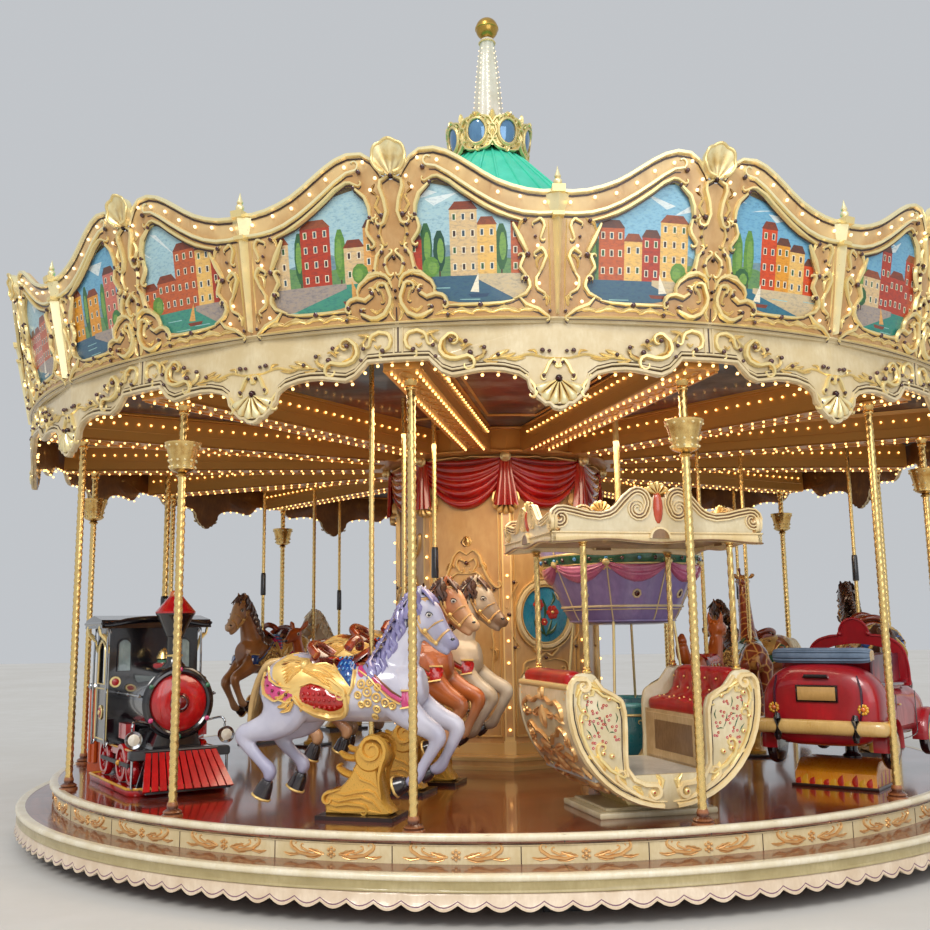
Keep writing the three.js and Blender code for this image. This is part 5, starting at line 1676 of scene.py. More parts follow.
def column_plinth():
    """Two narrow bands round the column's foot."""
    foot = Shape()
    corners = [k * math.tau / FACES for k in range(FACES)]
    for radius, low, high in ((PLINTH_R + 0.006, DECK_TOP + 0.001, DECK_TOP + 0.035),
                              (PLINTH_R + 0.004, COLUMN_FOOT - 0.03, COLUMN_FOOT)):
        ring = [(radius * math.sin(a), -radius * math.cos(a)) for a in corners]
        inner = [(x * 0.97, y * 0.97) for x, y in ring]
        rows = [[(x, y, low) for x, y in ring], [(x, y, high) for x, y in ring],
                [(x, y, high) for x, y in inner], [(x, y, low) for x, y in inner]]
        foot.grid(rows, 0, closed_rows=True, closed_ring=True)
    return foot


def add_column():
    """The centre column's carved faces, swags, corner posts, lamps and plinth trim."""
    repaint("centre_column", COLUMN_TAN)
    carving, drapes, lamps = Shape(), Shape(), Shape()
    posts = Shape()
    plain, round_frame, drape, tail = carved_frame(), medallion(), swag(), swag_tail()
    post, dots, panel, wave = column_post(), column_lamps(), column_panel(), column_wave()
    for i in range(FACES):
        face = on_face(i + 0.5)
        corner = on_face(i, COLUMN_FACE / math.cos(math.pi / FACES) - COLUMN_FACE - 0.02)
        carving.copy_in(round_frame if i % 2 == 0 else plain, face)
        drapes.copy_in(drape, face)
        drapes.copy_in(tail, corner)
        posts.copy_in(post, corner)
        lamps.copy_in(dots, corner)
        posts.copy_in(panel, face)
        posts.copy_in(wave, face)
    piece("column_carving", carving,
          [COLUMN_GOLD, JEWEL, MEDALLION_BLUE, FLOWER_RED, COLUMN_TAN, LEAF_GREEN, CREAM],
          sharp=55)
    piece("column_posts", posts, [COLUMN_GOLD, COLUMN_TAN])
    piece("column_swags", drapes, [SWAG_RED, COLUMN_GOLD, GOLD], sharp=70, keep=0.35)
    piece("column_bulbs", lamps, [LIT_BULB])
    piece("column_plinth_trim", column_plinth(), [COLUMN_GOLD], sharp=30)


COLUMN_TAN = enamel("column_tan", "d2ac74", "b98c54", rough=0.3, coat=0.5, scale=2.0, hollow_shade="6a4420")
COLUMN_GOLD = gilding("column_gilding", "ecc884", "b27c36", "522c10", rough=0.3)
SWAG_RED = enamel("swag_red", "b3120d", "8c0a0a", rough=0.16, coat=1.0, scale=3.0, hollow_shade="4a0406")
MEDALLION_BLUE = enamel("medallion_blue", "2f9ab8", "1f6f95", rough=0.25, coat=0.6, scale=9)
FLOWER_RED = enamel("flower_red", "c8321e", "9c2016", rough=0.3, scale=30)
LEAF_GREEN = enamel("leaf_green", "2a5a2a", "1c4424", rough=0.35, scale=30)


# Roof, ornament, spire and ball

# The roof's outer line as (radius, height)
ROOF_LINE = [(4.40, 4.23), (3.00, 4.76), (1.90, 5.33), (1.20, 5.90), (0.70, 6.42), (0.40, 6.73),
             (0.22, 6.86), (0.12, ROOF_TOP)]
# Its inner line, from the head to the drum
ROOF_INSIDE = [(0.09, ROOF_TOP - 0.03), (0.19, 6.83), (0.37, 6.70), (0.67, 6.39), (1.17, 5.87),
               (1.87, 5.30), (2.97, 4.73), (4.37, 4.2)]


def add_roof():
    """Turquoise gores between raised seams, over a plain drum."""
    line = smooth_path(ROOF_LINE, 5)
    gores, per = 2 * BAYS, 8
    total = gores * per
    angles = np.arange(total) * math.tau / total
    phase = (np.arange(total) % per) / per
    sag = np.sin(math.pi * phase)
    cover = Shape()
    drum = BEAM_TOP + 0.031
    rows = []
    for radius, height in [(4.40, drum), (4.402, 4.20)] + list(line):
        dip = 0.022 * sag * min(1.0, radius / 3) * (height > 4.21)
        reach = radius - dip * 0.4
        rows.append(np.column_stack([reach * np.sin(angles), -reach * np.cos(angles), height - dip]))
    inner = [np.column_stack([r * np.sin(angles), -r * np.cos(angles), np.full(total, z)])
             for r, z in ROOF_INSIDE + [(4.37, drum)]]
    cover.grid(rows + inner, 0, closed_rows=True, closed_ring=True)
    cover.lathe([(0, ROOF_TOP - 0.02), (0.122, ROOF_TOP - 0.02), (0.122, ROOF_TOP), (0, ROOF_TOP)], 56)
    seam = Shape()
    path = np.array([(r, 0.0, z + 0.004) for r, z in line])
    seam.tube(path, 0.014, 6)
    ribs = Shape()
    for i in range(gores):
        ribs.copy_in(seam, spoke(i * math.tau / gores))
    ribs.lathe([(4.36, 4.19), (4.425, 4.19), (4.43, 4.215), (4.41, 4.245), (4.36, 4.25)], total, closed=True)
    piece("roof_gores", cover, [TURQUOISE], stands_for=["roof"], sharp=50, keep=0.4)
    piece("roof_seams", ribs, [TURQUOISE], keep=0.5)
    stays = Shape()
    for i in range(gores):
        height = CROWN_FOOT + 0.5
        one = Shape()
        one.tube([(4.36, 0.03, 4.17), (crown_radius(height) - 0.035, 0.03, height)], 0.012, 6)
        one.box((4.40, -0.02, CROWN_FOOT + 0.01), (4.455, 0.02, CROWN_FOOT + 0.05))
        one.tube([(crown_radius(CROWN_FOOT + 0.03) - 0.052, 0, CROWN_FOOT + 0.03),
                  (crown_radius(CROWN_FOOT + 0.70) - 0.052, 0, CROWN_FOOT + 0.70)], 0.016, 4)
        stays.copy_in(one, spoke((i + 0.25) * math.tau / gores))
    piece("crown_stays", stays, [STEEL])


MIRRORS = 8
ORNAMENT_SEAT = 6.9603
ORNAMENT_FOOT = 6.745


def ornament_radius(height):
    """The ornament flares a little towards its head."""
    return np.interp(height, [ORNAMENT_FOOT, ORNAMENT_TOP], [0.405, 0.460])


def ornament_lobes():
    """One mirror's surround: scrolls and leaves as far as its neighbours' middles."""
    lobe = Shape()
    half = math.pi * 0.43 / MIRRORS
    foot, head = ORNAMENT_FOOT, ORNAMENT_TOP
    for points, first, last, width in [
        ([(half, 7.02), (half - 0.030, 7.08), (half - 0.075, 7.10)], (0.030, 210), (0.028, 260), 0.015),
        ([(0.0, 7.115), (0.045, 7.120), (0.090, 7.085)], None, (0.024, -230), 0.014),
        ([(half, 6.85), (half - 0.030, 6.795), (half - 0.080, 6.765), (0.0, 6.755)], (0.030, -220), None,
         0.016),
        ([(half - 0.012, 6.88), (half - 0.040, 6.93), (half - 0.030, 7.00)], (0.020, 230), (0.020, -230),
         0.012),
    ]:
        lobe.ridge(scroll_path(points, first, last), width, width * 2.1)
    for spine, width in [([(half, 6.83), (half - 0.012, 6.90), (half, 6.97)], 0.026),
                         ([(half, 7.06), (half - 0.010, 7.11), (half, head + 0.018)], 0.028),
                         ([(0.0, foot - 0.006), (0.016, 6.775), (0.0, 6.80)], 0.030),
                         ([(0.06, 6.77), (0.10, 6.785), (0.13, 6.82)], 0.020)]:
        lobe.leaf(spine, width, 0.030, lobes=3)
    lobe.shell((0, 7.10), 0.055, 2, 10, 90, 0.030, 0)
    return mirrored(lobe)


def add_ornament():
    """A gilt crown of oval blue mirrors round the roof's head."""
    floor = ROOF_TOP + 0.0005
    band = Shape()
    band.lathe([(0, floor), (0.330, floor), (0.395, 6.800), (0.411, 6.795), (0.430, 6.95), (0.450, 7.095),
                (0.436, 7.102), (0.350, ORNAMENT_SEAT), (0, ORNAMENT_SEAT)], 64)
    glass = Shape()
    ring = round_angles(28)
    middle, wide, tall = 6.950, 0.098, 0.128
    oval = Shape()
    rows = []
    for part in (1, 0.7, 0.35):
        rows.append(np.column_stack([wide * part * np.cos(ring), middle + tall * part * np.sin(ring),
                                     np.full(len(ring), 0.006 + 0.016 * (1 - part ** 2))]))
    oval.grid(rows, 0, closed_ring=True, caps=True)
    surround = Shape()
    for grow, thick, stand in ((1.06, 0.014, 0.014), (1.20, 0.008, 0.010)):
        surround.tube(np.column_stack([grow * wide * np.cos(ring), middle + grow * tall * np.sin(ring),
                                       np.full(len(ring), stand)]), thick, 8, closed=True)
    surround.copy_in(ornament_lobes(), lambda p: p)
    for i in range(MIRRORS):
        place = bent(ornament_radius, 0.43, (i + 0.5) * math.tau / MIRRORS)
        glass.copy_in(oval, place)
        band.copy_in(surround, place)
    piece("ornament_frames", band, [GOLD], stands_for=["crown_ornament"], sharp=60,
          keep=0.65)
    piece("ornament_mirrors", glass, [MIRROR_BLUE])


MIRROR_BLUE = enamel("mirror_blue", "6f9cc4", "4f7aa6", rough=0.05, coat=1.0, scale=3.0, metal=0.4)


SPIRE_LAMPS_FOOT = 7.24
SPIRE_LAMP_STEP = 0.062


def add_spire():
    """A pale tapering spire with upright rows of lamps, and a gilt ball."""
    low, high = ORNAMENT_SEAT + 0.0005, SPIRE_TOP
    body = Shape()
    ribs = 8

    def wave(turn):
        return 1 + 0.03 * np.cos(ribs * turn)
    profile = [(0, low), (0.190, low), (0.192, low + 0.04), (0.184, low + 0.10), (0.170, 7.14),
               (0.177, 7.165), (0.165, 7.20), (0.158, 7.32), (0.146, 7.50), (0.126, 7.75), (0.102, 8.00),
               (0.078, 8.185), (0.088, 8.200), (0.082, 8.225), (0.060, high), (0, high)]
    body.lathe(profile, 64, wave=wave)
    rings = Shape()
    for height, radius in ((7.165, 0.176), (8.20, 0.088)):
        rings.tube([(radius * math.sin(a), radius * math.cos(a), height)
                    for a in round_angles(32)], 0.010, 6, closed=True)
    piece("spire_body", body, [PALE], stands_for=["spire"], sharp=60)
    piece("spire_rings", rings, [GOLD])
    lamps = Shape()
    for i in range(ribs):
        turn = math.tau * i / ribs
        for height in np.arange(SPIRE_LAMPS_FOOT, high - 0.1, SPIRE_LAMP_STEP):
            radius = 1.035 * np.interp(height, [z for _, z in profile[6:12]], [r for r, _ in profile[6:12]])
            lamps.ball((radius * math.sin(turn), -radius * math.cos(turn), height), 0.008, 6, 4)
    piece("spire_bulbs", lamps, [DAY_BULB])
    ball = Shape()
    low = SPIRE_TOP + 0.0005
    ball.lathe([(0, low)] + [(BALL_R * math.sin(a), low + BALL_R * (1 - math.cos(a)))
                             for a in np.linspace(0.12, math.pi - 0.12, 22)] + [(0, BALL_TOP)], 36)
    ball.lathe([(BALL_R - 0.004, low + BALL_R - 0.018), (BALL_R + 0.006, low + BALL_R - 0.010),
                (BALL_R + 0.006, low + BALL_R + 0.010), (BALL_R - 0.004, low + BALL_R + 0.018)], 36,
                closed=True)
    piece("spire_ball", ball, [BALL_GOLD], stands_for=["finial_ball"])


BALL_GOLD = gilding("ball_gold", "c9a24a", "9a7428", "4a3410", rough=0.24, metal=0.8)


# Modelled bodies, joined from overlapping forms

def moulded(name, shape, voxel, relax=5, keep=1.0):
    """One smooth closed mesh from overlapping closed forms."""
    rough = bpy.data.objects.new(name, shape.mesh(name))
    bpy.context.scene.collection.objects.link(rough)
    join = rough.modifiers.new("join", "REMESH")
    join.mode = "VOXEL"
    join.voxel_size = voxel
    ease = rough.modifiers.new("ease", "SMOOTH")
    ease.factor = 0.5
    ease.iterations = relax
    if keep < 1.0:
        rough.modifiers.new("thin", "DECIMATE").ratio = keep
    made = bpy.data.meshes.new_from_object(rough.evaluated_get(bpy.context.evaluated_depsgraph_get()))
    bpy.data.objects.remove(rough)
    made.materials.clear()
    made.polygons.foreach_set("use_smooth", np.ones(len(made.polygons), bool))
    return made


class Skin:
    """The surface of a modelled body, on which flat ornament is laid from either side."""

    def __init__(self, mesh):
        self.tree = BVHTree.FromPolygons([v.co for v in mesh.vertices],
                                         [f.vertices[:] for f in mesh.polygons])

    def lay(self, side):
        """Moves (x, height, stand) points on to the surface from the side of y that side says."""
        def move(points):
            made = np.empty((len(points), 3))
            for i, (x, z, w) in enumerate(points):
                hit, normal, _, _ = self.tree.ray_cast(Vector((x, side, z)), Vector((0, -side, 0)))
                if hit is None:
                    hit, normal, _, _ = self.tree.find_nearest(Vector((x, side * 0.12, z)))
                made[i] = hit + normal * w
            return made
        return move


def chain(shape, points, y=0.0, sides=14):
    """A limb through (x, height, in-plane radius, radius across), with rounded ends."""
    line = smooth_path(points, 4)
    inner, outer = line[0], line[-1]
    path = np.column_stack([line[:, 0], np.full(len(line), y), line[:, 1]])
    along = np.gradient(path, axis=0)
    along /= np.linalg.norm(along, axis=1)[:, None]
    radius, across = line[:, 2], line[:, 3]
    path = np.vstack([path[0] - along[0] * radius[0] * 0.6, path, path[-1] + along[-1] * radius[-1] * 0.6])
    radius = np.concatenate([[inner[2] * 0.55], radius, [outer[2] * 0.55]])
    across = np.concatenate([[inner[3] * 0.55], across, [outer[3] * 0.55]])
    shape.tube(path, radius, sides, flat=across / radius, up=(0, 1, 0))


# Horses

# Each limb as (x, height, in-plane radius, radius across), from the pole and the deck
TORSO = [(-0.76, 0.85, 0.12, 0.08), (-0.70, 0.855, 0.185, 0.15), (-0.58, 0.855, 0.235, 0.19),
         (-0.44, 0.85, 0.235, 0.20), (-0.28, 0.835, 0.208, 0.195), (-0.10, 0.825, 0.200, 0.20),
         (0.05, 0.835, 0.212, 0.20), (0.18, 0.85, 0.215, 0.18), (0.28, 0.865, 0.18, 0.145)]
NECK = [(0.09, 0.89, 0.19, 0.14), (0.17, 0.99, 0.165, 0.118), (0.225, 1.12, 0.135, 0.094),
        (0.265, 1.24, 0.112, 0.078), (0.30, 1.35, 0.100, 0.070), (0.335, 1.42, 0.082, 0.060)]
HEAD = [(0.345, 1.43, 0.070, 0.056), (0.40, 1.355, 0.100, 0.068), (0.455, 1.27, 0.090, 0.060),
        (0.515, 1.205, 0.066, 0.048), (0.570, 1.155, 0.050, 0.042), (0.598, 1.135, 0.042, 0.040)]
JAW = [(0.42, 1.20, 0.050, 0.042), (0.49, 1.125, 0.034, 0.034), (0.545, 1.083, 0.021, 0.026)]
# Legs: (y, limb, pastern and toe of the hoof)
LEGS = [
    (-0.100, [(0.19, 0.82, 0.15, 0.085), (0.27, 0.715, 0.115, 0.072), (0.385, 0.625, 0.080, 0.060),
              (0.50, 0.550, 0.060, 0.052), (0.475, 0.475, 0.044, 0.041), (0.405, 0.365, 0.036, 0.034),
              (0.350, 0.278, 0.045, 0.040), (0.300, 0.248, 0.036, 0.036)], (0.300, 0.248), (0.205, 0.215)),
    (0.100, [(0.19, 0.84, 0.15, 0.085), (0.31, 0.735, 0.105, 0.070), (0.45, 0.655, 0.074, 0.058),
             (0.575, 0.595, 0.058, 0.052), (0.555, 0.510, 0.044, 0.041), (0.500, 0.405, 0.036, 0.034),
             (0.455, 0.330, 0.044, 0.040), (0.405, 0.305, 0.036, 0.036)], (0.405, 0.305), (0.315, 0.270)),
    (-0.110, [(-0.57, 0.82, 0.20, 0.105), (-0.61, 0.69, 0.170, 0.098), (-0.70, 0.605, 0.112, 0.078),
              (-0.82, 0.568, 0.076, 0.058), (-0.905, 0.540, 0.060, 0.050), (-0.855, 0.460, 0.050, 0.043),
              (-0.775, 0.378, 0.042, 0.038), (-0.700, 0.305, 0.049, 0.043), (-0.705, 0.255, 0.038, 0.038)],
     (-0.705, 0.255), (-0.760, 0.130)),
    (0.110, [(-0.52, 0.82, 0.20, 0.105), (-0.52, 0.68, 0.155, 0.095), (-0.575, 0.600, 0.105, 0.075),
             (-0.66, 0.555, 0.072, 0.056), (-0.725, 0.520, 0.060, 0.050), (-0.680, 0.450, 0.050, 0.043),
             (-0.615, 0.390, 0.042, 0.038), (-0.550, 0.330, 0.049, 0.043), (-0.555, 0.280, 0.038, 0.038)],
     (-0.555, 0.280), (-0.610, 0.160)),
]
SOLE_R = 0.064
CREST = [(0.355, 1.505), (0.285, 1.475), (0.215, 1.385), (0.155, 1.275), (0.095, 1.165), (0.035, 1.075),
         (-0.015, 1.035)]


def horse_body():
    """Body, neck, head and legs in one skin."""
    t = Shape()
    chain(t, TORSO, sides=20)
    chain(t, NECK)
    chain(t, HEAD)
    chain(t, JAW)
    for y, limb, _, _ in LEGS:
        chain(t, limb, y)
    for side in (-1, 1):
        t.ball((-0.60, side * 0.115, 0.90), 0.115, 12, 8, stretch=(1.25, 0.75, 1.2))
        t.ball((0.19, side * 0.10, 0.86), 0.105, 12, 8, stretch=(1.1, 0.75, 1.3))
        t.ball((0.43, side * 0.038, 1.335), 0.030, 8, 6, stretch=(1.3, 0.8, 0.8))
        t.ball((0.395, side * 0.040, 1.285), 0.062, 8, 6, stretch=(1.0, 0.6, 1.0))
        t.ball((0.590, side * 0.026, 1.165), 0.024, 8, 6)
        ear = [(0.345, side * 0.040, 1.462), (0.362, side * 0.045, 1.500), (0.385, side * 0.049, 1.545)]
        t.tube(ear, (0.030, 0.026, 0.008), 8, flat=0.7)
    return moulded("horse_body", t, 0.0115, 4, keep=0.125)


def horse_hair():
    """A wavy mane in thick locks, a forelock and a tail of long strands."""
    made = random.Random(4)
    flat = Shape()
    crest = smooth_path(CREST, 4)
    for i in range(25):
        start = crest[1 + int(i * (len(crest) - 2) / 25)]
        lean = 0.03 + 0.045 * i / 25
        length = 0.15 + 0.05 * made.random()
        sway = 0.016 * (1 if i % 2 else -1)
        path = [start + (0.006, 0.006), start + (lean * 0.3 + sway, -length * 0.35),
                start + (lean * 0.7 - sway, -length * 0.7), start + (lean + sway * 0.8, -length)]
        flat.ridge(smooth_path(path, 5), 0.018 + 0.004 * made.random(), 0.030 + 0.012 * made.random(), 0,
                   base=-0.004, ends=(0.7, 0.15))
    solid = Shape()
    for step, (x, z) in enumerate(crest):
        solid.ball((x - 0.004, 0.006 * math.sin(step * 2.1), z + 0.004), 0.030, 8, 6, 0, stretch=(1, 0.8, 1))
    for i in range(7):
        y = (i - 3) * 0.011
        path = smooth_path([(0.350, y * 0.5, 1.505), (0.395, y, 1.498),
                            (0.440, y * 1.6, 1.455 + 0.006 * (i % 2)),
                            (0.468, y * 2.0, 1.415 - 0.014 * (i % 3))], 4)
        solid.tube(path, np.linspace(0.018, 0.006, len(path)), 7, 0)
    tail = Shape()
    for i in range(13):
        y = (i - 6) * 0.0115
        wide = 1 - abs(i - 6) / 9
        wave = 0.010 * math.sin(i * 1.9)
        path = smooth_path([(-0.665, y * 0.5, 1.045), (-0.755, y * 0.8, 1.010 + wave),
                            (-0.822, y, 0.89 + wave), (-0.852 + wave, y * 1.2, 0.76),
                            (-0.872 - wave, y * 1.1, 0.63),
                            (-0.880 + wave, y * 0.5, 0.52 + 0.05 * (1 - wide))], 4)
        tail.tube(path, 0.019 * np.interp(np.linspace(0, 1, len(path)), [0, 0.2, 0.8, 1],
                                          [0.7, 1, 0.85, 0.2]), 7, 0, flat=1.2)
    return flat, solid, tail


def draped_panel(shape, outline, rise, slot, spacing=0.048):
    """A panel with a rounded edge, to be laid on a body."""
    line = anticlockwise(smooth_path(list(outline) + [outline[0]], 3)[:-1])
    flat, tris = flat_fill(line, None, spacing)
    near = np.array([np.min(np.hypot(*(line - p).T)) for p in flat])
    stand = rise * np.minimum(1, 0.35 + near / 0.02)
    shape.add(np.column_stack([flat, stand]), tris=tris, slot=slot)
    shape.grid([at_level(line, level) for level in (rise * 0.35, -0.004)], slot, closed_ring=True)


def studded(shape, outline, pitch, radius, rise, slot):
    """Rows of small jewels over an outline."""
    line = anticlockwise(smooth_path(list(outline) + [outline[0]], 3)[:-1])
    flat, tris = flat_fill(line, None, pitch)
    for p in flat[np.unique(tris)]:
        if np.min(np.hypot(*(line - p).T)) > radius * 1.5:
            shape.ball((p[0], p[1], rise), radius, 5, 3, slot)


RUMP_CLOTH = [(-0.655, 1.00), (-0.60, 1.07), (-0.50, 1.095), (-0.40, 1.085), (-0.33, 1.04), (-0.24, 1.02),
              (-0.17, 0.98), (-0.10, 0.90), (-0.085, 0.84), (-0.12, 0.80), (-0.20, 0.83), (-0.30, 0.875),
              (-0.38, 0.88), (-0.44, 0.84), (-0.50, 0.82), (-0.56, 0.84), (-0.60, 0.89), (-0.645, 0.93)]
BLUE_PANEL = [(-0.225, 1.03), (-0.09, 1.03), (-0.060, 0.94), (-0.070, 0.866), (-0.115, 0.905),
              (-0.18, 0.965)]
RED_PANEL = [(-0.43, 0.862), (-0.36, 0.885), (-0.28, 0.865), (-0.22, 0.83), (-0.135, 0.80), (-0.14, 0.735),
             (-0.24, 0.712), (-0.36, 0.745), (-0.44, 0.79)]
PINK_BAND = [(-0.735, 0.955), (-0.70, 0.985), (-0.685, 0.93), (-0.645, 0.885), (-0.585, 0.86),
             (-0.505, 0.850), (-0.500, 0.790), (-0.545, 0.775), (-0.585, 0.795), (-0.625, 0.785),
             (-0.66, 0.815), (-0.695, 0.825), (-0.715, 0.87), (-0.745, 0.90)]
PINK_FRONT = [(-0.055, 1.02), (-0.01, 1.025), (0.015, 0.985), (0.0, 0.93), (-0.035, 0.95)]


# Slots of the harness's colours, in the order of its materials
(GEAR_GOLD, GEAR_RED, GEAR_BLUE, GEAR_PINK, GEAR_DARK, GEAR_SKY, GEAR_GARNET, GEAR_STRAP,
 GEAR_WHITE) = range(9)


def horse_cloths(t):
    """Saddle cloth and coloured panels with their studs."""
    draped_panel(t, RUMP_CLOTH, 0.016, GEAR_GOLD)
    draped_panel(t, [(-0.30, 1.03), (-0.10, 1.03), (-0.045, 0.93), (-0.06, 0.85), (-0.13, 0.88),
                     (-0.22, 0.93)], 0.010, GEAR_GOLD)
    draped_panel(t, BLUE_PANEL, 0.042, GEAR_BLUE)
    studded(t, BLUE_PANEL, 0.030, 0.0085, 0.044, GEAR_SKY)
    draped_panel(t, [(-0.50, 0.83), (-0.36, 0.90), (-0.10, 0.84), (-0.105, 0.73), (-0.22, 0.675),
                     (-0.38, 0.705), (-0.48, 0.755)], 0.013, GEAR_GOLD)
    draped_panel(t, RED_PANEL, 0.034, GEAR_RED)
    studded(t, RED_PANEL, 0.038, 0.012, 0.036, GEAR_RED)
    draped_panel(t, PINK_BAND, 0.014, GEAR_PINK)
    draped_panel(t, PINK_FRONT, 0.016, GEAR_PINK)
    for x, z in ((-0.70, 0.93), (-0.678, 0.875), (-0.635, 0.84), (-0.585, 0.825), (-0.535, 0.815)):
        t.ball((x, z, 0.014), 0.011, 6, 4, GEAR_GARNET)


def horse_straps(t):
    """Rounded straps and edges of the cloths."""
    for line, width in [
        ([(-0.745, 0.96), (-0.735, 0.89), (-0.70, 0.82), (-0.655, 0.795), (-0.62, 0.775), (-0.585, 0.785),
          (-0.545, 0.765), (-0.50, 0.775)], 0.009),
        ([(-0.695, 0.99), (-0.672, 0.93), (-0.63, 0.89), (-0.56, 0.865), (-0.50, 0.858)], 0.008),
        ([(-0.49, 0.80), (-0.45, 0.745), (-0.37, 0.705), (-0.25, 0.675), (-0.14, 0.69), (-0.105, 0.74),
          (-0.11, 0.81)], 0.017),
        ([(-0.44, 0.87), (-0.36, 0.895), (-0.28, 0.875), (-0.21, 0.84), (-0.12, 0.81)], 0.008),
        ([(-0.26, 1.03), (-0.20, 0.965), (-0.12, 0.905), (-0.075, 0.86)], 0.008),
        ([(-0.10, 1.03), (-0.060, 0.95), (-0.060, 0.87), (-0.085, 0.82)], 0.012),
        ([(-0.055, 1.03), (0.02, 1.00), (0.10, 0.93), (0.18, 0.86), (0.27, 0.80)], 0.007),
        ([(-0.03, 0.965), (0.05, 0.925), (0.12, 0.86), (0.20, 0.79), (0.27, 0.755)], 0.007),
    ]:
        t.ridge(smooth_path(line, 5), width, width * 1.5 + 0.008, GEAR_GOLD, base=0.006, ends=(0.8, 0.8))


def horse_feathers(t):
    """Carved feathers and leaves behind the saddle."""
    t.ridge(scroll_path([(-0.30, 0.93), (-0.20, 0.90), (-0.13, 0.86)], None, (0.042, -400), 5), 0.012,
            0.030, GEAR_GOLD, base=0.004)
    for i in range(9):
        a = i / 8
        root = (-0.43 + 0.02 * a, 0.965 + 0.055 * a)
        tip = (-0.20 + 0.105 * a - 0.02 * (i % 2), 0.855 + 0.165 * a)
        middle = ((root[0] + tip[0]) / 2, (root[1] + tip[1]) / 2 + 0.018)
        if a < 0.72:
            t.leaf([root, middle, tip], 0.016, 0.024, GEAR_GOLD, lobes=1, base=0.012)
    for i in range(8):
        a = i / 7
        root = (-0.44, 1.02 - 0.04 * a)
        tip = (-0.60 + 0.05 * a, 1.03 - 0.155 * a)
        t.leaf([root, ((root[0] + tip[0]) / 2, (root[1] + tip[1]) / 2 + 0.012), tip], 0.015, 0.022,
               GEAR_GOLD, lobes=2, base=0.012)
    t.ball((-0.43, 1.01, 0.012), 0.030, 10, 6, GEAR_GOLD)
    for spine, width in [([(-0.50, 0.80), (-0.55, 0.745), (-0.60, 0.735)], 0.022),
                         ([(-0.49, 0.775), (-0.52, 0.72), (-0.58, 0.70)], 0.02),
                         ([(-0.47, 0.79), (-0.44, 0.74), (-0.45, 0.70)], 0.018),
                         ([(-0.52, 0.84), (-0.57, 0.80), (-0.62, 0.80)], 0.016)]:
        t.leaf(spine, width, 0.026, GEAR_GOLD, lobes=3, base=0.006)


def horse_breast(t):
    """Rings, strap and buckle at the breast."""
    for x, z, r in ((0.0, 0.885, 0.024), (0.045, 0.835, 0.026), (-0.02, 0.815, 0.020), (0.105, 0.80, 0.026),
                    (0.045, 0.765, 0.022), (0.165, 0.765, 0.025), (0.10, 0.725, 0.020), (0.0, 0.755, 0.018),
                    (0.06, 0.895, 0.020), (0.115, 0.865, 0.02), (0.075, 0.675, 0.016),
                    (0.215, 0.745, 0.02)):
        ring = [(x + r * math.cos(a), z + r * math.sin(a), 0.008) for a in round_angles(10)]
        t.tube(ring, 0.008, 4, GEAR_GOLD, closed=True)
        t.ball((x, z, 0.006), r * 0.45, 6, 3, GEAR_GOLD)
    strap = smooth_path([(-0.01, 0.985), (0.07, 0.935), (0.15, 0.87), (0.23, 0.805), (0.275, 0.78)], 4)
    t.ridge(strap, 0.020, 0.014, GEAR_PINK, base=0.002, ends=(1, 1), section=5)
    draped_panel(t, [(0.275, 0.835), (0.345, 0.835), (0.35, 0.745), (0.28, 0.735)], 0.020, GEAR_PINK)
    t.ridge([(0.27, 0.842), (0.35, 0.842)], 0.008, 0.030, GEAR_GOLD, ends=(1, 1))
    t.ridge([(0.27, 0.730), (0.35, 0.735)], 0.008, 0.030, GEAR_GOLD, ends=(1, 1))


def horse_bridle(t):
    """Bridle, eye and nostril."""
    for line, width in [([(0.315, 1.405), (0.325, 1.33), (0.375, 1.235), (0.44, 1.165), (0.485, 1.135)],
                         0.009),
                        ([(0.350, 1.390), (0.360, 1.32), (0.405, 1.225), (0.465, 1.155)], 0.009),
                        ([(0.318, 1.405), (0.36, 1.445), (0.425, 1.445)], 0.009),
                        ([(0.470, 1.145), (0.505, 1.185), (0.560, 1.235)], 0.010),
                        ([(0.40, 1.225), (0.45, 1.265), (0.52, 1.30)], 0.007)]:
        t.ridge(smooth_path(line, 5), width, 0.012, GEAR_STRAP, base=0.001, ends=(1, 1))
    for x, z in ((0.348, 1.40), (0.475, 1.15), (0.405, 1.235)):
        t.ball((x, z, 0.006), 0.016, 8, 5, GEAR_GOLD)
    eye = (0.435, 1.335)
    t.ball((*eye, 0.0), 0.019, 10, 7, GEAR_WHITE, stretch=(1.15, 0.9, 0.7))
    t.ball((eye[0] + 0.003, eye[1], 0.008), 0.0115, 8, 6, GEAR_DARK)
    # A small white dot on the eye: a painted glint.
    t.ball((eye[0] + 0.006, eye[1] + 0.004, 0.017), 0.003, 5, 4, GEAR_WHITE)
    t.ridge(smooth_path([(0.410, 1.335), (0.425, 1.356), (0.450, 1.350), (0.462, 1.333)], 4), 0.004, 0.010,
            GEAR_DARK)
    t.ball((0.592, 1.172, 0.0), 0.013, 8, 5, GEAR_DARK, stretch=(1.1, 0.8, 0.4))


def horse_trappings():
    """Harness, bridle and eye, flat, to be laid on either side of the body."""
    t = Shape()
    horse_cloths(t)
    horse_straps(t)
    horse_feathers(t)
    horse_breast(t)
    horse_bridle(t)
    return t


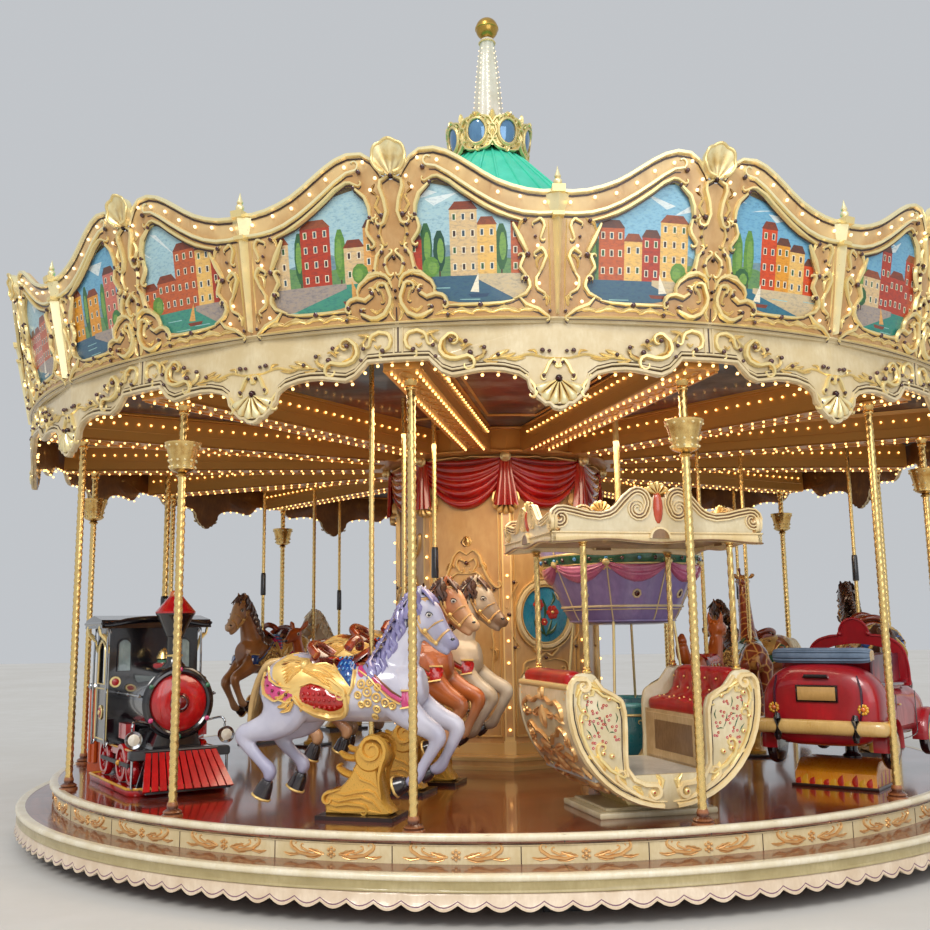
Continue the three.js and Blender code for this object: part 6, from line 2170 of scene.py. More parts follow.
def saddle():
    """A carved saddle: deep seat, raised cantle, rolled pommel and coloured flaps."""
    t = Shape()
    stations = [(-0.42, 1.098, 0.115), (-0.39, 1.130, 0.150), (-0.35, 1.105, 0.160), (-0.28, 1.070, 0.155),
                (-0.20, 1.060, 0.150), (-0.12, 1.075, 0.140), (-0.05, 1.110, 0.110), (0.00, 1.135, 0.080)]
    rows = []
    turn = np.linspace(-1.25, 1.25, 17)
    for x, top, half in stations:
        rows.append(np.column_stack([np.full(len(turn), x), half * np.sin(turn),
                                     top - half * 0.9 * (1 - np.cos(turn))]))
    skin = smooth_rows(rows, 3)
    under = [row - (0, 0, 0.05) for row in skin]
    t.grid(skin + under[::-1], 0, closed_rows=True)
    roll = smooth_path([(-0.13, -0.11, 1.120), (-0.115, -0.07, 1.158), (-0.105, 0.0, 1.178),
                        (-0.115, 0.07, 1.158), (-0.13, 0.11, 1.120)], 4)
    t.tube(roll, 0.032, 12, 0)
    rim = smooth_path([(-0.34, -0.150, 1.075), (-0.40, -0.11, 1.125), (-0.425, 0, 1.150),
                       (-0.40, 0.11, 1.125), (-0.34, 0.150, 1.075)], 4)
    t.tube(rim, 0.030, 12, 0)
    return t


def smooth_rows(rows, steps):
    """More rows between the given ones, along smooth lines."""
    stack = np.array(rows)
    flat = stack.reshape(len(rows), -1)
    return list(smooth_path(flat, steps).reshape(-1, *stack.shape[1:]))


def saddle_flaps():
    """Coloured flaps and gilt edges of the saddle, flat, to be laid on either side."""
    t = Shape()
    draped_panel(t, [(-0.42, 1.07), (-0.30, 1.11), (-0.06, 1.10), (0.01, 1.05), (-0.03, 1.025),
                     (-0.15, 1.02), (-0.30, 1.02), (-0.38, 1.035)], 0.022, 0)
    draped_panel(t, [(-0.30, 1.085), (-0.24, 1.09), (-0.245, 1.035), (-0.30, 1.045)], 0.028, 2)
    draped_panel(t, [(-0.235, 1.09), (-0.17, 1.09), (-0.17, 1.035), (-0.235, 1.035)], 0.028, 3)
    draped_panel(t, [(-0.16, 1.09), (-0.06, 1.085), (-0.035, 1.05), (-0.15, 1.035)], 0.028, 1)
    for a, b in (((-0.238, 1.095), (-0.240, 1.03)), ((-0.166, 1.095), (-0.158, 1.03))):
        t.ridge([a, b], 0.005, 0.036, 4, ends=(1, 1))
    t.ridge(smooth_path([(-0.33, 1.045), (-0.22, 1.028), (-0.10, 1.028), (-0.01, 1.05)], 4), 0.008, 0.034,
            1, ends=(0.5, 0.5))
    return t


def hooves():
    """Four hooves, each with a gilt rim at its sole."""
    t = Shape()
    for y, _, top, toe in LEGS:
        start, end = np.array([top[0], y, top[1]]), np.array([toe[0], y, toe[1]])
        path = [start + (end - start) * part for part in (0.12, 0.3, 0.65, 1.0)]
        t.tube(path, (0.040, 0.050, 0.060, 0.066), 14, 0, flat=0.86, up=(0, 1, 0))
        along = (end - start) / np.linalg.norm(end - start)
        across = np.cross(along, (0, 1, 0))
        ring = [end + SOLE_R * (math.cos(a) * across + 0.9 * math.sin(a) * np.array([0, 1, 0]))
                for a in round_angles(16)]
        t.tube(ring, 0.009, 6, 1, closed=True, up=along)
    return t


def coat(name, main, shade, points, spots=None):
    """A painted coat: main colour, soft second tone, and darker lower legs and muzzle; its hollows take the
    points' colour, which is painted shade where that colour is darker.
    """
    rough = 0.3
    paint = Paint(name, rough, coat=0.6)
    split = paint.tree.nodes.new("ShaderNodeSeparateXYZ")
    paint.put(split.inputs[0], paint.place)
    base = paint.mix(paint.mask(paint.noise(3.2, 4), 0.38, 0.66), linear(main), linear(shade))
    base = paint.mix(paint.maths("MULTIPLY", paint.mask(split.outputs[2], 0.60, 0.22), 0.75), base,
                     linear(points))
    muzzle = paint.maths("MULTIPLY", paint.mask(split.outputs[0], 0.36, 0.62),
                         paint.mask(split.outputs[2], 0.98, 1.10))
    base = paint.mix(muzzle, base, linear(points))
    if spots:
        cells = paint.node("ShaderNodeTexVoronoi",
                           {"Vector": paint.place, "Scale": 11.0, "Randomness": 0.85}, out=0,
                           feature="DISTANCE_TO_EDGE")
        base = paint.mix(paint.mask(cells, 0.05, 0.09), linear(spots), base)
    # Hollows, found by pointiness, take the points' colour: painted shade where that colour is darker than
    # the coat.
    base = paint.mix(paint.mask(paint.pointiness(), 0.495, 0.44), base, linear(points))
    paint.colour(base)
    hair = paint.noise(55, 3, stretch=(1.0, 1.0, 0.25))
    paint.rough(paint.node("ShaderNodeMapRange", {0: hair, 3: rough * 0.75, 4: rough * 1.6}))
    paint.bump(hair, 0.10, 0.0015)
    return paint.material


HARNESS_GOLD = gilding("harness_gold", "f0cb7c", "cf9540", "7a4416", rough=0.28, metal=0.35)
HARNESS_RED = enamel("harness_red", "c8150f", "9c0c0c", rough=0.12, coat=1.0, scale=12, hollow_shade="4c0505")
HARNESS_BLUE = enamel("harness_blue", "1f57a6", "173f80", rough=0.15, coat=1.0, scale=12, hollow_shade="0c2148")
HARNESS_PINK = enamel("harness_pink", "d84a86", "b8336c", rough=0.15, coat=1.0, scale=12, hollow_shade="6c1238")
HARNESS_GREEN = enamel("harness_green", "2d7a58", "1d5840", rough=0.18, coat=0.9, scale=12, hollow_shade="0d2c20")
HARNESS_ORANGE = enamel("harness_orange", "d8702a", "b85318", rough=0.18, coat=0.9, scale=12,
                        hollow_shade="5c2408")
SKY_JEWEL = enamel("jewel_sky", "5aa6dc", "3a80c0", rough=0.06, coat=1.0, scale=30)
DARK_RED = enamel("jewel_dark_red", "7c0f16", "52080c", rough=0.08, coat=1.0, scale=30)
CREAM_STRAP = enamel("bridle_cream", "e0b878", "c89858", rough=0.25, coat=0.7, hollow_shade="6c4418")
EYE_WHITE = enamel("eye_white", "e8e4dc", "cfcac0", rough=0.1, coat=1.0, scale=30)
BLACK_GLOSS = enamel("black_gloss", "17141a", "0d0b10", rough=0.15, coat=0.9, scale=14)
SADDLE_BROWN = enamel("saddle_brown", "5c1c12", "3a0f0a", rough=0.16, coat=1.0, scale=7, hollow_shade="1c0604",
                      ridge="9a4020")
TAIL_TAN = enamel("tail_tan", "a07a44", "7c5a2e", rough=0.35, coat=0.4, scale=14, hollow_shade="5a3e1a",
                  ridge="cba86c")
MANE_VIOLET = enamel("mane_violet", "453f68", "302b50", rough=0.22, coat=0.8, scale=12, hollow_shade="1c1838",
                     ridge="8c86b4")
MANE_DARK = enamel("mane_dark", "2a1a16", "170e0c", rough=0.22, coat=0.8, scale=12, hollow_shade="0a0605",
                   ridge="5c4034")
MANE_CREAM = enamel("mane_cream", "d8c49a", "b89c6a", rough=0.3, coat=0.5, scale=12, hollow_shade="6c5230",
                    ridge="f0e4c4")
HOOF_DARK = enamel("hoof_dark", "332a2c", "1e181a", rough=0.2, coat=0.7, scale=20, hollow_shade="0c0a0a")

# Each horse: deck azimuth, radius, lift, coat and the colours of its hair and harness
HORSES = {
    "grey_horse": (-19, 3.65, 0.0, ("c9c7d3", "b1afc1", "8884a6"), MANE_VIOLET, TAIL_TAN,
                   (HARNESS_RED, HARNESS_BLUE, HARNESS_PINK)),
    "chestnut_horse": (-22, 2.56, 0.12, ("b8632a", "9a4c1e", "d8b488"), MANE_DARK, MANE_DARK,
                       (HARNESS_GREEN, HARNESS_BLUE, HARNESS_RED)),
    "white_horse": (-20, 2.04, 0.15, ("d8cdb8", "bca684", "7c5a3c"), MANE_DARK, MANE_DARK,
                    (HARNESS_BLUE, HARNESS_GREEN, HARNESS_RED)),
    "brown_horse": (-122, 3.06, 0.15, ("a8723f", "87562c", "d2b08a"), MANE_DARK, MANE_DARK,
                    (HARNESS_PINK, HARNESS_PINK, HARNESS_BLUE)),
    "dark_horse": (83, 3.62, 0.15, ("4a2a22", "32190f", "6c4434"), MANE_DARK, MANE_DARK,
                   (HARNESS_RED, HARNESS_GREEN, HARNESS_BLUE)),
    "roan_horse": (120, 3.60, 0.04, ("a8663e", "8a4a28", "c89c74"), MANE_DARK, MANE_CREAM,
                   (HARNESS_BLUE, HARNESS_RED, HARNESS_GREEN)),
    "bay_horse": (180, 3.60, 0.10, ("7c4a30", "5c3220", "2c1812"), MANE_DARK, MANE_DARK,
                  (HARNESS_RED, HARNESS_BLUE, HARNESS_ORANGE)),
    "pale_horse": (-150, 3.60, 0.0, ("d8c8ae", "bfa67e", "8c7050"), MANE_CREAM, MANE_CREAM,
                   (HARNESS_GREEN, HARNESS_PINK, HARNESS_RED)),
}
# Horses whose pole has no black sleeve
BARE_POLES = ("grey_horse", "chestnut_horse")
HORSE_POLE = (0.07, 3.52)
HORSE_SLEEVE = (1.52, 1.78)
RIDE_POLE_TOP = 3.118
POLE_SIDES = 8
POLE_STEP = 0.019


def figure_pole(low, high):
    """A slim twisted pole."""
    t = Shape()
    angles = np.arange(POLE_SIDES) * math.tau / POLE_SIDES
    rings = []
    for height in np.linspace(low, high, int((high - low) / POLE_STEP)):
        radius = 0.0190 + 0.0020 * np.cos(2 * (angles - math.tau * height / TWIST_PITCH))
        rings.append(np.column_stack([radius * np.cos(angles), radius * np.sin(angles),
                                      np.full(POLE_SIDES, height)]))
    t.grid(rings, 0, closed_ring=True, caps=True)
    return t


def sleeve(shape, low, high, slot):
    """A smooth sleeve round a pole."""
    shape.lathe([(0.018, low), (0.030, low), (0.032, low + 0.02), (0.030, high - 0.03), (0.026, high),
                 (0.018, high)], 14, slot, closed=True)


def add_horses():
    """Eight horses from one set of meshes, each in its own colours, on its pole and stand."""
    body = horse_body()
    skin = Skin(body)
    mane, crest_roll, tail = horse_hair()
    hair = Shape()
    gear, flaps = horse_trappings(), saddle_flaps()
    tack = Shape()
    seat = saddle()
    for side in (-1, 1):
        hair.copy_in(mane, skin.lay(side), flip=side > 0)
        tack.copy_in(gear, skin.lay(side), flip=side > 0)
        seat.copy_in(flaps, skin.lay(side), flip=side > 0)
    hair.copy_in(crest_roll, lambda p: p)
    mouth = Shape()
    mouth.ball((0.525, 0, 1.118), 0.030, 8, 6, stretch=(1.1, 0.75, 0.5))
    feet = hooves()
    bare_pole, pole = figure_pole(*HORSE_POLE), figure_pole(*HORSE_POLE)
    sleeve(pole, *HORSE_SLEEVE, 1)
    bare_mesh = bare_pole.mesh("horse_bare_pole", 50)
    parts = {"hair": hair.thin(0.35).mesh("horse_hair", 60), "tail": tail.thin(0.5).mesh("horse_tail", 60),
             "harness": tack.mesh("horse_harness", 60), "saddle": seat.thin(0.8).mesh("horse_saddle", 50),
             "hooves": feet.thin(0.6).mesh("horse_hooves", 50), "mouth": mouth.mesh("horse_mouth"),
             "pole": pole.mesh("horse_pole", 50)}
    stand = stand_mesh()
    for name, (azimuth, radius, lift, colours, mane_paint, tail_paint, cloth) in HORSES.items():
        place = on_deck(azimuth, radius) @ Matrix.Translation((0, 0, lift))
        paints = {
            "hair": [mane_paint], "tail": [tail_paint],
            "harness": [HARNESS_GOLD, cloth[0], cloth[1], cloth[2], BLACK_GLOSS, SKY_JEWEL, DARK_RED,
                        CREAM_STRAP, EYE_WHITE],
            "saddle": [SADDLE_BROWN, HARNESS_RED, HARNESS_GREEN, HARNESS_ORANGE, HARNESS_GOLD],
            "hooves": [HOOF_DARK, HARNESS_GOLD], "mouth": [DARK_RED], "pole": [BRASS, BLACK_GLOSS]}
        piece(f"{name}_figure", body.copy(), [coat(f"{name}_coat", *colours)], f"{name}_body",
              stands_for=[name], place=place)
        for part, mesh in parts.items():
            mesh = bare_mesh if part == "pole" and name in BARE_POLES else mesh
            piece(f"{name}_{part}", mesh.copy(), paints[part], f"{name}_body", place=place)
        piece(f"{name}_scroll_stand", stand, [STAND_GOLD, STAND_PLATE],
              stands_for=[f"{name}_stand"], place=on_deck(azimuth, radius))


STAND_GOLD = gilding("stand_gold", "d9a648", "b97f28", "6b3d10", rough=0.24, metal=0.3)
STAND_PLATE = enamel("stand_plate", "2c1512", "1a0c0a", rough=0.3, coat=0.6)
STAND_OUTLINE = [(-0.300, 0.026), (0.140, 0.026), (0.115, 0.11), (0.085, 0.22), (0.070, 0.31),
                 (0.060, 0.36), (-0.055, 0.405), (-0.085, 0.36), (-0.115, 0.30), (-0.155, 0.24),
                 (-0.215, 0.19), (-0.285, 0.165), (-0.310, 0.11)]


def stand_mesh():
    """The cast scroll foot that a horse's pole slides in."""
    t = Shape()
    half = 0.080
    outline = smooth_path(STAND_OUTLINE + STAND_OUTLINE[:1], 4)[:-1]
    t.plate(outline, -half, half, 0, "y", bevel=0.014)
    turn = round_angles(40)
    volute = np.column_stack([0.015 + 0.112 * np.cos(turn), 0.405 + 0.108 * np.sin(turn)])
    t.plate(volute, -half - 0.012, half + 0.012, 0, "y", bevel=0.020)
    face = Shape()
    face.ridge(scroll_path([(0.10, 0.14), (0.085, 0.25), (0.10, 0.34), (0.125, 0.40)], None, (0.098, 560),
                           5), 0.020, 0.034, 0, turn=13,
               base=0.008, ends=(0.3, 0.6))
    face.ridge(scroll_path([(-0.30, 0.10), (-0.22, 0.085), (-0.12, 0.10), (-0.03, 0.09)], None,
                           (0.035, -330), 5), 0.015, 0.024, 0)
    face.ridge(smooth_path([(-0.29, 0.13), (-0.18, 0.115), (-0.06, 0.145), (0.04, 0.115), (0.10, 0.05)], 5),
               0.012, 0.022, 0)
    face.ridge(smooth_path([(-0.24, 0.165), (-0.14, 0.155), (-0.03, 0.185), (0.05, 0.17), (0.105, 0.10)],
                           5), 0.012, 0.020, 0)
    face.ridge(smooth_path([(-0.10, 0.33), (-0.05, 0.26), (0.02, 0.24), (0.07, 0.20)], 5), 0.010, 0.018, 0)
    face.ridge(smooth_path([(-0.27, 0.055), (-0.15, 0.045), (0.0, 0.055), (0.11, 0.040)], 5), 0.011, 0.018,
               0)
    face.ridge(curl(smooth_path([(-0.19, 0.19), (-0.25, 0.175), (-0.285, 0.165)], 4), 0.040, 330), 0.014,
               0.030, 0, turn=13)
    on_sides(t, face, half - 0.004)
    for points, radii in [([(-0.06, 0.40), (-0.12, 0.385), (-0.18, 0.395), (-0.225, 0.425)],
                           (0.030, 0.026, 0.022, 0.012)),
                          ([(-0.13, 0.27), (-0.19, 0.29), (-0.235, 0.325), (-0.215, 0.345)],
                           (0.026, 0.022, 0.016, 0.010)),
                          ([(-0.09, 0.44), (-0.13, 0.445), (-0.16, 0.465)], (0.024, 0.018, 0.010))]:
        line = smooth_path(points, 5)
        size = np.interp(np.linspace(0, 1, len(line)), np.linspace(0, 1, len(radii)), radii)
        t.tube(np.column_stack([line[:, 0], np.zeros(len(line)), line[:, 1]]), size, 8, 0,
               flat=2.9 * np.ones(len(line)), up=(0, 1, 0))
    t.lathe([(0.023, 0.45), (0.040, 0.45), (0.040, 0.512), (0.032, 0.520), (0.023, 0.520)], 16, 0,
            closed=True)
    t.box((-0.34, -0.165, 0.0), (0.205, 0.165, 0.027), 1)
    return t.mesh("scroll_stand", 45)


# Relief and small parts shared by the rides

def on_sides(shape, face, half, sides=(-1, 1)):
    """Sets a flat relief (x along, y up, z out) on the long sides of a figure."""
    for side in sides:
        def upright(p, side=side):
            return np.column_stack([p[:, 0], side * (half + p[:, 2]), p[:, 1]])
        shape.copy_in(face, upright, flip=side > 0)


def on_ends(shape, face, reach, ends=(-1, 1)):
    """Sets a flat relief (x across, y up, z out) on the front and back of a figure."""
    for end in ends:
        def upright(p, end=end):
            return np.column_stack([end * (reach + p[:, 2]), p[:, 0], p[:, 1]])
        shape.copy_in(face, upright, flip=end < 0)


def jewel(shape, x, y, radius, rim=1, stone=2, base=0.0):
    """A cut stone in a gilt rim, on a flat relief."""
    turn = round_angles(14)
    ring = np.column_stack([x + radius * np.cos(turn), y + radius * np.sin(turn),
                            np.full(len(turn), base + 0.003)])
    shape.tube(ring, radius * 0.28, 5, rim, closed=True)
    shape.ball((x, y, base), radius * 0.85, 10, 6, stone, stretch=(1, 1, 0.6))


def rose(shape, x, y, radius, petal, heart):
    """A painted flower in low relief."""
    for i in range(5):
        turn = math.tau * i / 5 + 40 * x
        shape.ball((x + radius * 0.5 * math.cos(turn), y + radius * 0.5 * math.sin(turn), 0.002),
                   radius * 0.55, 7, 4, petal, stretch=(1, 1, 0.4))
    shape.ball((x, y, 0.006), radius * 0.34, 6, 4, heart, stretch=(1, 1, 0.6))


def circle(radius, steps=24, centre=(0.0, 0.0)):
    """A flat circle."""
    turn = round_angles(steps)
    return np.column_stack([centre[0] + radius * np.cos(turn), centre[1] + radius * np.sin(turn)])


def ring_tube(shape, centre, radius, thick, axis, slot=0, steps=24, sides=7):
    """A round ring about an axis through a point."""
    flat = circle(radius, steps)
    shape.tube(lift_flat(flat, 0.0, axis) + np.array(centre), thick, sides, slot, closed=True,
               up={"x": (1, 0, 0), "y": (0, 1, 0), "z": (0, 0, 1)}[axis])


def spun(shape, profile, segments, slot, centre, axis):
    """A profile of (radius, distance along) turned about the x or y axis through a point."""
    turned_form = Shape()
    turned_form.lathe(profile, segments, slot)
    order = {"x": (2, 0, 1), "y": (0, 2, 1)}[axis]
    shape.copy_in(turned_form, lambda p: p[:, order] + np.array(centre))


# Gondola

GONDOLA = (11, 3.40)
HULL_R = 0.69
HULL_MIDDLE = 0.76
HULL_HALF = 0.515
HULL_WALL = 0.034
HULL_FLOOR = 0.290
HULL_TIP = 98
DOOR_EDGE = smooth_path([(0.645, 0.905), (0.615, 0.938), (0.560, 0.946), (0.500, 0.935), (0.455, 0.885),
                         (0.415, 0.838), (0.350, 0.808), (0.298, 0.770), (0.277, 0.700), (0.274, 0.580),
                         (0.278, 0.450), (0.272, 0.340), (0.270, 0.292)], 4)


def hull_arc(radius, first, last, steps=40):
    """Points (x, height) of the rocker-shaped hull between two angles in degrees from its lowest."""
    turn = np.radians(np.linspace(first, last, steps))
    return np.column_stack([radius * np.sin(turn), HULL_MIDDLE - radius * np.cos(turn)])


def hull_side_relief():
    """A side panel's ornament: mouldings, volutes, leaves, knobs and roses."""
    t = Shape()
    t.ridge(hull_arc(HULL_R - 0.020, 4, 97, 50), 0.020, 0.028, 4, ends=(1, 1))
    # A thin dark line in the groove between two mouldings: painted shade.
    t.ridge(hull_arc(HULL_R - 0.044, 6, 95, 44), 0.0045, 0.006, 6, ends=(1, 1))
    t.ridge(hull_arc(HULL_R - 0.060, 10, 88, 44), 0.011, 0.018, 4, ends=(0.4, 0.6))
    t.ridge(scroll_path([(0.668, 0.82), (0.660, 0.872), (0.628, 0.908), (0.578, 0.912)], None, (0.044, 430),
                        5),
            0.019, 0.030, 4, ends=(1, 0.4))
    t.ridge(DOOR_EDGE[14:] + (0.020, -0.006), 0.018, 0.028, 4, ends=(0.8, 0.7))
    # A thin dark line beside the door's moulding: painted shade.
    t.ridge(DOOR_EDGE[18:] + (0.043, -0.014), 0.0045, 0.007, 6, ends=(0.6, 0.6))
    t.ridge(scroll_path([(0.300, 0.43), (0.293, 0.34), (0.245, 0.268), (0.170, 0.232), (0.120, 0.232)],
                        None, (0.050, 430), 5), 0.020, 0.030, 4, ends=(0.6, 0.4))
    t.ridge(scroll_path([(0.02, 0.118), (0.14, 0.136), (0.26, 0.188), (0.35, 0.262)], None, (0.040, 330)),
            0.015, 0.024, 4, ends=(0.3, 0.4))
    for points, first, last, width in [
        ([(0.335, 0.290), (0.405, 0.335), (0.470, 0.400), (0.490, 0.455)], (0.030, -250), (0.036, 320),
         0.015),
        ([(0.512, 0.410), (0.565, 0.490), (0.598, 0.580), (0.600, 0.660)], (0.022, -230), (0.034, 330),
         0.013),
        ([(0.330, 0.760), (0.380, 0.785), (0.430, 0.792), (0.475, 0.832)], (0.026, 240), (0.030, -260),
         0.012),
        ([(0.600, 0.720), (0.612, 0.770), (0.590, 0.830), (0.545, 0.850)], (0.022, -240), (0.032, 320),
         0.012),
    ]:
        t.ridge(scroll_path(points, first, last), width, width * 1.7, 1, ends=(0.4, 0.4))
    for spine, width in [
        ([(0.300, 0.235), (0.350, 0.290), (0.365, 0.360)], 0.030),
        ([(0.440, 0.330), (0.500, 0.400), (0.560, 0.430)], 0.028),
        ([(0.560, 0.890), (0.600, 0.860), (0.628, 0.790)], 0.022),
        ([(0.440, 0.826), (0.500, 0.866), (0.560, 0.880)], 0.024),
        ([(0.070, 0.190), (0.055, 0.250), (0.095, 0.295)], 0.026),
        ([(0.190, 0.160), (0.215, 0.205), (0.260, 0.225)], 0.024),
    ]:
        t.leaf(spine, width, 0.022, 1, lobes=3)
    for x, y, radius in ((0.575, 0.705, 0.020), (0.560, 0.795, 0.019), (0.595, 0.640, 0.017),
                         (0.392, 0.420, 0.018), (0.452, 0.440, 0.018), (0.401, 0.778, 0.016),
                         (0.117, 0.182, 0.022), (0.548, 0.545, 0.016)):
        t.ball((x, y, 0.010), radius, 12, 8, 1, stretch=(1, 1, 0.9))
        t.ball((x, y, 0.010 + radius * 0.75), radius * 0.42, 8, 5, 3, stretch=(1, 1, 0.6))
    gondola_roses(t)
    return mirrored(t)


def gondola_roses(t):
    """A spray of small roses and leaves over half of a side panel."""
    draw = random.Random(21)
    for x, y in ((0.500, 0.700), (0.535, 0.752), (0.470, 0.642), (0.401, 0.661), (0.439, 0.605),
                 (0.368, 0.595), (0.490, 0.553), (0.515, 0.490), (0.430, 0.725), (0.522, 0.630),
                 (0.350, 0.535), (0.445, 0.500)):
        for step in range(3):
            turn = math.tau * (step / 3 + draw.random() / 3)
            rose(t, x + 0.017 * math.cos(turn), y + 0.017 * math.sin(turn), 0.0105, 9 if step else 3, 4)
    for spine in ([(0.470, 0.530), (0.500, 0.600), (0.540, 0.680)],
                  [(0.400, 0.560), (0.430, 0.620), (0.440, 0.700)],
                  [(0.545, 0.690), (0.555, 0.740), (0.535, 0.800)],
                  [(0.360, 0.620), (0.345, 0.660), (0.370, 0.710)],
                  [(0.460, 0.690), (0.480, 0.740), (0.470, 0.790)],
                  [(0.510, 0.520), (0.540, 0.570), (0.570, 0.600)],
                  [(0.350, 0.560), (0.385, 0.570), (0.420, 0.560)],
                  [(0.440, 0.640), (0.480, 0.660), (0.510, 0.655)]):
        t.leaf(spine, 0.006, 0.005, 5, lobes=3)


def hull_end_relief():
    """Acanthus in relief for a curved end: x across the gondola, y down the curve from its top."""
    half = Shape()
    wide = HULL_HALF - 0.03
    half.ridge([(wide, 0.03), (wide, 0.86)], 0.011, 0.018, 8, ends=(1, 1))
    half.ridge([(wide - 0.035, 0.07), (wide - 0.035, 0.83)], 0.006, 0.012, 8, ends=(1, 1))
    for points, first, last, width in [
        ([(0.00, 0.10), (0.09, 0.085), (0.19, 0.12), (0.28, 0.10), (0.37, 0.13)], None, (0.050, 320),
         0.017),
        ([(0.03, 0.40), (0.10, 0.34), (0.20, 0.33), (0.29, 0.27), (0.36, 0.29)], (0.035, 260), (0.045, 320),
         0.016),
        ([(0.04, 0.46), (0.13, 0.50), (0.22, 0.46), (0.33, 0.50), (0.40, 0.46)], (0.035, -260),
         (0.040, -320), 0.015),
        ([(0.05, 0.66), (0.14, 0.60), (0.25, 0.62), (0.34, 0.68)], (0.035, 260), (0.045, 300), 0.015),
        ([(0.00, 0.80), (0.12, 0.82), (0.24, 0.78), (0.36, 0.80)], None, (0.030, -300), 0.013),
    ]:
        half.ridge(scroll_path(points, first, last), width, width * 1.7, 8)
    for spine, width in [
        ([(0.0, 0.14), (0.03, 0.22), (0.0, 0.30)], 0.040),
        ([(0.06, 0.16), (0.14, 0.20), (0.22, 0.19)], 0.034),
        ([(0.05, 0.44), (0.14, 0.42), (0.24, 0.40)], 0.034),
        ([(0.10, 0.56), (0.20, 0.55), (0.30, 0.58)], 0.032),
        ([(0.0, 0.50), (0.03, 0.58), (0.0, 0.68)], 0.038),
        ([(0.24, 0.20), (0.32, 0.20), (0.40, 0.24)], 0.028),
        ([(0.30, 0.37), (0.37, 0.38), (0.42, 0.33)], 0.026),
        ([(0.18, 0.70), (0.26, 0.72), (0.33, 0.76)], 0.028),
        ([(0.38, 0.55), (0.42, 0.62), (0.38, 0.70)], 0.026),
        ([(0.0, 0.02), (0.03, 0.05), (0.0, 0.09)], 0.030),
    ]:
        half.leaf(spine, width, 0.030, 8, lobes=4)
    for x, y in ((0.37, 0.16), (0.36, 0.30), (0.0, 0.38), (0.34, 0.62)):
        jewel(half, x, y, 0.018, 1, 2, base=0.006)
    return mirrored(half)


def gondola_hull():
    """The rocker-shaped hull with its carved sides and ends, floor, foot and keel."""
    t = Shape()
    right = DOOR_EDGE
    outline = np.vstack([hull_arc(HULL_R, -HULL_TIP, HULL_TIP, 70), right, (right * (-1, 1))[::-1]])
    for side in (-1, 1):
        inner, outer = side * (HULL_HALF - HULL_WALL), side * HULL_HALF
        t.plate(outline, min(inner, outer), max(inner, outer), 0, "y", bevel=0.005)
    rows = []
    for (x, z), (inside_x, inside_z) in zip(hull_arc(HULL_R - 0.006, -HULL_TIP + 1, HULL_TIP - 1, 60),
                                            hull_arc(HULL_R - 0.035, -HULL_TIP + 1, HULL_TIP - 1, 60)):
        edge = HULL_HALF - HULL_WALL + 0.002
        rows.append([(x, -edge, z), (x, edge, z), (inside_x, edge, inside_z), (inside_x, -edge, inside_z)])
    t.grid(rows, 0, closed_ring=True, caps=True)
    lip = hull_arc(HULL_R - 0.018, HULL_TIP, HULL_TIP, 2)[0]
    for end in (-1, 1):
        t.tube([(end * lip[0], -HULL_HALF, lip[1]), (end * lip[0], HULL_HALF, lip[1])], 0.024, 10, 1)
    t.box((-0.500, -0.480, 0.256), (0.500, 0.480, HULL_FLOOR), 7)
    on_sides(t, hull_side_relief(), HULL_HALF - 0.002)
    end_relief = hull_end_relief()
    for end in (-1, 1):
        def wrap(p, end=end):
            turn = math.radians(HULL_TIP) - p[:, 1] / HULL_R
            reach = HULL_R - 0.007 + p[:, 2]
            return np.column_stack([end * reach * np.sin(turn), p[:, 0], HULL_MIDDLE - reach * np.cos(turn)])
        t.copy_in(end_relief, wrap)
    t.plate(oblong(-0.42, -0.35, 0.42, 0.35), 0.0, 0.040, 0, "z", bevel=0.008)
    t.plate(oblong(-0.36, -0.30, 0.36, 0.30), 0.038, 0.060, 0, "z", bevel=0.008)
    keel = np.vstack([hull_arc(HULL_R - 0.004, -17, 17, 12), [(0.17, 0.05), (-0.17, 0.05)]])
    t.plate(keel, -0.24, 0.24, 1, "y")
    return t


def beside(path, offset):
    """A flat line shifted to its left by an offset."""
    along = np.gradient(path, axis=0)
    along /= np.linalg.norm(along, axis=1)[:, None] + 1e-9
    return path + offset * np.column_stack([-along[:, 1], along[:, 0]])


def fluted(shape, path, width, depth, ground, rib):
    """A moulding of three ribs on a darker ground along a flat line."""
    shape.ridge(path, width, depth * 0.45, ground, ends=(0.9, 0.7), turn=15)
    for offset in (-0.66, 0.0, 0.66):
        shape.ridge(beside(path, offset * width), width * 0.25, depth, rib, ends=(0.8, 0.8), turn=15)


CREST_FOOT = 1.865
CREST_LINE = [(0.640, 0.140), (0.550, 0.116), (0.434, 0.102), (0.347, 0.124), (0.289, 0.170),
              (0.231, 0.235), (0.159, 0.278), (0.100, 0.258), (0.074, 0.200), (0.088, 0.145)]


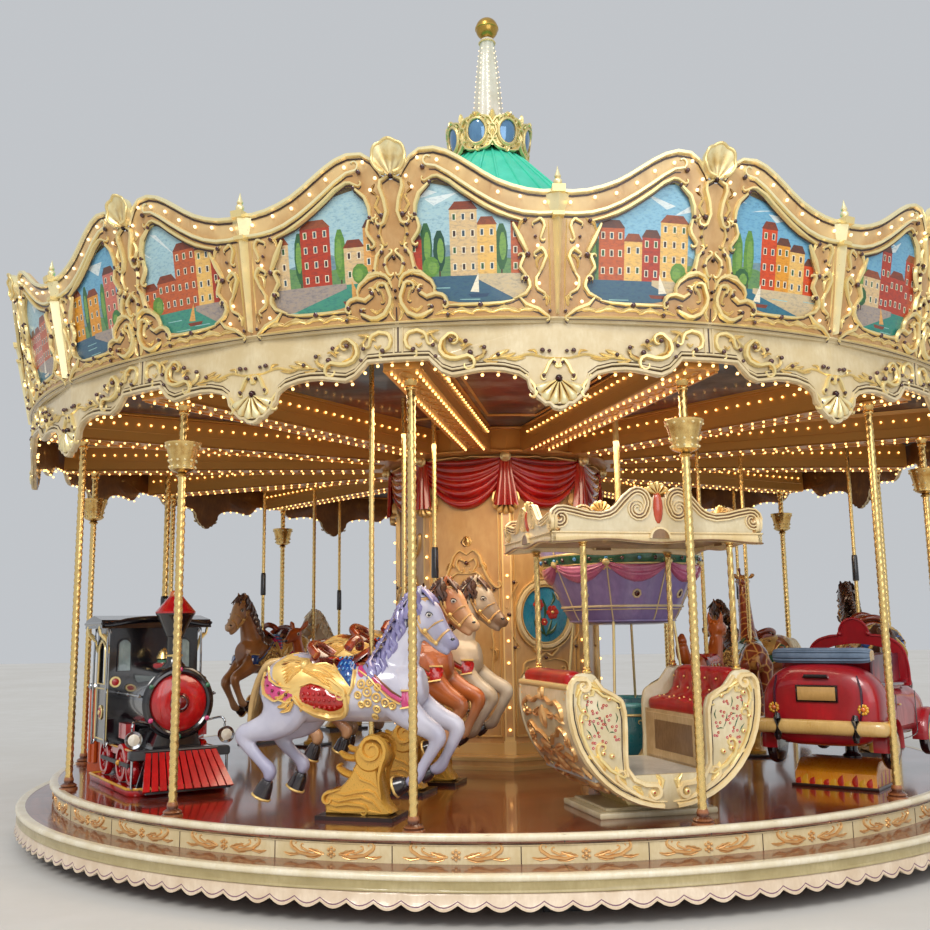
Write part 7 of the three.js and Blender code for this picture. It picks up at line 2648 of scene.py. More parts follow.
def canopy_crest(length, scale):
    """A crest: a board under a fluted scroll, from a volute at the corner to one beside a tall jewel."""
    t = Shape()
    wide = length / 0.745

    def at(points):
        return [(x * wide, CREST_FOOT + z * scale) for x, z in points]
    line = smooth_path(at([(0.700, 0.148)] + CREST_LINE), 5)
    main = scroll_path(at([(0.700, 0.148)] + CREST_LINE), (0.060 * scale ** 0.5, -400),
                       (0.062 * scale, 410), 5)
    board = np.vstack([at([(0.0, 0.0), (0.715, 0.0), (0.715, 0.070)]), line[:-6] - (0, 0.012),
                       at([(0.075, 0.235), (0.0, 0.235)])])
    t.plate(board, -0.008, 0.004, 0, "z")
    fluted(t, main, 0.033 * scale ** 0.5, 0.026, 8, 4)
    both = mirrored(t)
    middle = CREST_FOOT + 0.165 * scale
    both.ball((0, middle, 0.006), 0.036, 14, 11, 9, stretch=(1, 3.1 * scale, 0.7))
    both.shell((0, middle + 0.085 * scale), 0.085 * scale ** 0.5, 5, 18, 162, 0.022, 1, inner=0.15)
    arch = circle(0.070, 40, (0, CREST_FOOT - 0.045))[:21]
    both.plate(arch, 0.0, 0.036, 8, "z")
    both.ridge(arch, 0.012, 0.044, 4, ends=(1, 1), turn=15)
    return both


def gondola_canopy():
    """The gondola's flat canopy with its four crests, and its rope posts."""
    t = Shape()
    low, high = 1.785, 1.865
    long_half, cross_half = 0.765, 0.530
    t.box((-long_half + 0.02, -cross_half + 0.02, high - 0.030),
          (long_half - 0.02, cross_half - 0.02, high - 0.008), 7)
    for half, reach, setter in ((long_half, cross_half, on_sides), (cross_half, long_half, on_ends)):
        u = np.linspace(-half, half, 49)
        under = low + 0.022 * np.sin(math.pi * np.abs(u) / half) ** 2
        board = Shape()
        outline = np.vstack([np.column_stack([u, under]), [(half, high), (-half, high)]])
        board.plate(outline, -0.032, 0.0, 4, "z", bevel=0.003)
        board.ridge(np.column_stack([u, under + 0.008]), 0.006, 0.010, 8, ends=(1, 1))
        board.ridge([(-half, high - 0.006), (half, high - 0.006)], 0.007, 0.012, 4, ends=(1, 1))
        setter(t, board, reach)
    for half, plane, scale, setter in ((long_half, 0.511, 1.0, on_sides),
                                       (cross_half, 0.746, 0.72, on_ends)):
        crest = canopy_crest(half - 0.035, scale)
        setter(t, crest, plane)
        setter(t, turned_back(crest), plane)
    posts = Shape()
    rope = rope_post(0.946, 1.806, 0.021, pitch=0.075)
    for x in (-0.535, 0.535):
        for y in (-0.4875, 0.4875):
            posts.copy_in(rope, lambda p, x=x, y=y: p + (x, y, 0))
    return t, posts


def turned_back(shape):
    """The same flat relief standing out to the back."""
    back = Shape()
    back.copy_in(shape, lambda p: p * (1, 1, -1), flip=True)
    return back


ROPE_STRANDS = 3
ROPE_SIDES = 12


def rope_post(low, high, radius, pitch):
    """A slim post of twisted strands with a turned foot and head."""
    t = Shape()
    angles = np.arange(ROPE_SIDES) * math.tau / ROPE_SIDES
    rings = []
    for height in np.arange(low + 0.03, high - 0.03, pitch / 7):
        twist = ROPE_STRANDS / 2 * (angles - math.tau * height / (pitch * ROPE_STRANDS))
        reach = radius * (0.86 + 0.22 * np.abs(np.cos(twist)))
        rings.append(np.column_stack([reach * np.cos(angles), reach * np.sin(angles),
                                      np.full(ROPE_SIDES, height)]))
    t.grid(rings, 0, closed_ring=True, caps=True)
    for base, sign in ((low, 1), (high, -1)):
        t.lathe([(0.0, base), (radius * 1.5, base), (radius * 1.6, base + sign * 0.012),
                 (radius * 1.1, base + sign * 0.02), (radius * 1.3, base + sign * 0.032),
                 (radius * 0.8, base + sign * 0.042), (0.0, base + sign * 0.042)], 14)
    return t


def stuffed(name, shape, voxel, cap):
    """A padded form: its skin is blown up a little as cloth, no point moving more than cap."""
    mesh = moulded(name, shape, voxel, 3)
    count = len(mesh.vertices)
    rest = np.empty(count * 3)
    mesh.vertices.foreach_get("co", rest)
    rest = rest.reshape(-1, 3)
    work = bpy.data.objects.new(f"{name}_fill", mesh.copy())
    scene = bpy.context.scene
    scene.collection.objects.link(work)
    cloth = work.modifiers.new("fill", "CLOTH")
    cloth.settings.use_pressure = True
    cloth.settings.uniform_pressure_force = 4.0
    cloth.settings.effector_weights.gravity = 0.0
    cloth.point_cache.frame_start = 1
    cloth.point_cache.frame_end = 20
    for number in range(1, 21):
        scene.frame_set(number)
    blown = np.empty(count * 3)
    work.evaluated_get(bpy.context.evaluated_depsgraph_get()).data.vertices.foreach_get("co", blown)
    scene.frame_set(1)
    bpy.data.objects.remove(work)
    shift = blown.reshape(-1, 3) - rest
    size = np.linalg.norm(shift, axis=1)[:, None] + 1e-9
    mesh.vertices.foreach_set("co", (rest + shift * np.minimum(1.0, cap / size)).ravel())
    mesh.update()
    return mesh


def tufted(mesh, buttons, depth, spread):
    """Pulls a padded skin in at its buttons, then subdivides it once."""
    count = len(mesh.vertices)
    points, normals = np.empty(count * 3), np.empty(count * 3)
    mesh.vertices.foreach_get("co", points)
    mesh.vertices.foreach_get("normal", normals)
    points, normals = points.reshape(-1, 3), normals.reshape(-1, 3)
    pull = np.zeros(count)
    for button in buttons:
        gap = np.linalg.norm(points - button, axis=1)
        pull = np.maximum(pull, np.exp(-(gap / spread) ** 1.4))
    points = points - normals * (depth * pull)[:, None]
    mesh.vertices.foreach_set("co", points.ravel())
    mesh.update()
    made = bpy.data.objects.new("tufted_work", mesh)
    bpy.context.scene.collection.objects.link(made)
    made.modifiers.new("round", "SUBSURF").levels = 1
    made.modifiers.new("thin", "DECIMATE").ratio = 0.3
    fine = bpy.data.meshes.new_from_object(made.evaluated_get(bpy.context.evaluated_depsgraph_get()))
    bpy.data.objects.remove(made)
    fine.polygons.foreach_set("use_smooth", np.ones(len(fine.polygons), bool))
    return fine


SEAT_PROFILE = [(0.300, 0.625), (0.292, 0.690), (0.310, 0.728), (0.370, 0.732), (0.440, 0.728),
                (0.482, 0.748), (0.502, 0.800), (0.508, 0.875), (0.528, 0.930), (0.575, 0.958),
                (0.628, 0.960), (0.662, 0.940), (0.664, 0.890), (0.645, 0.830), (0.632, 0.750),
                (0.612, 0.670), (0.560, 0.630), (0.430, 0.620)]


def gondola_seat(end):
    """The padded red seat and back at one end, and the buttons that tuft it."""
    t = Shape()
    profile = smooth_path(SEAT_PROFILE + SEAT_PROFILE[:1], 3)[:-1]
    middle = profile.mean(0)
    rows = []
    for y, grow in ((-0.468, 0.55), (-0.464, 0.80), (-0.450, 0.93), (-0.420, 0.985), (-0.2, 1.0),
                    (0.0, 1.0), (0.2, 1.0), (0.420, 0.985), (0.450, 0.93), (0.464, 0.80), (0.468, 0.55)):
        ring = middle + (profile - middle) * (1 - (1 - grow) * 0.35)
        rows.append(np.column_stack([end * ring[:, 0], np.full(len(ring), y), ring[:, 1]]))
    t.grid(rows, 0, closed_ring=True, caps=True)
    buttons = []
    for row, (x, z) in enumerate([(0.350, 0.738), (0.425, 0.738), (0.500, 0.800), (0.512, 0.880)]):
        for i in range(5 + row % 2):
            y = (i - (4 + row % 2) / 2) * 0.165
            buttons.append((end * x, y, z))
    mesh = stuffed(f"gondola_cushion_{'front' if end > 0 else 'rear'}", t, 0.020, 0.010)
    return tufted(mesh, np.array(buttons), 0.020, 0.034), buttons


def seat_box(end):
    """The painted board under a seat, with a darker sunk square, and the seat's solid filling."""
    t = Shape()
    outline = np.vstack([[(0.292, 0.2905)], hull_arc(HULL_R - 0.044, 44.5, 78, 16),
                         [(0.600, 0.640), (0.292, 0.640)]])
    t.plate(outline if end > 0 else (outline * (-1, 1))[::-1], -0.478, 0.478, 0, "y")
    face = Shape()
    for edge, low, high, slot, stand in ((0.44, 0.305, 0.618, 0, 0.008), (0.30, 0.360, 0.570, 1, 0.011)):
        ring = oblong(-edge, low, edge, high)
        face.plate(ring, 0.0, stand, slot, "z", bevel=0.003)
    t.copy_in(face, lambda p: np.column_stack([end * (0.292 - p[:, 2]), p[:, 0], p[:, 1]]))
    return t


def add_gondola():
    """The gondola with its canopy, posts, padded seats and their boxes."""
    place = on_deck(*GONDOLA)
    piece("gondola_shell", gondola_hull(),
          [GONDOLA_CREAM, GOLD, JEWEL, FLOWER_RED, CREST_GILT, LEAF_GREEN, DARK_LINE, FLOOR_GREY,
           COPPER_GOLD, GARLAND_PINK],
          stands_for=["gondola_hull"], place=place, sharp=50, keep=0.4)
    roof, posts = gondola_canopy()
    piece("gondola_canopy_carving", roof,
          [GONDOLA_CREAM, GOLD, JEWEL, FLOWER_RED, CREST_GILT, LEAF_GREEN, DARK_LINE, CANOPY_UNDER,
           CREST_BROWN, CREST_CORAL],
          stands_for=["gondola_canopy"], place=place, sharp=50)
    piece("gondola_posts", posts, [BRASS], place=place, sharp=60)
    for end, name in ((-1, "rear"), (1, "front")):
        mesh, buttons = gondola_seat(end)
        pad = piece(f"gondola_cushion_{name}", mesh, [SEAT_LEATHER],
                    stands_for=[f"gondola_seat_{name}"], place=place)
        studs = Shape()
        for x, y, z in buttons:
            studs.ball((x - end * 0.004, y, z - 0.006), 0.0085, 8, 5)
        piece(f"gondola_buttons_{name}", studs, [HARNESS_GOLD], place=place)
        piece(f"gondola_seat_box_{name}", seat_box(end), [SEAT_BOARD, SEAT_SQUARE], place=place)


def leather(name, colour, shade, crease_shade):
    """Soft upholstery leather with a fine grain, and painted shade where it is drawn in."""
    paint = Paint(name, 0.34, coat=0.25)
    base = paint.mix(paint.mask(paint.noise(5, 4), 0.35, 0.7), linear(colour), linear(shade))
    # Hollows where the leather is drawn in, found by pointiness, take the crease colour: painted shade.
    base = paint.mix(paint.mask(paint.pointiness(), 0.495, 0.46), base, linear(crease_shade))
    paint.colour(base)
    grain = paint.node("ShaderNodeTexVoronoi", {"Vector": paint.place, "Scale": 260.0}, out=0,
                       feature="DISTANCE_TO_EDGE")
    paint.bump(paint.maths("ADD", grain, paint.noise(40, 3)), 0.12, 0.001)
    return paint.material


GONDOLA_CREAM = enamel("gondola_enamel", "dccfae", "c8b78e", rough=0.3, coat=0.6, hollow_shade="8a6434")
CREST_BROWN = enamel("crest_brown", "8f6a40", "6e4c28", rough=0.35, coat=0.5)
CREST_GILT = enamel("crest_gilt_cream", "efdcae", "dcbf86", rough=0.25, coat=0.7, hollow_shade="8a5a26")
CREST_CORAL = enamel("crest_coral", "d4552f", "a83a1e", rough=0.2, coat=0.9)
GARLAND_PINK = enamel("garland_pink", "c8465a", "9c2c40", rough=0.35)
FLOOR_GREY = enamel("floor_grey_white", "c9c6bd", "aeaaa0", rough=0.45)
CANOPY_UNDER = enamel("canopy_under_tan", "a88a58", "8a6c3e", rough=0.4)
SEAT_LEATHER = leather("seat_leather_red", "b3090f", "84050a", "3a0206")
SEAT_BOARD = enamel("seat_board_tan", "cdb184", "b39465", rough=0.4, hollow_shade="6a4c28")
SEAT_SQUARE = enamel("seat_board_square", "8a6a44", "6f5232", rough=0.4)


# Locomotive and coach

LOCO = (-61, 3.42)
COACH = (-90, 3.48)


def spoked_wheel(shape, x, z, radius, low, high, spokes=8, rim=0, hub=0):
    """A wheel across the train between two levels of y."""
    middle, half = (low + high) / 2, abs(high - low) / 2
    out = math.copysign(1, middle)
    thick = radius * 0.13
    tyre = Shape()
    tyre.lathe([(radius - 2.0 * thick, -half), (radius - 0.2 * thick, -half), (radius, -half * 0.6),
                (radius, half * 0.6), (radius - 0.2 * thick, half), (radius - 2.0 * thick, half)], 30, rim,
                closed=True)
    shape.copy_in(tyre, lambda p: p[:, (0, 2, 1)] + np.array((x, middle, z)))
    for i in range(spokes):
        turn = math.tau * i / spokes
        reach = radius - 1.4 * thick
        shape.tube([(x, middle, z), (x + reach * math.cos(turn), middle, z + reach * math.sin(turn))],
                   (radius * 0.10, radius * 0.065), 6, hub)
    spun(shape, [(0.0, 0.0), (radius * 0.26, 0.0), (radius * 0.26, out * half * 1.1),
                 (radius * 0.12, out * half * 1.4), (0.0, out * half * 1.45)], 16, hub, (x, middle, z), "y")


def loco_frame(t):
    """Red base plate with a yellow edge, frame, wheels and rods."""
    front = [(0.49, -0.40), (0.56, -0.33), (0.56, 0.33), (0.49, 0.40)]
    outline = np.array([(-0.70, -0.40)] + front + [(-0.70, 0.40)])
    t.plate(outline, 0.0, 0.060, 0, "z", bevel=0.008)
    edge = np.vstack([outline, outline[:1]])
    t.tube(at_level(edge, 0.056), 0.011, 7, 1)
    t.plate(oblong(-0.70, -0.28, 0.52, 0.28), 0.058, 0.328, 2, "z", bevel=0.006)
    for side in (-1, 1):
        t.box((-0.70, side * 0.305 - 0.02, 0.262), (0.47, side * 0.305 + 0.02, 0.325), 0)
        t.tube([(-0.70, side * 0.33, 0.322), (0.47, side * 0.33, 0.322)], 0.009, 6, 1)
        for x, radius, z in ((-0.48, 0.150, 0.212), (0.06, 0.150, 0.212), (0.34, 0.110, 0.172)):
            spoked_wheel(t, x, z, radius, side * 0.295, side * 0.345, 8, 0, 0)
        t.box((-0.52, side * 0.352 - 0.008, 0.195), (0.34, side * 0.352 + 0.008, 0.225), 4)
        t.ball((0.06, side * 0.358, 0.212), 0.024, 10, 6, 1)


def loco_front(t):
    """Buffer beam and two lamps on their brackets."""
    beam = np.array([(-0.385, 0.268), (0.385, 0.268), (0.400, 0.283), (0.400, 0.325), (0.385, 0.340),
                     (-0.385, 0.340), (-0.400, 0.325), (-0.400, 0.283)])
    t.plate(beam, 0.470, 0.560, 3, "x", bevel=0.006)
    for side in (-1, 1):
        lamp = np.array((0.500, side * 0.372, 0.425))
        t.tube(smooth_path([lamp + (-0.05, -side * 0.14, 0.115), lamp + (-0.03, -side * 0.03, 0.135),
                            lamp + (-0.01, 0, 0.105), lamp + (-0.01, 0, 0.055)], 4), 0.009, 7, 6)
        spun(t, [(0.0, -0.050), (0.034, -0.044), (0.056, -0.015), (0.064, 0.020), (0.068, 0.036),
                 (0.066, 0.046), (0.056, 0.044), (0.0, 0.036)], 26, 6, lamp, "x")
        spun(t, [(0.0, 0.052), (0.030, 0.048), (0.053, 0.040), (0.053, 0.032), (0.0, 0.032)], 22, 5, lamp,
             "x")
        t.tube([(0.535, side * 0.378, 0.06), (0.535, side * 0.378, 0.27)], 0.011, 8, 6)


def loco_catcher(t):
    """The slatted catcher in front."""
    slats = 11
    top_half, low_half, top, low = 0.285, 0.362, (0.560, 0.325), (0.776, 0.062)
    for i in range(slats):
        first, last = (2 * (i + share) / slats - 1 for share in (0.10, 0.90))
        front = [(top[0], first * top_half, top[1]), (top[0], last * top_half, top[1]),
                 (low[0], last * low_half, low[1]), (low[0], first * low_half, low[1])]
        back = [(x - 0.018, y, z - 0.014) for x, y, z in front]
        t.add(front + back, [(3, 2, 1, 0), (4, 5, 6, 7), (0, 1, 5, 4), (1, 2, 6, 5), (2, 3, 7, 6),
                             (3, 0, 4, 7)], slot=0)
    t.plate(np.array([(-0.275, 0.310), (0.275, 0.310), (0.345, 0.066), (-0.345, 0.066)]), 0.540, 0.556, 2,
            "x")
    t.tube([(0.556, -0.29, 0.332), (0.556, 0.29, 0.332)], 0.012, 8, 3)
    t.box((0.53, -0.33, 0.040), (0.775, 0.33, 0.056), 2)


def loco_chassis():
    """Chassis of the locomotive, with its wheels, lamps and slatted catcher."""
    t = Shape()
    loco_frame(t)
    loco_front(t)
    loco_catcher(t)
    return t


BOILER_Z = 0.690
CHIMNEY_X = 0.30
BELL_X = 0.02


def loco_barrel(t):
    """Black barrel with its red front disc and lamps round it."""
    spun(t, [(0.0, -0.268), (0.288, -0.268), (0.290, 0.300), (0.290, 0.440), (0.262, 0.462), (0.246, 0.462),
             (0.240, 0.448), (0.0, 0.448)], 44, 0, (0, 0, BOILER_Z), "x")
    spun(t, [(0.0, 0.476), (0.10, 0.484), (0.205, 0.470), (0.226, 0.454), (0.226, 0.440), (0.0, 0.440)], 44,
         2, (0, 0, BOILER_Z), "x")
    ring_tube(t, (0.458, 0, BOILER_Z), 0.250, 0.022, "x", 0, 44)
    spun(t, [(0.0, 0.514), (0.040, 0.508), (0.072, 0.494), (0.084, 0.474), (0.0, 0.460)], 28, 3,
         (0, 0, BOILER_Z), "x")
    ring_tube(t, (0.500, 0, BOILER_Z), 0.052, 0.008, "x", 0, 24, 5)
    for i in range(6):
        turn = math.tau * (i + 0.5) / 6
        y, height = 0.262 * math.cos(turn), BOILER_Z + 0.262 * math.sin(turn)
        t.ball((0.474, y, height), 0.021, 10, 6, 4 if i % 2 else 5, stretch=(0.8, 1, 1))


def loco_chimney(t):
    """Chimney with a cone cap, on its saddle."""
    saddle_box = np.array([(-0.20, 0.3305), (0.20, 0.3305), (0.155, 0.46), (-0.155, 0.46)])
    t.plate(saddle_box, -0.10, 0.44, 0, "x", bevel=0.006)
    t.lathe([(0.0, 0.93), (0.105, 0.945), (0.092, 0.985), (0.066, 1.010), (0.060, 1.06), (0.060, 1.20),
             (0.072, 1.215), (0.0, 1.215)], 28, 0, centre=(CHIMNEY_X, 0))
    t.lathe([(0.060, 1.05), (0.068, 1.053), (0.068, 1.067), (0.060, 1.07)], 28, 1, centre=(CHIMNEY_X, 0),
            closed=True)
    t.lathe([(0.0, 1.214), (0.068, 1.216), (0.085, 1.255), (0.112, 1.315), (0.148, 1.385), (0.158, 1.396),
             (0.158, 1.410), (0.146, 1.418), (0.0, 1.418)], 36, 0, centre=(CHIMNEY_X, 0))
    t.lathe([(0.0, 1.400), (0.160, 1.402), (0.162, 1.416), (0.152, 1.428), (0.110, 1.478), (0.066, 1.530),
             (0.060, 1.540), (0.0, 1.540)], 36, 2, centre=(CHIMNEY_X, 0))
    t.lathe([(0.0, 1.538), (0.052, 1.540), (0.054, 1.548), (0.046, 1.578), (0.034, 1.590), (0.0, 1.590)],
            28, 6, centre=(CHIMNEY_X, 0))


def loco_bell(t):
    """A bell on its foot."""
    t.lathe([(0.0, 0.955), (0.092, 0.960), (0.090, 0.990), (0.062, 1.000), (0.0, 1.000)], 26, 2,
            centre=(BELL_X, 0))
    t.lathe([(0.0, 0.999), (0.058, 1.000), (0.055, 1.020), (0.040, 1.030), (0.0, 1.030)], 26, 5,
            centre=(BELL_X, 0))
    t.lathe([(0.0, 1.029), (0.066, 1.032), (0.060, 1.050), (0.046, 1.085), (0.028, 1.108), (0.010, 1.118),
             (0.0, 1.126)], 26, 1,
            centre=(BELL_X, 0))


def loco_rails(t):
    """Rails and boxes along the barrel."""
    for side in (-1, 1):
        t.tube([(-0.26, side * 0.306, BOILER_Z + 0.06), (0.43, side * 0.306, BOILER_Z + 0.06)], 0.009, 7, 7)
        for x in (-0.22, 0.08, 0.40):
            t.ball((x, side * 0.302, BOILER_Z + 0.06), 0.015, 8, 5, 7)
        t.box((-0.05, side * 0.30 - 0.035, 0.40), (0.16, side * 0.30 + 0.035, 0.52), 2)


def loco_boiler():
    """Boiler of the locomotive, with its chimney, domes and rails."""
    t = Shape()
    loco_barrel(t)
    loco_chimney(t)
    loco_bell(t)
    loco_rails(t)
    return t


def cab_window(half, low, spring):
    """An arched opening's outline from its lower left corner."""
    turn = np.linspace(0, math.pi, 10)
    arch = np.column_stack([half * np.cos(turn), spring + half * np.sin(turn)])
    return np.vstack([[(-half, low), (half, low)], arch[1:-1]])


def cab_roof(t):
    """The curved roof with its rounded edges."""
    rows = []
    across = np.linspace(-1, 1, 25)
    for x, grow, rise in ((-0.790, 0.96, -0.012), (-0.780, 1.0, 0.0), (-0.50, 0.97, 0.018),
                          (-0.19, 1.0, 0.0), (-0.180, 0.96, -0.012)):
        top = 1.392 + rise * 0.4 - 0.075 * across ** 2 + 0.028 * across ** 8
        rows.append(np.column_stack([np.full(len(across), x), 0.470 * grow * across, top]))
    under = [row - (0, 0, 0.030) for row in rows]
    t.grid(rows + under[::-1], 0, closed_rows=True)
    for side in (-1, 1):
        t.tube([(-0.785, side * 0.466, 1.330), (-0.185, side * 0.466, 1.330)], 0.015, 8, 0)
    for x in (-0.188, -0.782):
        t.tube([(x, y * 0.466, 1.378 - 0.075 * y ** 2 + 0.028 * y ** 8) for y in across], 0.013, 7, 0)


def cab_sides(t):
    """Window frame, lining and badge of either side."""
    side_face = Shape()
    window = cab_window(0.115, 0.82, 1.065) + (-0.495, 0)
    side_face.tube(at_level(window, 0.004), 0.010, 6, 1, closed=True)
    left, low, right, high = -0.68, 0.36, -0.29, 0.78
    for line in (((left, low), (right, low)), ((left, high), (right, high)), ((left, low), (left, high)),
                 ((right, low), (right, high))):
        side_face.ridge(list(line), 0.006, 0.006, 1, ends=(1, 1))
    for radius, slot in ((0.062, 1), (0.045, 4), (0.022, 1)):
        disc = circle(radius, 24, (-0.485, 0.58))
        side_face.plate(disc, 0.0, 0.012 + (0.062 - radius) * 0.3, slot, "z", bevel=0.003)
    on_sides(t, side_face, 0.380)


def cab_brackets(t):
    """Scroll brackets under the roof."""
    bracket = Shape()
    bracket.ridge(scroll_path([(0.0, 1.10), (0.02, 1.18), (0.075, 1.24), (0.085, 1.29)], (0.03, -300),
                              (0.03, 250)), 0.012, 0.018, 1)
    bracket.leaf([(0.005, 1.15), (0.03, 1.21), (0.06, 1.25)], 0.018, 0.014, 1, lobes=3)
    for x in (-0.28, -0.69):
        for side in (-1, 1):
            def beside_post(p, x=x, side=side):
                return np.column_stack([x + p[:, 2] - 0.006, side * (0.382 + p[:, 0]), p[:, 1]])
            t.copy_in(bracket, beside_post, flip=side < 0)


def cab_front(t):
    """Panes and badges of the front."""
    front = Shape()
    for side in (-1, 1):
        pane = cab_window(0.058, 0.93, 1.140) + (side * 0.255, 0)
        front.plate(pane, 0.0, 0.006, 3, "z")
        front.tube(at_level(pane, 0.006), 0.008, 6, 0, closed=True)
        front.plate(circle(0.036, 20, (side * 0.325, 0.840)), 0.0, 0.012, 4, "z", bevel=0.003)
        front.tube(at_level(circle(0.038, 20, (side * 0.325, 0.840)), 0.008), 0.010, 6, 1, closed=True)
    t.copy_in(front, lambda p: np.column_stack([-0.270 + p[:, 2], p[:, 0], p[:, 1]]))


def cab_rails(t):
    """Upright handrails at the corners."""
    for x in (-0.262, -0.705):
        for side in (-1, 1):
            rail = [(x, side * 0.372, 0.34), (x + 0.012, side * 0.402, 0.37),
                    (x + 0.012, side * 0.402, 1.22), (x, side * 0.372, 1.25)]
            t.tube(smooth_path(rail, 4), 0.0095, 8, 2)


def cab_trims():
    """Roof, brackets, window frames, lining and handrails of the cab."""
    t = Shape()
    cab_roof(t)
    cab_sides(t)
    cab_brackets(t)
    cab_front(t)
    cab_rails(t)
    return t


def add_locomotive():
    """The locomotive: chassis, boiler and cab."""
    place = on_deck(*LOCO)
    red = [LOCO_RED, LOCO_YELLOW, BLACK_GLOSS, BEAM_GREY, STEEL, LAMP_GLASS, CHROME]
    piece("locomotive_frame", loco_chassis(), red, stands_for=["locomotive_chassis"],
          place=place, sharp=45)
    piece("locomotive_barrel", loco_boiler(),
          [BLACK_GLOSS, BRASS, LOCO_RED, DARK_RED, HARNESS_PINK, HARNESS_GREEN, HARNESS_ORANGE, CHROME],
          stands_for=["locomotive_boiler"], place=place, sharp=45)
    repaint("locomotive_cab", BLACK_GLOSS)
    piece("locomotive_cab_trims", cab_trims(), [BLACK_GLOSS, GOLD, CHROME, CAB_GLASS, LOCO_RED],
          place=place, sharp=50)


# The coach's uprights, rail and doorway
TUBE_FOOT, TUBE_HEAD = 0.075, 0.735
RAIL_Y, RAIL_Z = 0.392, 0.765
DOOR_BACK, DOOR_FRONT = -0.15, 0.13
MAST_X = -0.52


def add_coach():
    """The coach of upright tubes, with its bench and mast."""
    place = on_deck(*COACH)
    repaint("coach", COACH_ORANGE)
    trims = Shape()

    def upright(x, y):
        trims.tube([(x, y, TUBE_FOOT), (x, y, TUBE_HEAD)], 0.026, 8, 0)
    for side in (-1, 1):
        for i in range(22):
            x = -0.68 + 1.28 * i / 21
            if side > 0 or not DOOR_BACK - 0.02 < x < DOOR_FRONT + 0.02:
                upright(x, side * 0.386)
        for a, b in ((-0.70, DOOR_BACK), (DOOR_FRONT, 0.62)) if side < 0 else ((-0.70, 0.62),):
            trims.tube([(a, side * RAIL_Y, RAIL_Z), (b, side * RAIL_Y, RAIL_Z)], 0.024, 8, 1)
            trims.tube([(a, side * 0.405, 0.19), (b, side * 0.405, 0.19)], 0.012, 8, 1)
    for x in (-0.706, 0.626):
        for i in range(12):
            upright(x, -0.34 + 0.68 * i / 11)
        trims.tube([(x, -RAIL_Y, RAIL_Z), (x, RAIL_Y, RAIL_Z)], 0.024, 8, 1)
        for side in (-1, 1):
            trims.ball((x, side * RAIL_Y, RAIL_Z), 0.030, 12, 8, 1)
    trims.box((-0.655, -0.335, 0.521), (-0.385, 0.335, 0.560), 2)
    piece("coach_tubes", trims, [COACH_ORANGE, CHROME, HARNESS_RED], place=place)
    mast = Shape()
    mast.copy_in(rope_post(0.80, RIDE_POLE_TOP, 0.030, pitch=0.08), lambda p: p + (MAST_X, 0, 0))
    mast.lathe([(0.030, 1.36), (0.043, 1.365), (0.044, 1.60), (0.040, 1.63), (0.030, 1.635)], 16, 1,
               centre=(MAST_X, 0), closed=True)
    piece("coach_mast", mast, [BRASS, BLACK_GLOSS], place=place, sharp=60)


LOCO_RED = enamel("loco_red", "c4161a", "98090f", rough=0.2, coat=1.0, hollow_shade="4c0508")
LOCO_YELLOW = enamel("loco_yellow", "e0a82a", "c88c1c", rough=0.3, coat=0.6)
BEAM_GREY = enamel("beam_grey_black", "3c3f43", "2a2c30", rough=0.35, coat=0.4)
LAMP_GLASS = enamel("lamp_glass", "e6e2d4", "cfcbbc", rough=0.08, coat=1.0, scale=20)
CHROME = enamel("chrome", "c9ccd0", "a4a8ae", rough=0.1, coat=0.5, metal=1.0)
CAB_GLASS = enamel("cab_glass", "8fa09c", "66767a", rough=0.08, coat=1.0)
COACH_ORANGE = enamel("coach_orange", "cf5a1c", "b04412", rough=0.22, coat=0.9, hollow_shade="5a1c06")


# Two-door car

CAR = (50, 3.50)


def car_rows():
    """Sections of the open body, from its tail to its nose: half width, floor and shoulder."""
    return [(-0.850, 0.32, 0.41, 0.70), (-0.842, 0.38, 0.375, 0.79), (-0.805, 0.430, 0.345, 0.868),
            (-0.73, 0.446, 0.333, 0.905), (-0.58, 0.444, 0.331, 0.895), (-0.42, 0.438, 0.331, 0.835),
            (-0.20, 0.432, 0.331, 0.795), (0.10, 0.430, 0.331, 0.775), (0.26, 0.428, 0.331, 0.765),
            (0.45, 0.420, 0.331, 0.742), (0.62, 0.400, 0.335, 0.712), (0.74, 0.36, 0.36, 0.675),
            (0.80, 0.29, 0.40, 0.615), (0.822, 0.18, 0.45, 0.55)]


def car_body():
    """The car's body as one skin through its sections."""
    t = Shape()
    turn = np.linspace(0, math.pi, 21)
    rings = []
    for x, half, low, high in car_rows():
        lower = [(half * math.copysign(min(1, 1.12 * abs(math.cos(a))) ** 0.5, math.cos(a)),
                  low + (high - low) * 0.5 * (1 - math.sin(a)))
                 for a in turn[::-1]]
        crown = 0.035 if not -0.56 < x < 0.28 else 0.0
        upper = [(half * math.copysign(abs(math.cos(a)) ** 0.62, math.cos(a)),
                  (low + high) / 2 + ((high - low) / 2 + crown) * math.sin(a) ** 0.85) for a in turn[1:-1]]
        ring = np.array(lower + upper)
        rings.append(np.column_stack([np.full(len(ring), x), ring]))
    t.grid(smooth_rows(rings, 3), 0, closed_ring=True, caps=True)
    return t


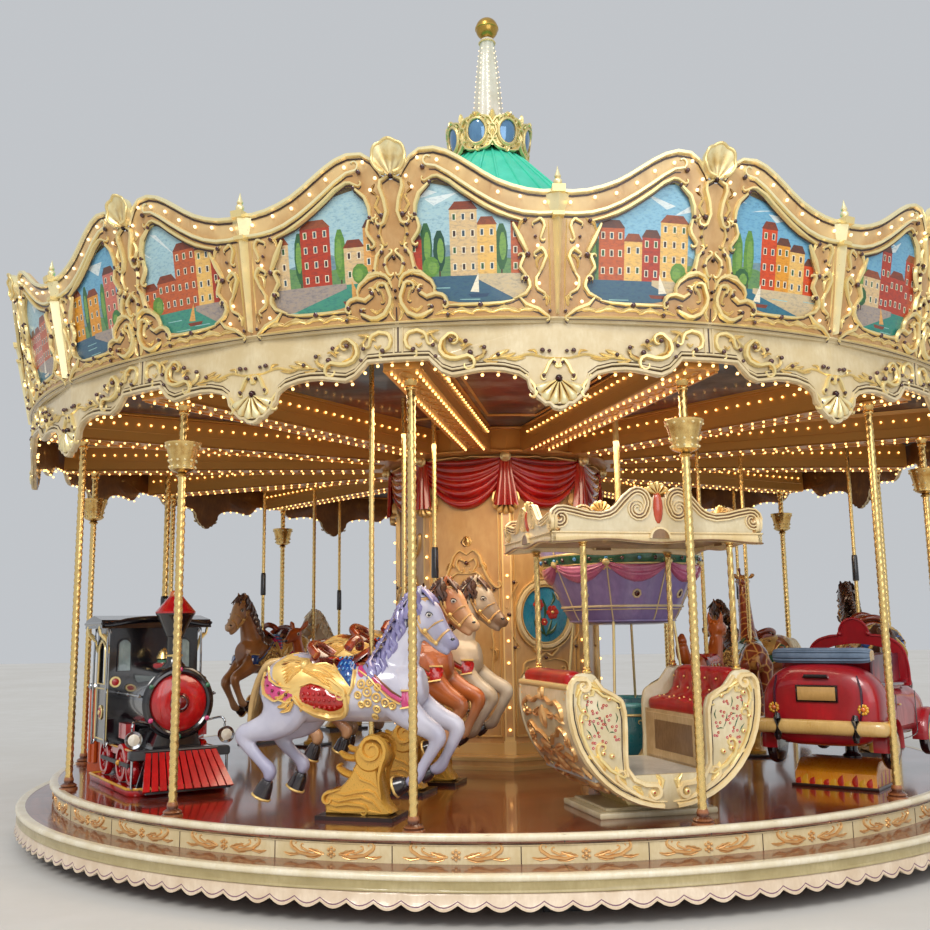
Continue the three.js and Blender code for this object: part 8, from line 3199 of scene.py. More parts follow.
def car_cover():
    """The painted body with its cockpit sunk in, joined to one skin."""
    work = bpy.data.objects.new("car_shell_work", car_body().mesh("car_shell"))
    well = Shape()
    outline = smooth_path([(-0.535, -0.300), (-0.500, -0.340), (0.10, -0.340), (0.240, -0.320),
                           (0.268, -0.25), (0.268, 0.25), (0.240, 0.320), (0.10, 0.340), (-0.500, 0.340),
                           (-0.535, 0.300), (-0.535, -0.300)], 4)[:-1]
    well.plate(outline, 0.430, 1.0, 0, "z")
    cutter = bpy.data.objects.new("car_well_work", well.mesh("car_well"))
    for made in (work, cutter):
        bpy.context.scene.collection.objects.link(made)
    sink = work.modifiers.new("sink", "BOOLEAN")
    sink.operation = "DIFFERENCE"
    sink.object = cutter
    sink.solver = "EXACT"
    mesh = bpy.data.meshes.new_from_object(work.evaluated_get(bpy.context.evaluated_depsgraph_get()))
    for made in (work, cutter):
        bpy.data.objects.remove(made)
    return smooth_faces(mesh, 32)


FENDER_R = 0.205
AXLE_X, AXLE_Y, AXLE_Z = 0.56, 0.430, 0.330


def fender(x):
    """A round mudguard over a wheel, seen from the side."""
    t = Shape()
    rows = []
    for a in np.radians(np.linspace(-12, 192, 25)):
        section = []
        for out, grow in ((0.36, 1.0), (0.440, 1.02), (0.470, 0.99), (0.482, 0.93), (0.470, 0.90),
                          (0.36, 0.92)):
            reach = FENDER_R * grow
            section.append((x + reach * math.cos(a), out, 0.345 + reach * math.sin(a)))
        rows.append(section)
    t.grid(rows, 8, closed_ring=True, caps=True)
    return t


def car_wheels(t):
    """Fenders, tyres and hubs."""
    for x in (-AXLE_X, AXLE_X):
        for side in (-1, 1):
            t.copy_in(fender(x), lambda p, side=side: p * (1, side, 1), flip=side < 0)
            wheel = Shape()
            wheel.lathe([(0.0, -0.040), (0.118, -0.040), (0.150, -0.034), (0.163, -0.015), (0.165, 0.010),
                         (0.158, 0.030), (0.120, 0.040), (0.112, 0.028), (0.0, 0.028)], 32, 1)
            wheel.lathe([(0.0, 0.028), (0.108, 0.028), (0.102, 0.042), (0.070, 0.046), (0.040, 0.060),
                       (0.0, 0.064)], 28, 2)

            def on_axle(p, x=x, side=side):
                return p[:, (0, 2, 1)] * (1, side, 1) + np.array((x, side * AXLE_Y, AXLE_Z))
            t.copy_in(wheel, on_axle)


def car_tail(t):
    """Plate, lamps and lines of the tail."""
    back = Shape()
    for side in (-1, 1):
        back.ridge(smooth_path([(side * 0.300, 0.50), (side * 0.325, 0.62), (side * 0.325, 0.76),
                                (side * 0.300, 0.86)], 5),
                   0.010, 0.014, 0, ends=(0.6, 0.6))
    plate_ring = oblong(-0.158, 0.660, 0.158, 0.788)
    middle = plate_ring.mean(0)
    back.plate(plate_ring, -0.01, 0.016, 1, "z", bevel=0.006)
    back.plate(middle + (plate_ring - middle) * (0.90, 0.78), 0.012, 0.022, 3, "z", bevel=0.004)
    back.plate(np.array([(-0.095, 0.838), (0.095, 0.838), (0.085, 0.866), (-0.085, 0.866)]), -0.02, 0.024,
               1, "z", bevel=0.004)
    for side in (-1, 1):
        for i in range(9):
            a = math.tau * i / 9
            back.ball((side * 0.335 + 0.029 * math.cos(a), 0.615 + 0.029 * math.sin(a), 0.004), 0.014, 8, 5,
                      4, stretch=(1, 1, 0.6))
        back.ball((side * 0.335, 0.615, 0.008), 0.020, 10, 6, 5, stretch=(1, 1, 0.7))
    t.copy_in(back, lambda p: np.column_stack([-0.850 - p[:, 2], p[:, 0], p[:, 1]]))


def car_bumpers(t):
    """Bumpers with their uprights."""
    bar = smooth_path([(-0.70, -0.478, 0.480), (-0.82, -0.476, 0.480), (-0.880, -0.42, 0.480),
                       (-0.882, 0.0, 0.480), (-0.880, 0.42, 0.480), (-0.82, 0.476, 0.480),
                       (-0.70, 0.478, 0.480)], 5)
    t.tube(bar, 0.038, 14, 6, flat=1.45)
    nose = bar * (-0.93, 0.94, 1)
    t.tube(nose, 0.034, 14, 6, flat=1.3)
    for y in (-0.29, 0.29):
        for x in (-0.922, 0.856):
            t.tube([(x + 0.01, y, 0.385), (x, y, 0.42), (x, y, 0.54), (x + 0.01, y, 0.575)],
                   (0.020, 0.030, 0.030, 0.020), 10, 1)


def car_sides(t):
    """Headlamps, sills and door lines."""
    for side in (-1, 1):
        spun(t, [(0.0, -0.02), (0.058, -0.02), (0.064, 0.015), (0.056, 0.022), (0.0, 0.034)], 24, 3,
             (0.775, side * 0.27, 0.60), "x")
        t.tube([(-0.545, side * 0.345, 0.782), (-0.30, side * 0.372, 0.772), (0.05, side * 0.375, 0.762),
                (0.26, side * 0.36, 0.770)], 0.018, 8, 0)
        door = [(-0.33, 0.70), (-0.335, 0.45), (-0.28, 0.365), (0.20, 0.365), (0.235, 0.45), (0.235, 0.70)]
        line = Shape()
        line.ridge(smooth_path(door, 4), 0.0045, 0.006, 1, ends=(1, 1))
        line.ball((-0.24, 0.62, 0.006), 0.014, 8, 5, 6, stretch=(2.2, 0.7, 0.8))
        on_sides(t, line, 0.431, sides=(side,))


def car_cockpit(t):
    """Steering wheel and bench."""
    wheel_ring = circle(0.115, 26)
    tilt = Matrix.Rotation(math.radians(62), 3, "Y")
    ring = np.array([tuple(tilt @ Vector((x, y, 0))) for x, y in wheel_ring]) + np.array((0.10, 0.0, 0.80))
    t.tube(ring, 0.011, 7, 1, closed=True, up=(0, 0, 1))
    for a in (0, math.pi / 2, math.pi, math.pi * 1.5):
        spoke_end = tilt @ Vector((0.112 * math.cos(a), 0.112 * math.sin(a), 0))
        t.tube([(0.10, 0, 0.80), (0.10 + spoke_end.x, spoke_end.y, 0.80 + spoke_end.z)], 0.007, 6, 2)
    t.tube([(0.10, 0, 0.80), (0.24, 0, 0.725)], 0.013, 8, 1)
    bench = smooth_path([(-0.50, 0.44), (-0.30, 0.44), (-0.29, 0.545), (-0.36, 0.56), (-0.44, 0.58),
                         (-0.47, 0.70), (-0.50, 0.76), (-0.53, 0.74), (-0.53, 0.50), (-0.50, 0.44)], 3)[:-1]
    t.plate(bench, -0.31, 0.31, 7, "y", bevel=0.016)


def car_details():
    """All that stands on the car's body."""
    t = Shape()
    car_wheels(t)
    car_tail(t)
    car_bumpers(t)
    car_sides(t)
    car_cockpit(t)
    return t


HOOD_X = -0.665
HOOD_Z = 0.998


def car_hood():
    """The folded hood behind the seats: fine soft folds over a cream tube."""
    t = Shape()
    across = np.linspace(-1, 1, 33)
    rows = []
    count = 89
    for i in range(count):
        part = i / (count - 1)
        fold = 0.011 * abs(math.sin(math.pi * 11 * part)) ** 0.6
        angle = math.radians(-35 + 275 * part)
        reach_x, reach_z = 0.070 + fold, 0.052 + fold
        x = HOOD_X + reach_x * math.cos(angle)
        z = HOOD_Z + reach_z * math.copysign(abs(math.sin(angle)) ** 0.6, math.sin(angle))
        bend = 0.035 * (1 - across ** 2)
        ease = 1 - 0.25 * np.abs(across) ** 16
        rows.append(np.column_stack([HOOD_X + (x - HOOD_X) * ease - bend * 0.6, 0.372 * across,
                                     HOOD_Z + (z - HOOD_Z) * ease]))
    t.grid(rows, 0, closed_rows=True)
    for side in (-1, 1):
        ring = np.array([row[0 if side < 0 else -1] for row in rows])
        hub = ring.mean(0)
        inner = hub + (ring - hub) * 0.5 + (0, side * 0.006, 0)
        t.grid([ring, inner, np.repeat([hub + (0, side * 0.008, 0)], count, axis=0)], 1, closed_ring=True)
    return t


def windscreen():
    """The arched frame over the dashboard, with a small crest, and its pane."""
    t = Shape()
    outer = mirrored_line([(-0.405, 0.745), (-0.405, 0.900), (-0.380, 1.030), (-0.310, 1.105),
                           (-0.205, 1.140), (-0.130, 1.150), (-0.112, 1.205), (-0.070, 1.262),
                           (0.0, 1.285)])
    inner = mirrored_line([(-0.330, 0.745), (-0.330, 0.880), (-0.315, 0.965), (-0.262, 1.025),
                           (-0.180, 1.055), (-0.100, 1.068), (-0.070, 1.072), (-0.035, 1.075),
                           (0.0, 1.076)])

    def lean(points):
        return np.column_stack([0.275 - (points[:, 1] - 0.69) * 0.165 + points[:, 2], points[:, 0],
                                points[:, 1]])
    rows = [lean(at_level(line, depth)) for line, depth in
            ((outer, -0.018), (inner, -0.018), (inner, 0.018), (outer, 0.018))]
    t.grid(rows, 0, closed_rows=True)
    t.tube(lean(at_level(outer, -0.018)), 0.010, 6, 0, up=(1, 0, 0))
    sill = Shape()
    sill.plate(oblong(-0.400, 0.735, 0.400, 0.800), -0.02, 0.02, 0, "z", bevel=0.006)
    for side in (-1, 1):
        sill.ball((side * 0.118, 1.158, -0.018), 0.020, 10, 7, 0)
    t.copy_in(sill, lean)
    return t


def mirrored_line(points):
    """A smooth line through points and their mirror images, the last point being on the mirror."""
    points = np.array(points)
    return smooth_path(np.vstack([points, points[-2::-1] * (-1, 1)]), 5)


FLAME_SIDE = [(-0.555, 0.002), (-0.065, 0.002), (-0.065, 0.115), (-0.150, 0.198), (-0.430, 0.198),
              (-0.555, 0.115)]


def car_block():
    """The sloped block under the car, with painted flames in relief, and its post."""
    t = Shape()
    t.plate(np.array(FLAME_SIDE), -0.308, 0.308, 0, "y", bevel=0.008)
    flames = Shape()
    draw = random.Random(7)
    for i in range(9):
        x = -0.53 + 0.052 * i
        tall = min(0.165, 0.05 + 0.04 * i) * (0.8 + 0.3 * draw.random())
        flames.leaf([(x, 0.012), (x + 0.018, tall * 0.5), (x + 0.006 + 0.02 * draw.random(), tall)], 0.024,
                    0.006, 1 if i % 2 else 2, lobes=1)
    on_sides(t, flames, 0.307)
    end = Shape()
    for i in range(11):
        y = -0.27 + 0.054 * i
        tall = 0.06 + 0.05 * draw.random()
        end.leaf([(y, 0.010), (y + 0.014, tall * 0.5), (y - 0.004, tall)], 0.024, 0.006, 1 if i % 2
                 else 2, lobes=1)
    t.copy_in(end, lambda p: np.column_stack([-0.555 - p[:, 2], p[:, 0], p[:, 1]]))
    t.plate(oblong(-0.580, -0.330, -0.040, 0.330), 0.0, 0.022, 3, "z", bevel=0.004)
    t.lathe([(0.0, 0.12), (0.070, 0.19), (0.072, 0.215), (0.050, 0.235), (0.045, 0.26), (0.045, 0.300),
             (0.062, 0.318), (0.062, 0.329), (0.0, 0.329)], 22, 4, centre=(-0.22, -0.04))
    return t


def add_car():
    """The two-door car with its hood and windscreen, on its flame-painted block."""
    place = on_deck(*CAR)
    piece("car_shell", car_cover(), [CAR_CRIMSON], stands_for=["car_body"], place=place)
    piece("car_details", car_details(),
          [CAR_PURPLE, BLACK_GLOSS, CAR_CREAM, PLATE_TAN, LOCO_YELLOW, HARNESS_ORANGE, CAR_CREAM,
           SEAT_LEATHER, CAR_CRIMSON],
          place=place, sharp=50)
    hood = piece("car_folded_hood", car_hood(), [HOOD_CLOTH, CAR_CREAM], place=place, sharp=60)
    piece("car_windscreen", windscreen(), [CAR_CRIMSON, CAR_PURPLE], place=place)
    piece("car_flame_block", car_block(), [FLAME_ORANGE, LOCO_YELLOW, FLAME_RED, STAND_PLATE, BLACK_GLOSS],
          stands_for=["car_stand"], place=place)


def cloth(name, colour, shade, crease_shade):
    """A woven cover with a fine weave and painted shade in its creases."""
    paint = Paint(name, 0.75)
    base = paint.mix(paint.mask(paint.noise(7, 4), 0.35, 0.7), linear(colour), linear(shade))
    # Creases, found by pointiness, take the crease colour: painted shade.
    base = paint.mix(paint.mask(paint.pointiness(), 0.495, 0.45), base, linear(crease_shade))
    paint.colour(base)
    weave = paint.maths("MULTIPLY", paint.noise(420, 1, stretch=(1.0, 0.2, 1.0)),
                        paint.noise(420, 1, stretch=(0.2, 1.0, 0.2)))
    paint.bump(weave, 0.25, 0.001)
    return paint.material


CAR_CRIMSON = enamel("car_crimson", "b0121f", "860a17", rough=0.3, coat=0.55, scale=2.5, hollow_shade="4a0a24")
CAR_PURPLE = enamel("car_purple", "4a1a34", "331026", rough=0.18, coat=1.0, hollow_shade="14060e")
CAR_CREAM = enamel("car_cream", "d6b272", "c09a58", rough=0.25, coat=0.8, hollow_shade="7a5c34")
PLATE_TAN = enamel("plate_tan", "c39a5c", "ab8448", rough=0.35)
HOOD_CLOTH = cloth("hood_blue_grey", "6c7f96", "52647a", "26303c")
FLAME_ORANGE = enamel("flame_orange", "e89c26", "d47c18", rough=0.25, coat=0.8, hollow_shade="6c2c06")
FLAME_RED = enamel("flame_red", "c4301a", "a01c10", rough=0.25, coat=0.8)


# Balloon ride

BALLOON = (23.15, 2.20)
BASKET_LINE = [(0.0, 0.0), (0.330, 0.0), (0.334, 0.045), (0.300, 0.062), (0.215, 0.090), (0.300, 0.125),
               (0.418, 0.200), (0.470, 0.310), (0.502, 0.430), (0.512, 0.560), (0.524, 0.618),
               (0.518, 0.640), (0.486, 0.640), (0.478, 0.600), (0.468, 0.480), (0.445, 0.400),
               (0.378, 0.242), (0.0, 0.241)]
ENVELOPE_LINE = [(0.040, 1.290), (0.240, 1.262), (0.300, 1.262), (0.410, 1.276), (0.452, 1.310),
                 (0.500, 1.400), (0.572, 1.560), (0.636, 1.700), (0.674, 1.830), (0.682, 1.900),
                 (0.660, 1.960), (0.575, 2.010), (0.430, 2.040), (0.260, 2.058), (0.070, 2.066)]
ENVELOPE = smooth_path(ENVELOPE_LINE, 4)
BALLOON_PANELS = 8


def bulge(turn):
    """How far the envelope reaches at an angle, as a share of its radius."""
    return 0.965 + 0.035 * np.abs(np.cos(BALLOON_PANELS * turn / 2 + math.pi / 2))


def skin_radius(height):
    """The envelope's radius at a height above its lower rim."""
    return np.interp(height, ENVELOPE[12:, 1], ENVELOPE[12:, 0])


def band_row(u, height, out):
    """Points round the envelope at a height, standing out from it."""
    reach = skin_radius(height) * bulge(u) + out
    return np.column_stack([reach * np.sin(u), -reach * np.cos(u), height])


def envelope_bands(t):
    """Gores with raised seams, the jewelled green band and the lesser rings."""
    t.lathe(ENVELOPE, 96, 0, wave=bulge)
    seam_line = ENVELOPE[14:]
    for i in range(BALLOON_PANELS):
        turn = math.tau * i / BALLOON_PANELS
        path = [(0.972 * r * math.sin(turn), -0.972 * r * math.cos(turn), z) for r, z in seam_line]
        t.tube(path, 0.006, 6, 5)
    turn = round_angles(192)
    band = [band_row(turn, np.full(len(turn), height), out)
            for height, out in ((1.738, 0.002), (1.746, 0.014), (1.806, 0.016), (1.814, 0.002))]
    t.grid(band, 2, closed_ring=True)
    for height, thick, slot in ((1.736, 0.008, 1), (1.818, 0.010, 1), (1.405, 0.010, 5), (1.380, 0.005, 5),
                                (1.290, 0.007, 0)):
        t.tube(band_row(turn, np.full(len(turn), height), 0.004), thick, 6, slot, closed=True)
    for i in range(32):
        angle = math.tau * i / 32
        point = band_row(np.array([angle]), np.array([1.776]), 0.016).ravel()
        t.ball(point, 0.017, 9, 6, 4 if i % 2 else 6)


def balloon_swag():
    """A folded swag across one gore."""
    made = Shape()
    columns = np.linspace(-1, 1, 25)
    rows, backs = [], []
    for part in np.linspace(0, 1, 15):
        top = 1.752 - 0.030 * (1 - columns ** 2)
        low = 1.590 + 0.135 * np.abs(columns) ** 2
        height = top + (low - top) * part
        fold = np.abs(np.sin(math.pi * 4 * part))
        out = 0.014 + 0.020 * np.sin(math.pi * part) * (1 - columns ** 2) + 0.010 * fold
        rows.append(np.column_stack([columns, height, out]))
        backs.append(np.column_stack([columns, height, np.full(len(columns), -0.004)]))
    made.grid(rows + backs[::-1], 3, closed_rows=True)
    return made


def balloon_knot():
    """The gilt tie between two swags."""
    knot = Shape()
    knot.ball((0, 1.745, 0.02), 0.030, 10, 7, 1)
    for side in (-1, 1):
        knot.leaf([(side * 0.01, 1.745), (side * 0.04, 1.765), (side * 0.065, 1.745)], 0.020, 0.022, 1,
                  lobes=2)
        knot.leaf([(side * 0.005, 1.735), (side * 0.022, 1.705), (side * 0.040, 1.690)], 0.016, 0.020, 1,
                  lobes=2)
    return knot


def balloon_envelope():
    """Eight lilac gores with swags, ties, jewels and bands, under the head and its pole."""
    t = Shape()
    envelope_bands(t)
    swag_form, knot = balloon_swag(), balloon_knot()
    gem = Shape()
    jewel(gem, 0.0, 1.500, 0.030, 5, 4)
    half_turn = math.pi / BALLOON_PANELS
    for i in range(BALLOON_PANELS):
        middle = (i + 0.5) * math.tau / BALLOON_PANELS

        def lay(p, middle=middle, scale=half_turn):
            u = middle + p[:, 0] * scale
            radius = skin_radius(p[:, 1]) * bulge(u) + p[:, 2]
            return np.column_stack([radius * np.sin(u), -radius * np.cos(u), p[:, 1]])
        t.copy_in(swag_form, lay)
        t.copy_in(gem, lambda p, middle=middle: lay(p, middle, 1 / 0.55))
        t.copy_in(knot, lambda p, i=i: lay(p, i * math.tau / BALLOON_PANELS, 1 / 0.60))
    t.lathe([(0.0, 2.050), (0.10, 2.055), (0.105, 2.075), (0.060, 2.090), (0.040, 2.110), (0.0, 2.110)], 28,
            1)
    t.copy_in(rope_post(2.080, RIDE_POLE_TOP, 0.026, pitch=0.08), lambda p: p, slot=1)
    return t


def add_balloon():
    """The balloon's envelope, and its basket with rims, jewels and stays."""
    place = on_deck(*BALLOON)
    piece("balloon_gores", balloon_envelope(),
          [LILAC, GOLD, HARNESS_GREEN, SWAG_PINK, JEWEL, CREAM, SKY_JEWEL],
          stands_for=["balloon_envelope"], place=place, sharp=45, keep=0.26)
    t = Shape()
    t.lathe(BASKET_LINE, 96, 0, wave=lambda a: 1 + 0.012 * np.abs(np.sin(12 * a)))
    for height, radius, thick, slot in ((0.630, 0.508, 0.024, 1), (0.560, 0.520, 0.010, 2),
                                        (0.200, 0.424, 0.012, 2), (0.030, 0.336, 0.012, 2)):
        ring_tube(t, (0, 0, height), radius, thick, "z", slot, 64, 8)
    for i in range(12):
        turn = math.tau * (i + 0.5) / 12
        face = Shape()
        jewel(face, 0.0, 0.44, 0.024, 2, 3)
        face.ridge(scroll_path([(-0.06, 0.52), (0.0, 0.50), (0.06, 0.52)], (0.02, 240), (0.02, -240)),
                   0.008, 0.012, 2)
        face.leaf([(0.0, 0.30), (0.012, 0.35), (0.0, 0.40)], 0.022, 0.012, 2, lobes=3)

        def lay(p, turn=turn):
            u = turn + p[:, 0] / 0.5
            radius = np.interp(p[:, 1], [0.2, 0.31, 0.43, 0.56], [0.420, 0.472, 0.505, 0.516]) + p[:, 2]
            return np.column_stack([radius * np.sin(u), -radius * np.cos(u), p[:, 1]])
        t.copy_in(face, lay)
    for i in range(4):
        turn = math.tau * (i + 0.5) / 4
        t.tube([(0.495 * math.sin(turn), -0.495 * math.cos(turn), 0.62),
                (0.420 * math.sin(turn), -0.420 * math.cos(turn), 1.30)],
               0.011, 8, 2)
    piece("balloon_basket_turned", t, [TEAL, TEAL_PALE, GOLD, JEWEL],
          stands_for=["balloon_basket"], place=place, keep=0.6)


LILAC = enamel("balloon_lilac", "9d8fc0", "7f70a6", rough=0.3, coat=0.6, scale=3.0, hollow_shade="3c3058")
SWAG_PINK = enamel("balloon_swag_pink", "d07a9c", "b45a80", rough=0.25, coat=0.8, hollow_shade="5c1c38")
TEAL = enamel("basket_teal", "2f7f86", "22646c", rough=0.25, coat=0.8, hollow_shade="0c2c30")
TEAL_PALE = enamel("basket_rim_teal", "69b0b0", "4c9496", rough=0.2, coat=0.9)


# Smaller animals

def animal_body(name, form):
    """A standing animal's body, moulded from the limbs that its form adds."""
    t = Shape()
    form(t)
    return moulded(name, t, 0.012, 4, keep=0.3)


def leg_pair(shape, joints, spread):
    """Two like legs on either side, each with a round foot."""
    for side in (-1, 1):
        chain(shape, joints, side * spread, sides=12)
        foot = joints[-1]
        shape.ball((foot[0] + 0.012, side * spread, foot[1] - 0.012), 0.040, 9, 6, stretch=(1.3, 0.9, 0.8))


def fawn_form(t):
    """Limbs of the fawn, with long ears and a short tail."""
    chain(t, [(-0.42, 0.80, 0.10, 0.08), (-0.34, 0.79, 0.150, 0.120), (-0.18, 0.77, 0.150, 0.125),
              (0.0, 0.765, 0.148, 0.125), (0.15, 0.79, 0.155, 0.118), (0.24, 0.82, 0.12, 0.09)], sides=18)
    chain(t, [(0.16, 0.84, 0.120, 0.088), (0.235, 0.96, 0.085, 0.064), (0.285, 1.08, 0.066, 0.052),
              (0.315, 1.17, 0.060, 0.050)])
    chain(t, [(0.300, 1.225, 0.070, 0.062), (0.370, 1.205, 0.072, 0.058), (0.435, 1.170, 0.050, 0.042),
              (0.490, 1.140, 0.034, 0.032)])
    leg_pair(t, [(0.17, 0.74, 0.10, 0.062), (0.20, 0.60, 0.058, 0.045), (0.22, 0.48, 0.034, 0.032),
                 (0.20, 0.38, 0.026, 0.026), (0.19, 0.33, 0.030, 0.028)], 0.085)
    leg_pair(t, [(-0.33, 0.74, 0.12, 0.070), (-0.36, 0.60, 0.075, 0.052), (-0.41, 0.49, 0.040, 0.034),
                 (-0.37, 0.39, 0.028, 0.027), (-0.36, 0.34, 0.030, 0.028)], 0.085)
    for side in (-1, 1):
        ear = smooth_path([(0.290, side * 0.050, 1.270), (0.275, side * 0.090, 1.320),
                           (0.268, side * 0.118, 1.365)], 4)
        t.tube(ear, np.interp(np.linspace(0, 1, len(ear)), [0, 0.5, 1], [0.022, 0.038, 0.010]), 9, flat=0.5,
               up=(1, 0, 0))
        t.ball((0.365, side * 0.045, 1.225), 0.022, 8, 6)
    t.ball((-0.45, 0, 0.86), 0.050, 10, 7, stretch=(0.9, 0.8, 1.5))


def giraffe_form(t):
    """Limbs of the giraffe, with two horns, ears and a tail."""
    chain(t, [(-0.40, 0.90, 0.11, 0.09), (-0.33, 0.91, 0.165, 0.130), (-0.15, 0.91, 0.165, 0.135),
              (0.02, 0.94, 0.170, 0.135), (0.16, 0.99, 0.185, 0.128), (0.24, 1.03, 0.14, 0.10)], sides=18)
    chain(t, [(0.15, 1.05, 0.150, 0.105), (0.225, 1.21, 0.110, 0.080), (0.285, 1.38, 0.085, 0.066),
              (0.325, 1.53, 0.070, 0.056), (0.345, 1.63, 0.064, 0.052)])
    chain(t, [(0.315, 1.690, 0.068, 0.056), (0.385, 1.670, 0.072, 0.055), (0.450, 1.620, 0.052, 0.042),
              (0.505, 1.575, 0.040, 0.036)])
    leg_pair(t, [(0.17, 0.88, 0.11, 0.066), (0.18, 0.72, 0.066, 0.052), (0.19, 0.56, 0.044, 0.040),
                 (0.185, 0.42, 0.034, 0.032), (0.18, 0.33, 0.038, 0.034)], 0.090)
    leg_pair(t, [(-0.31, 0.86, 0.13, 0.076), (-0.34, 0.70, 0.080, 0.058), (-0.37, 0.56, 0.046, 0.040),
                 (-0.34, 0.43, 0.034, 0.032), (-0.33, 0.34, 0.038, 0.034)], 0.090)
    for side in (-1, 1):
        t.tube([(0.320, side * 0.028, 1.745), (0.312, side * 0.034, 1.800)], 0.013, 8)
        t.ball((0.310, side * 0.035, 1.808), 0.021, 8, 6)
        ear = [(0.285, side * 0.055, 1.715), (0.262, side * 0.088, 1.745), (0.245, side * 0.110, 1.760)]
        t.tube(ear, (0.020, 0.028, 0.008), 8, flat=0.5, up=(1, 0, 0))
        t.ball((0.380, side * 0.045, 1.690), 0.020, 8, 6)
    t.tube([(-0.46, 0, 0.96), (-0.50, 0, 0.86), (-0.495, 0, 0.72)], (0.020, 0.016, 0.026), 8)


def fox_form(t):
    """Limbs of the small orange animal, with pointed ears and a brush."""
    chain(t, [(-0.36, 0.86, 0.08, 0.07), (-0.28, 0.87, 0.125, 0.105), (-0.12, 0.87, 0.125, 0.110),
              (0.04, 0.88, 0.130, 0.110), (0.15, 0.91, 0.125, 0.098)], sides=18)
    chain(t, [(0.14, 0.94, 0.110, 0.088), (0.20, 1.04, 0.082, 0.068), (0.24, 1.13, 0.070, 0.060)])
    chain(t, [(0.225, 1.215, 0.085, 0.082), (0.300, 1.210, 0.082, 0.078), (0.370, 1.180, 0.048, 0.046),
              (0.425, 1.160, 0.026, 0.026)])
    leg_pair(t, [(0.14, 0.84, 0.085, 0.054), (0.17, 0.70, 0.050, 0.042), (0.19, 0.57, 0.034, 0.032),
                 (0.19, 0.44, 0.032, 0.030)], 0.070)
    leg_pair(t, [(-0.26, 0.84, 0.105, 0.062), (-0.29, 0.69, 0.060, 0.048), (-0.33, 0.56, 0.036, 0.032),
                 (-0.30, 0.44, 0.032, 0.030)],
             0.070)
    for side in (-1, 1):
        t.tube([(0.235, side * 0.048, 1.275), (0.228, side * 0.060, 1.330), (0.225, side * 0.064, 1.375)],
               (0.040, 0.026, 0.006), 9, flat=0.6, up=(0, 1, 0))
    brush = smooth_path([(-0.40, 0, 0.92), (-0.48, 0, 0.98), (-0.52, 0, 1.08), (-0.50, 0, 1.18)], 4)
    t.tube(brush, np.interp(np.linspace(0, 1, len(brush)), [0, 0.35, 0.8, 1], [0.030, 0.062, 0.050, 0.015]),
           12)


# Each animal: deck azimuth, radius, form, eye, nose, height of its back and paint slot
ANIMALS = {
    "fawn": (-121, 2.30, fawn_form, (0.365, 0.062, 1.218), (0.498, 1.146), 0.90, "fawn_coat"),
    "giraffe": (78, 2.50, giraffe_form, (0.385, 0.058, 1.690), (0.520, 1.572), 1.08, "giraffe_coat"),
    "fox": (50.5, 2.25, fox_form, (0.310, 0.070, 1.228), (0.436, 1.162), 0.99, "fox_coat"),
}


def animal_tack(skin, eye, nose, top):
    """Blanket, girth, collar, eyes and nose."""
    t = Shape()
    cloth_panel = Shape()
    low = top - 0.10
    draped_panel(cloth_panel,
                 [(-0.24, low), (-0.22, top + 0.04), (0.04, top + 0.04), (0.06, low), (0.02, low - 0.05),
                  (-0.20, low - 0.05)], 0.014, 0, 0.03)
    cloth_panel.ridge(smooth_path([(-0.24, low), (-0.20, low - 0.05), (0.02, low - 0.05), (0.06, low)], 4),
                      0.009, 0.022, 1)
    cloth_panel.ridge(smooth_path([(-0.09, low - 0.05), (-0.09, low - 0.13), (-0.09, low - 0.20)], 4),
                      0.012, 0.010, 2, ends=(1, 1))
    for x in (-0.16, -0.09, -0.02):
        jewel(cloth_panel, x, low + 0.01, 0.012, 1, 3, base=0.012)
    for side in (-1, 1):
        t.copy_in(cloth_panel, skin.lay(side), flip=side > 0)
        t.ball((eye[0], side * eye[1], eye[2]), 0.017, 10, 7, 4)
        t.ball((eye[0] + 0.007, side * (eye[1] + 0.009), eye[2]), 0.011, 9, 6, 5)
    t.ball((nose[0], 0, nose[1]), 0.021, 10, 7, 5, stretch=(0.8, 1.2, 0.8))
    return t


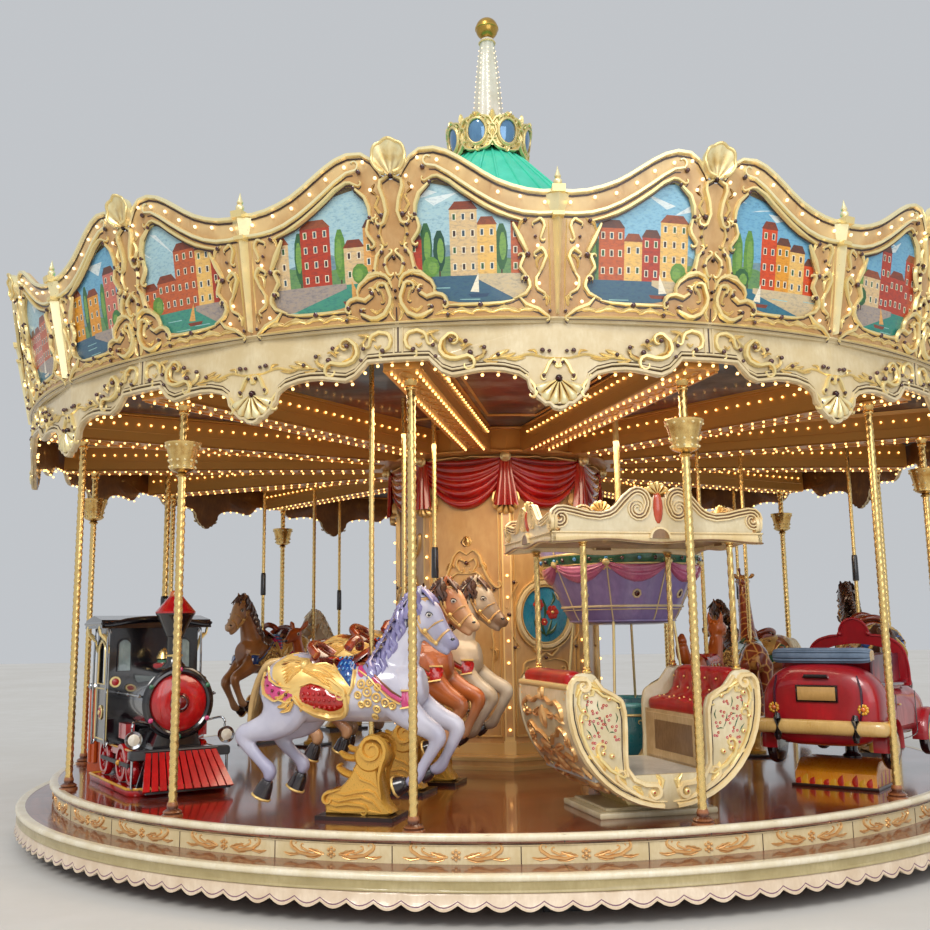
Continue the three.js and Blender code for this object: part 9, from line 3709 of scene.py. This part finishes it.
def animal_foot(place, name, body_low):
    """The turned post, plate and twisted pole that carry a standing animal."""
    t = Shape()
    t.plate(oblong(-0.20, -0.12, 0.20, 0.12), 0.0, 0.024, 1, "z", bevel=0.005)
    t.lathe([(0.0, 0.024), (0.095, 0.024), (0.098, 0.045), (0.060, 0.065), (0.046, 0.10), (0.052, 0.20),
             (0.066, 0.24), (0.052, 0.28), (0.044, 0.36), (0.044, body_low), (0.0, body_low)], 24, 0)
    t.lathe([(0.022, 3.02), (0.032, 3.02), (0.034, 3.05), (0.032, 3.10), (0.022, 3.11)], 14, 2, closed=True)
    pole = figure_pole(body_low - 0.1, RIDE_POLE_TOP)
    piece(f"{name}_post", t, [STAND_GOLD, STAND_PLATE, BLACK_GLOSS], place=place)
    piece(f"{name}_pole", pole, [BRASS], place=place)


def add_animals():
    """Fawn, giraffe and small orange animal, each with its tack, foot and pole."""
    paints = {"fawn": coat("fawn_painted", "b4591f", "9a4516", "6c2c0c"),
              "giraffe": coat("giraffe_painted", "8c3a1e", "6f2814", "5a2210", spots="c8924e"),
              "fox": coat("fox_painted", "c8641e", "aa4a12", "e0b484")}
    cloths = {"fawn": (HARNESS_BLUE, HARNESS_GREEN), "giraffe": (HARNESS_GREEN, HARNESS_RED),
              "fox": (HARNESS_RED, HARNESS_BLUE)}
    for name, (azimuth, radius, form, eye, nose, back, slot) in ANIMALS.items():
        place = on_deck(azimuth, radius)
        body = animal_body(f"{name}_body", form)
        skin = Skin(body)
        tack = animal_tack(skin, eye, nose, back)
        piece(f"{name}_figure", body, [paints[name]], stands_for=[name], place=place)
        piece(f"{name}_tack", tack,
              [cloths[name][0], HARNESS_GOLD, cloths[name][1], SKY_JEWEL, EYE_WHITE, BLACK_GLOSS],
              place=place)
        animal_foot(place, name, back - 0.22)


bpy.context.scene.view_settings.view_transform = "Standard"
add_camera()
add_studio()
add_base()
add_outer_poles()
add_crown()
add_pictures()
add_valance()
add_beams()
add_column()
add_roof()
add_ornament()
add_spire()
add_horses()
add_gondola()
add_locomotive()
add_coach()
add_car()
add_balloon()
add_animals()
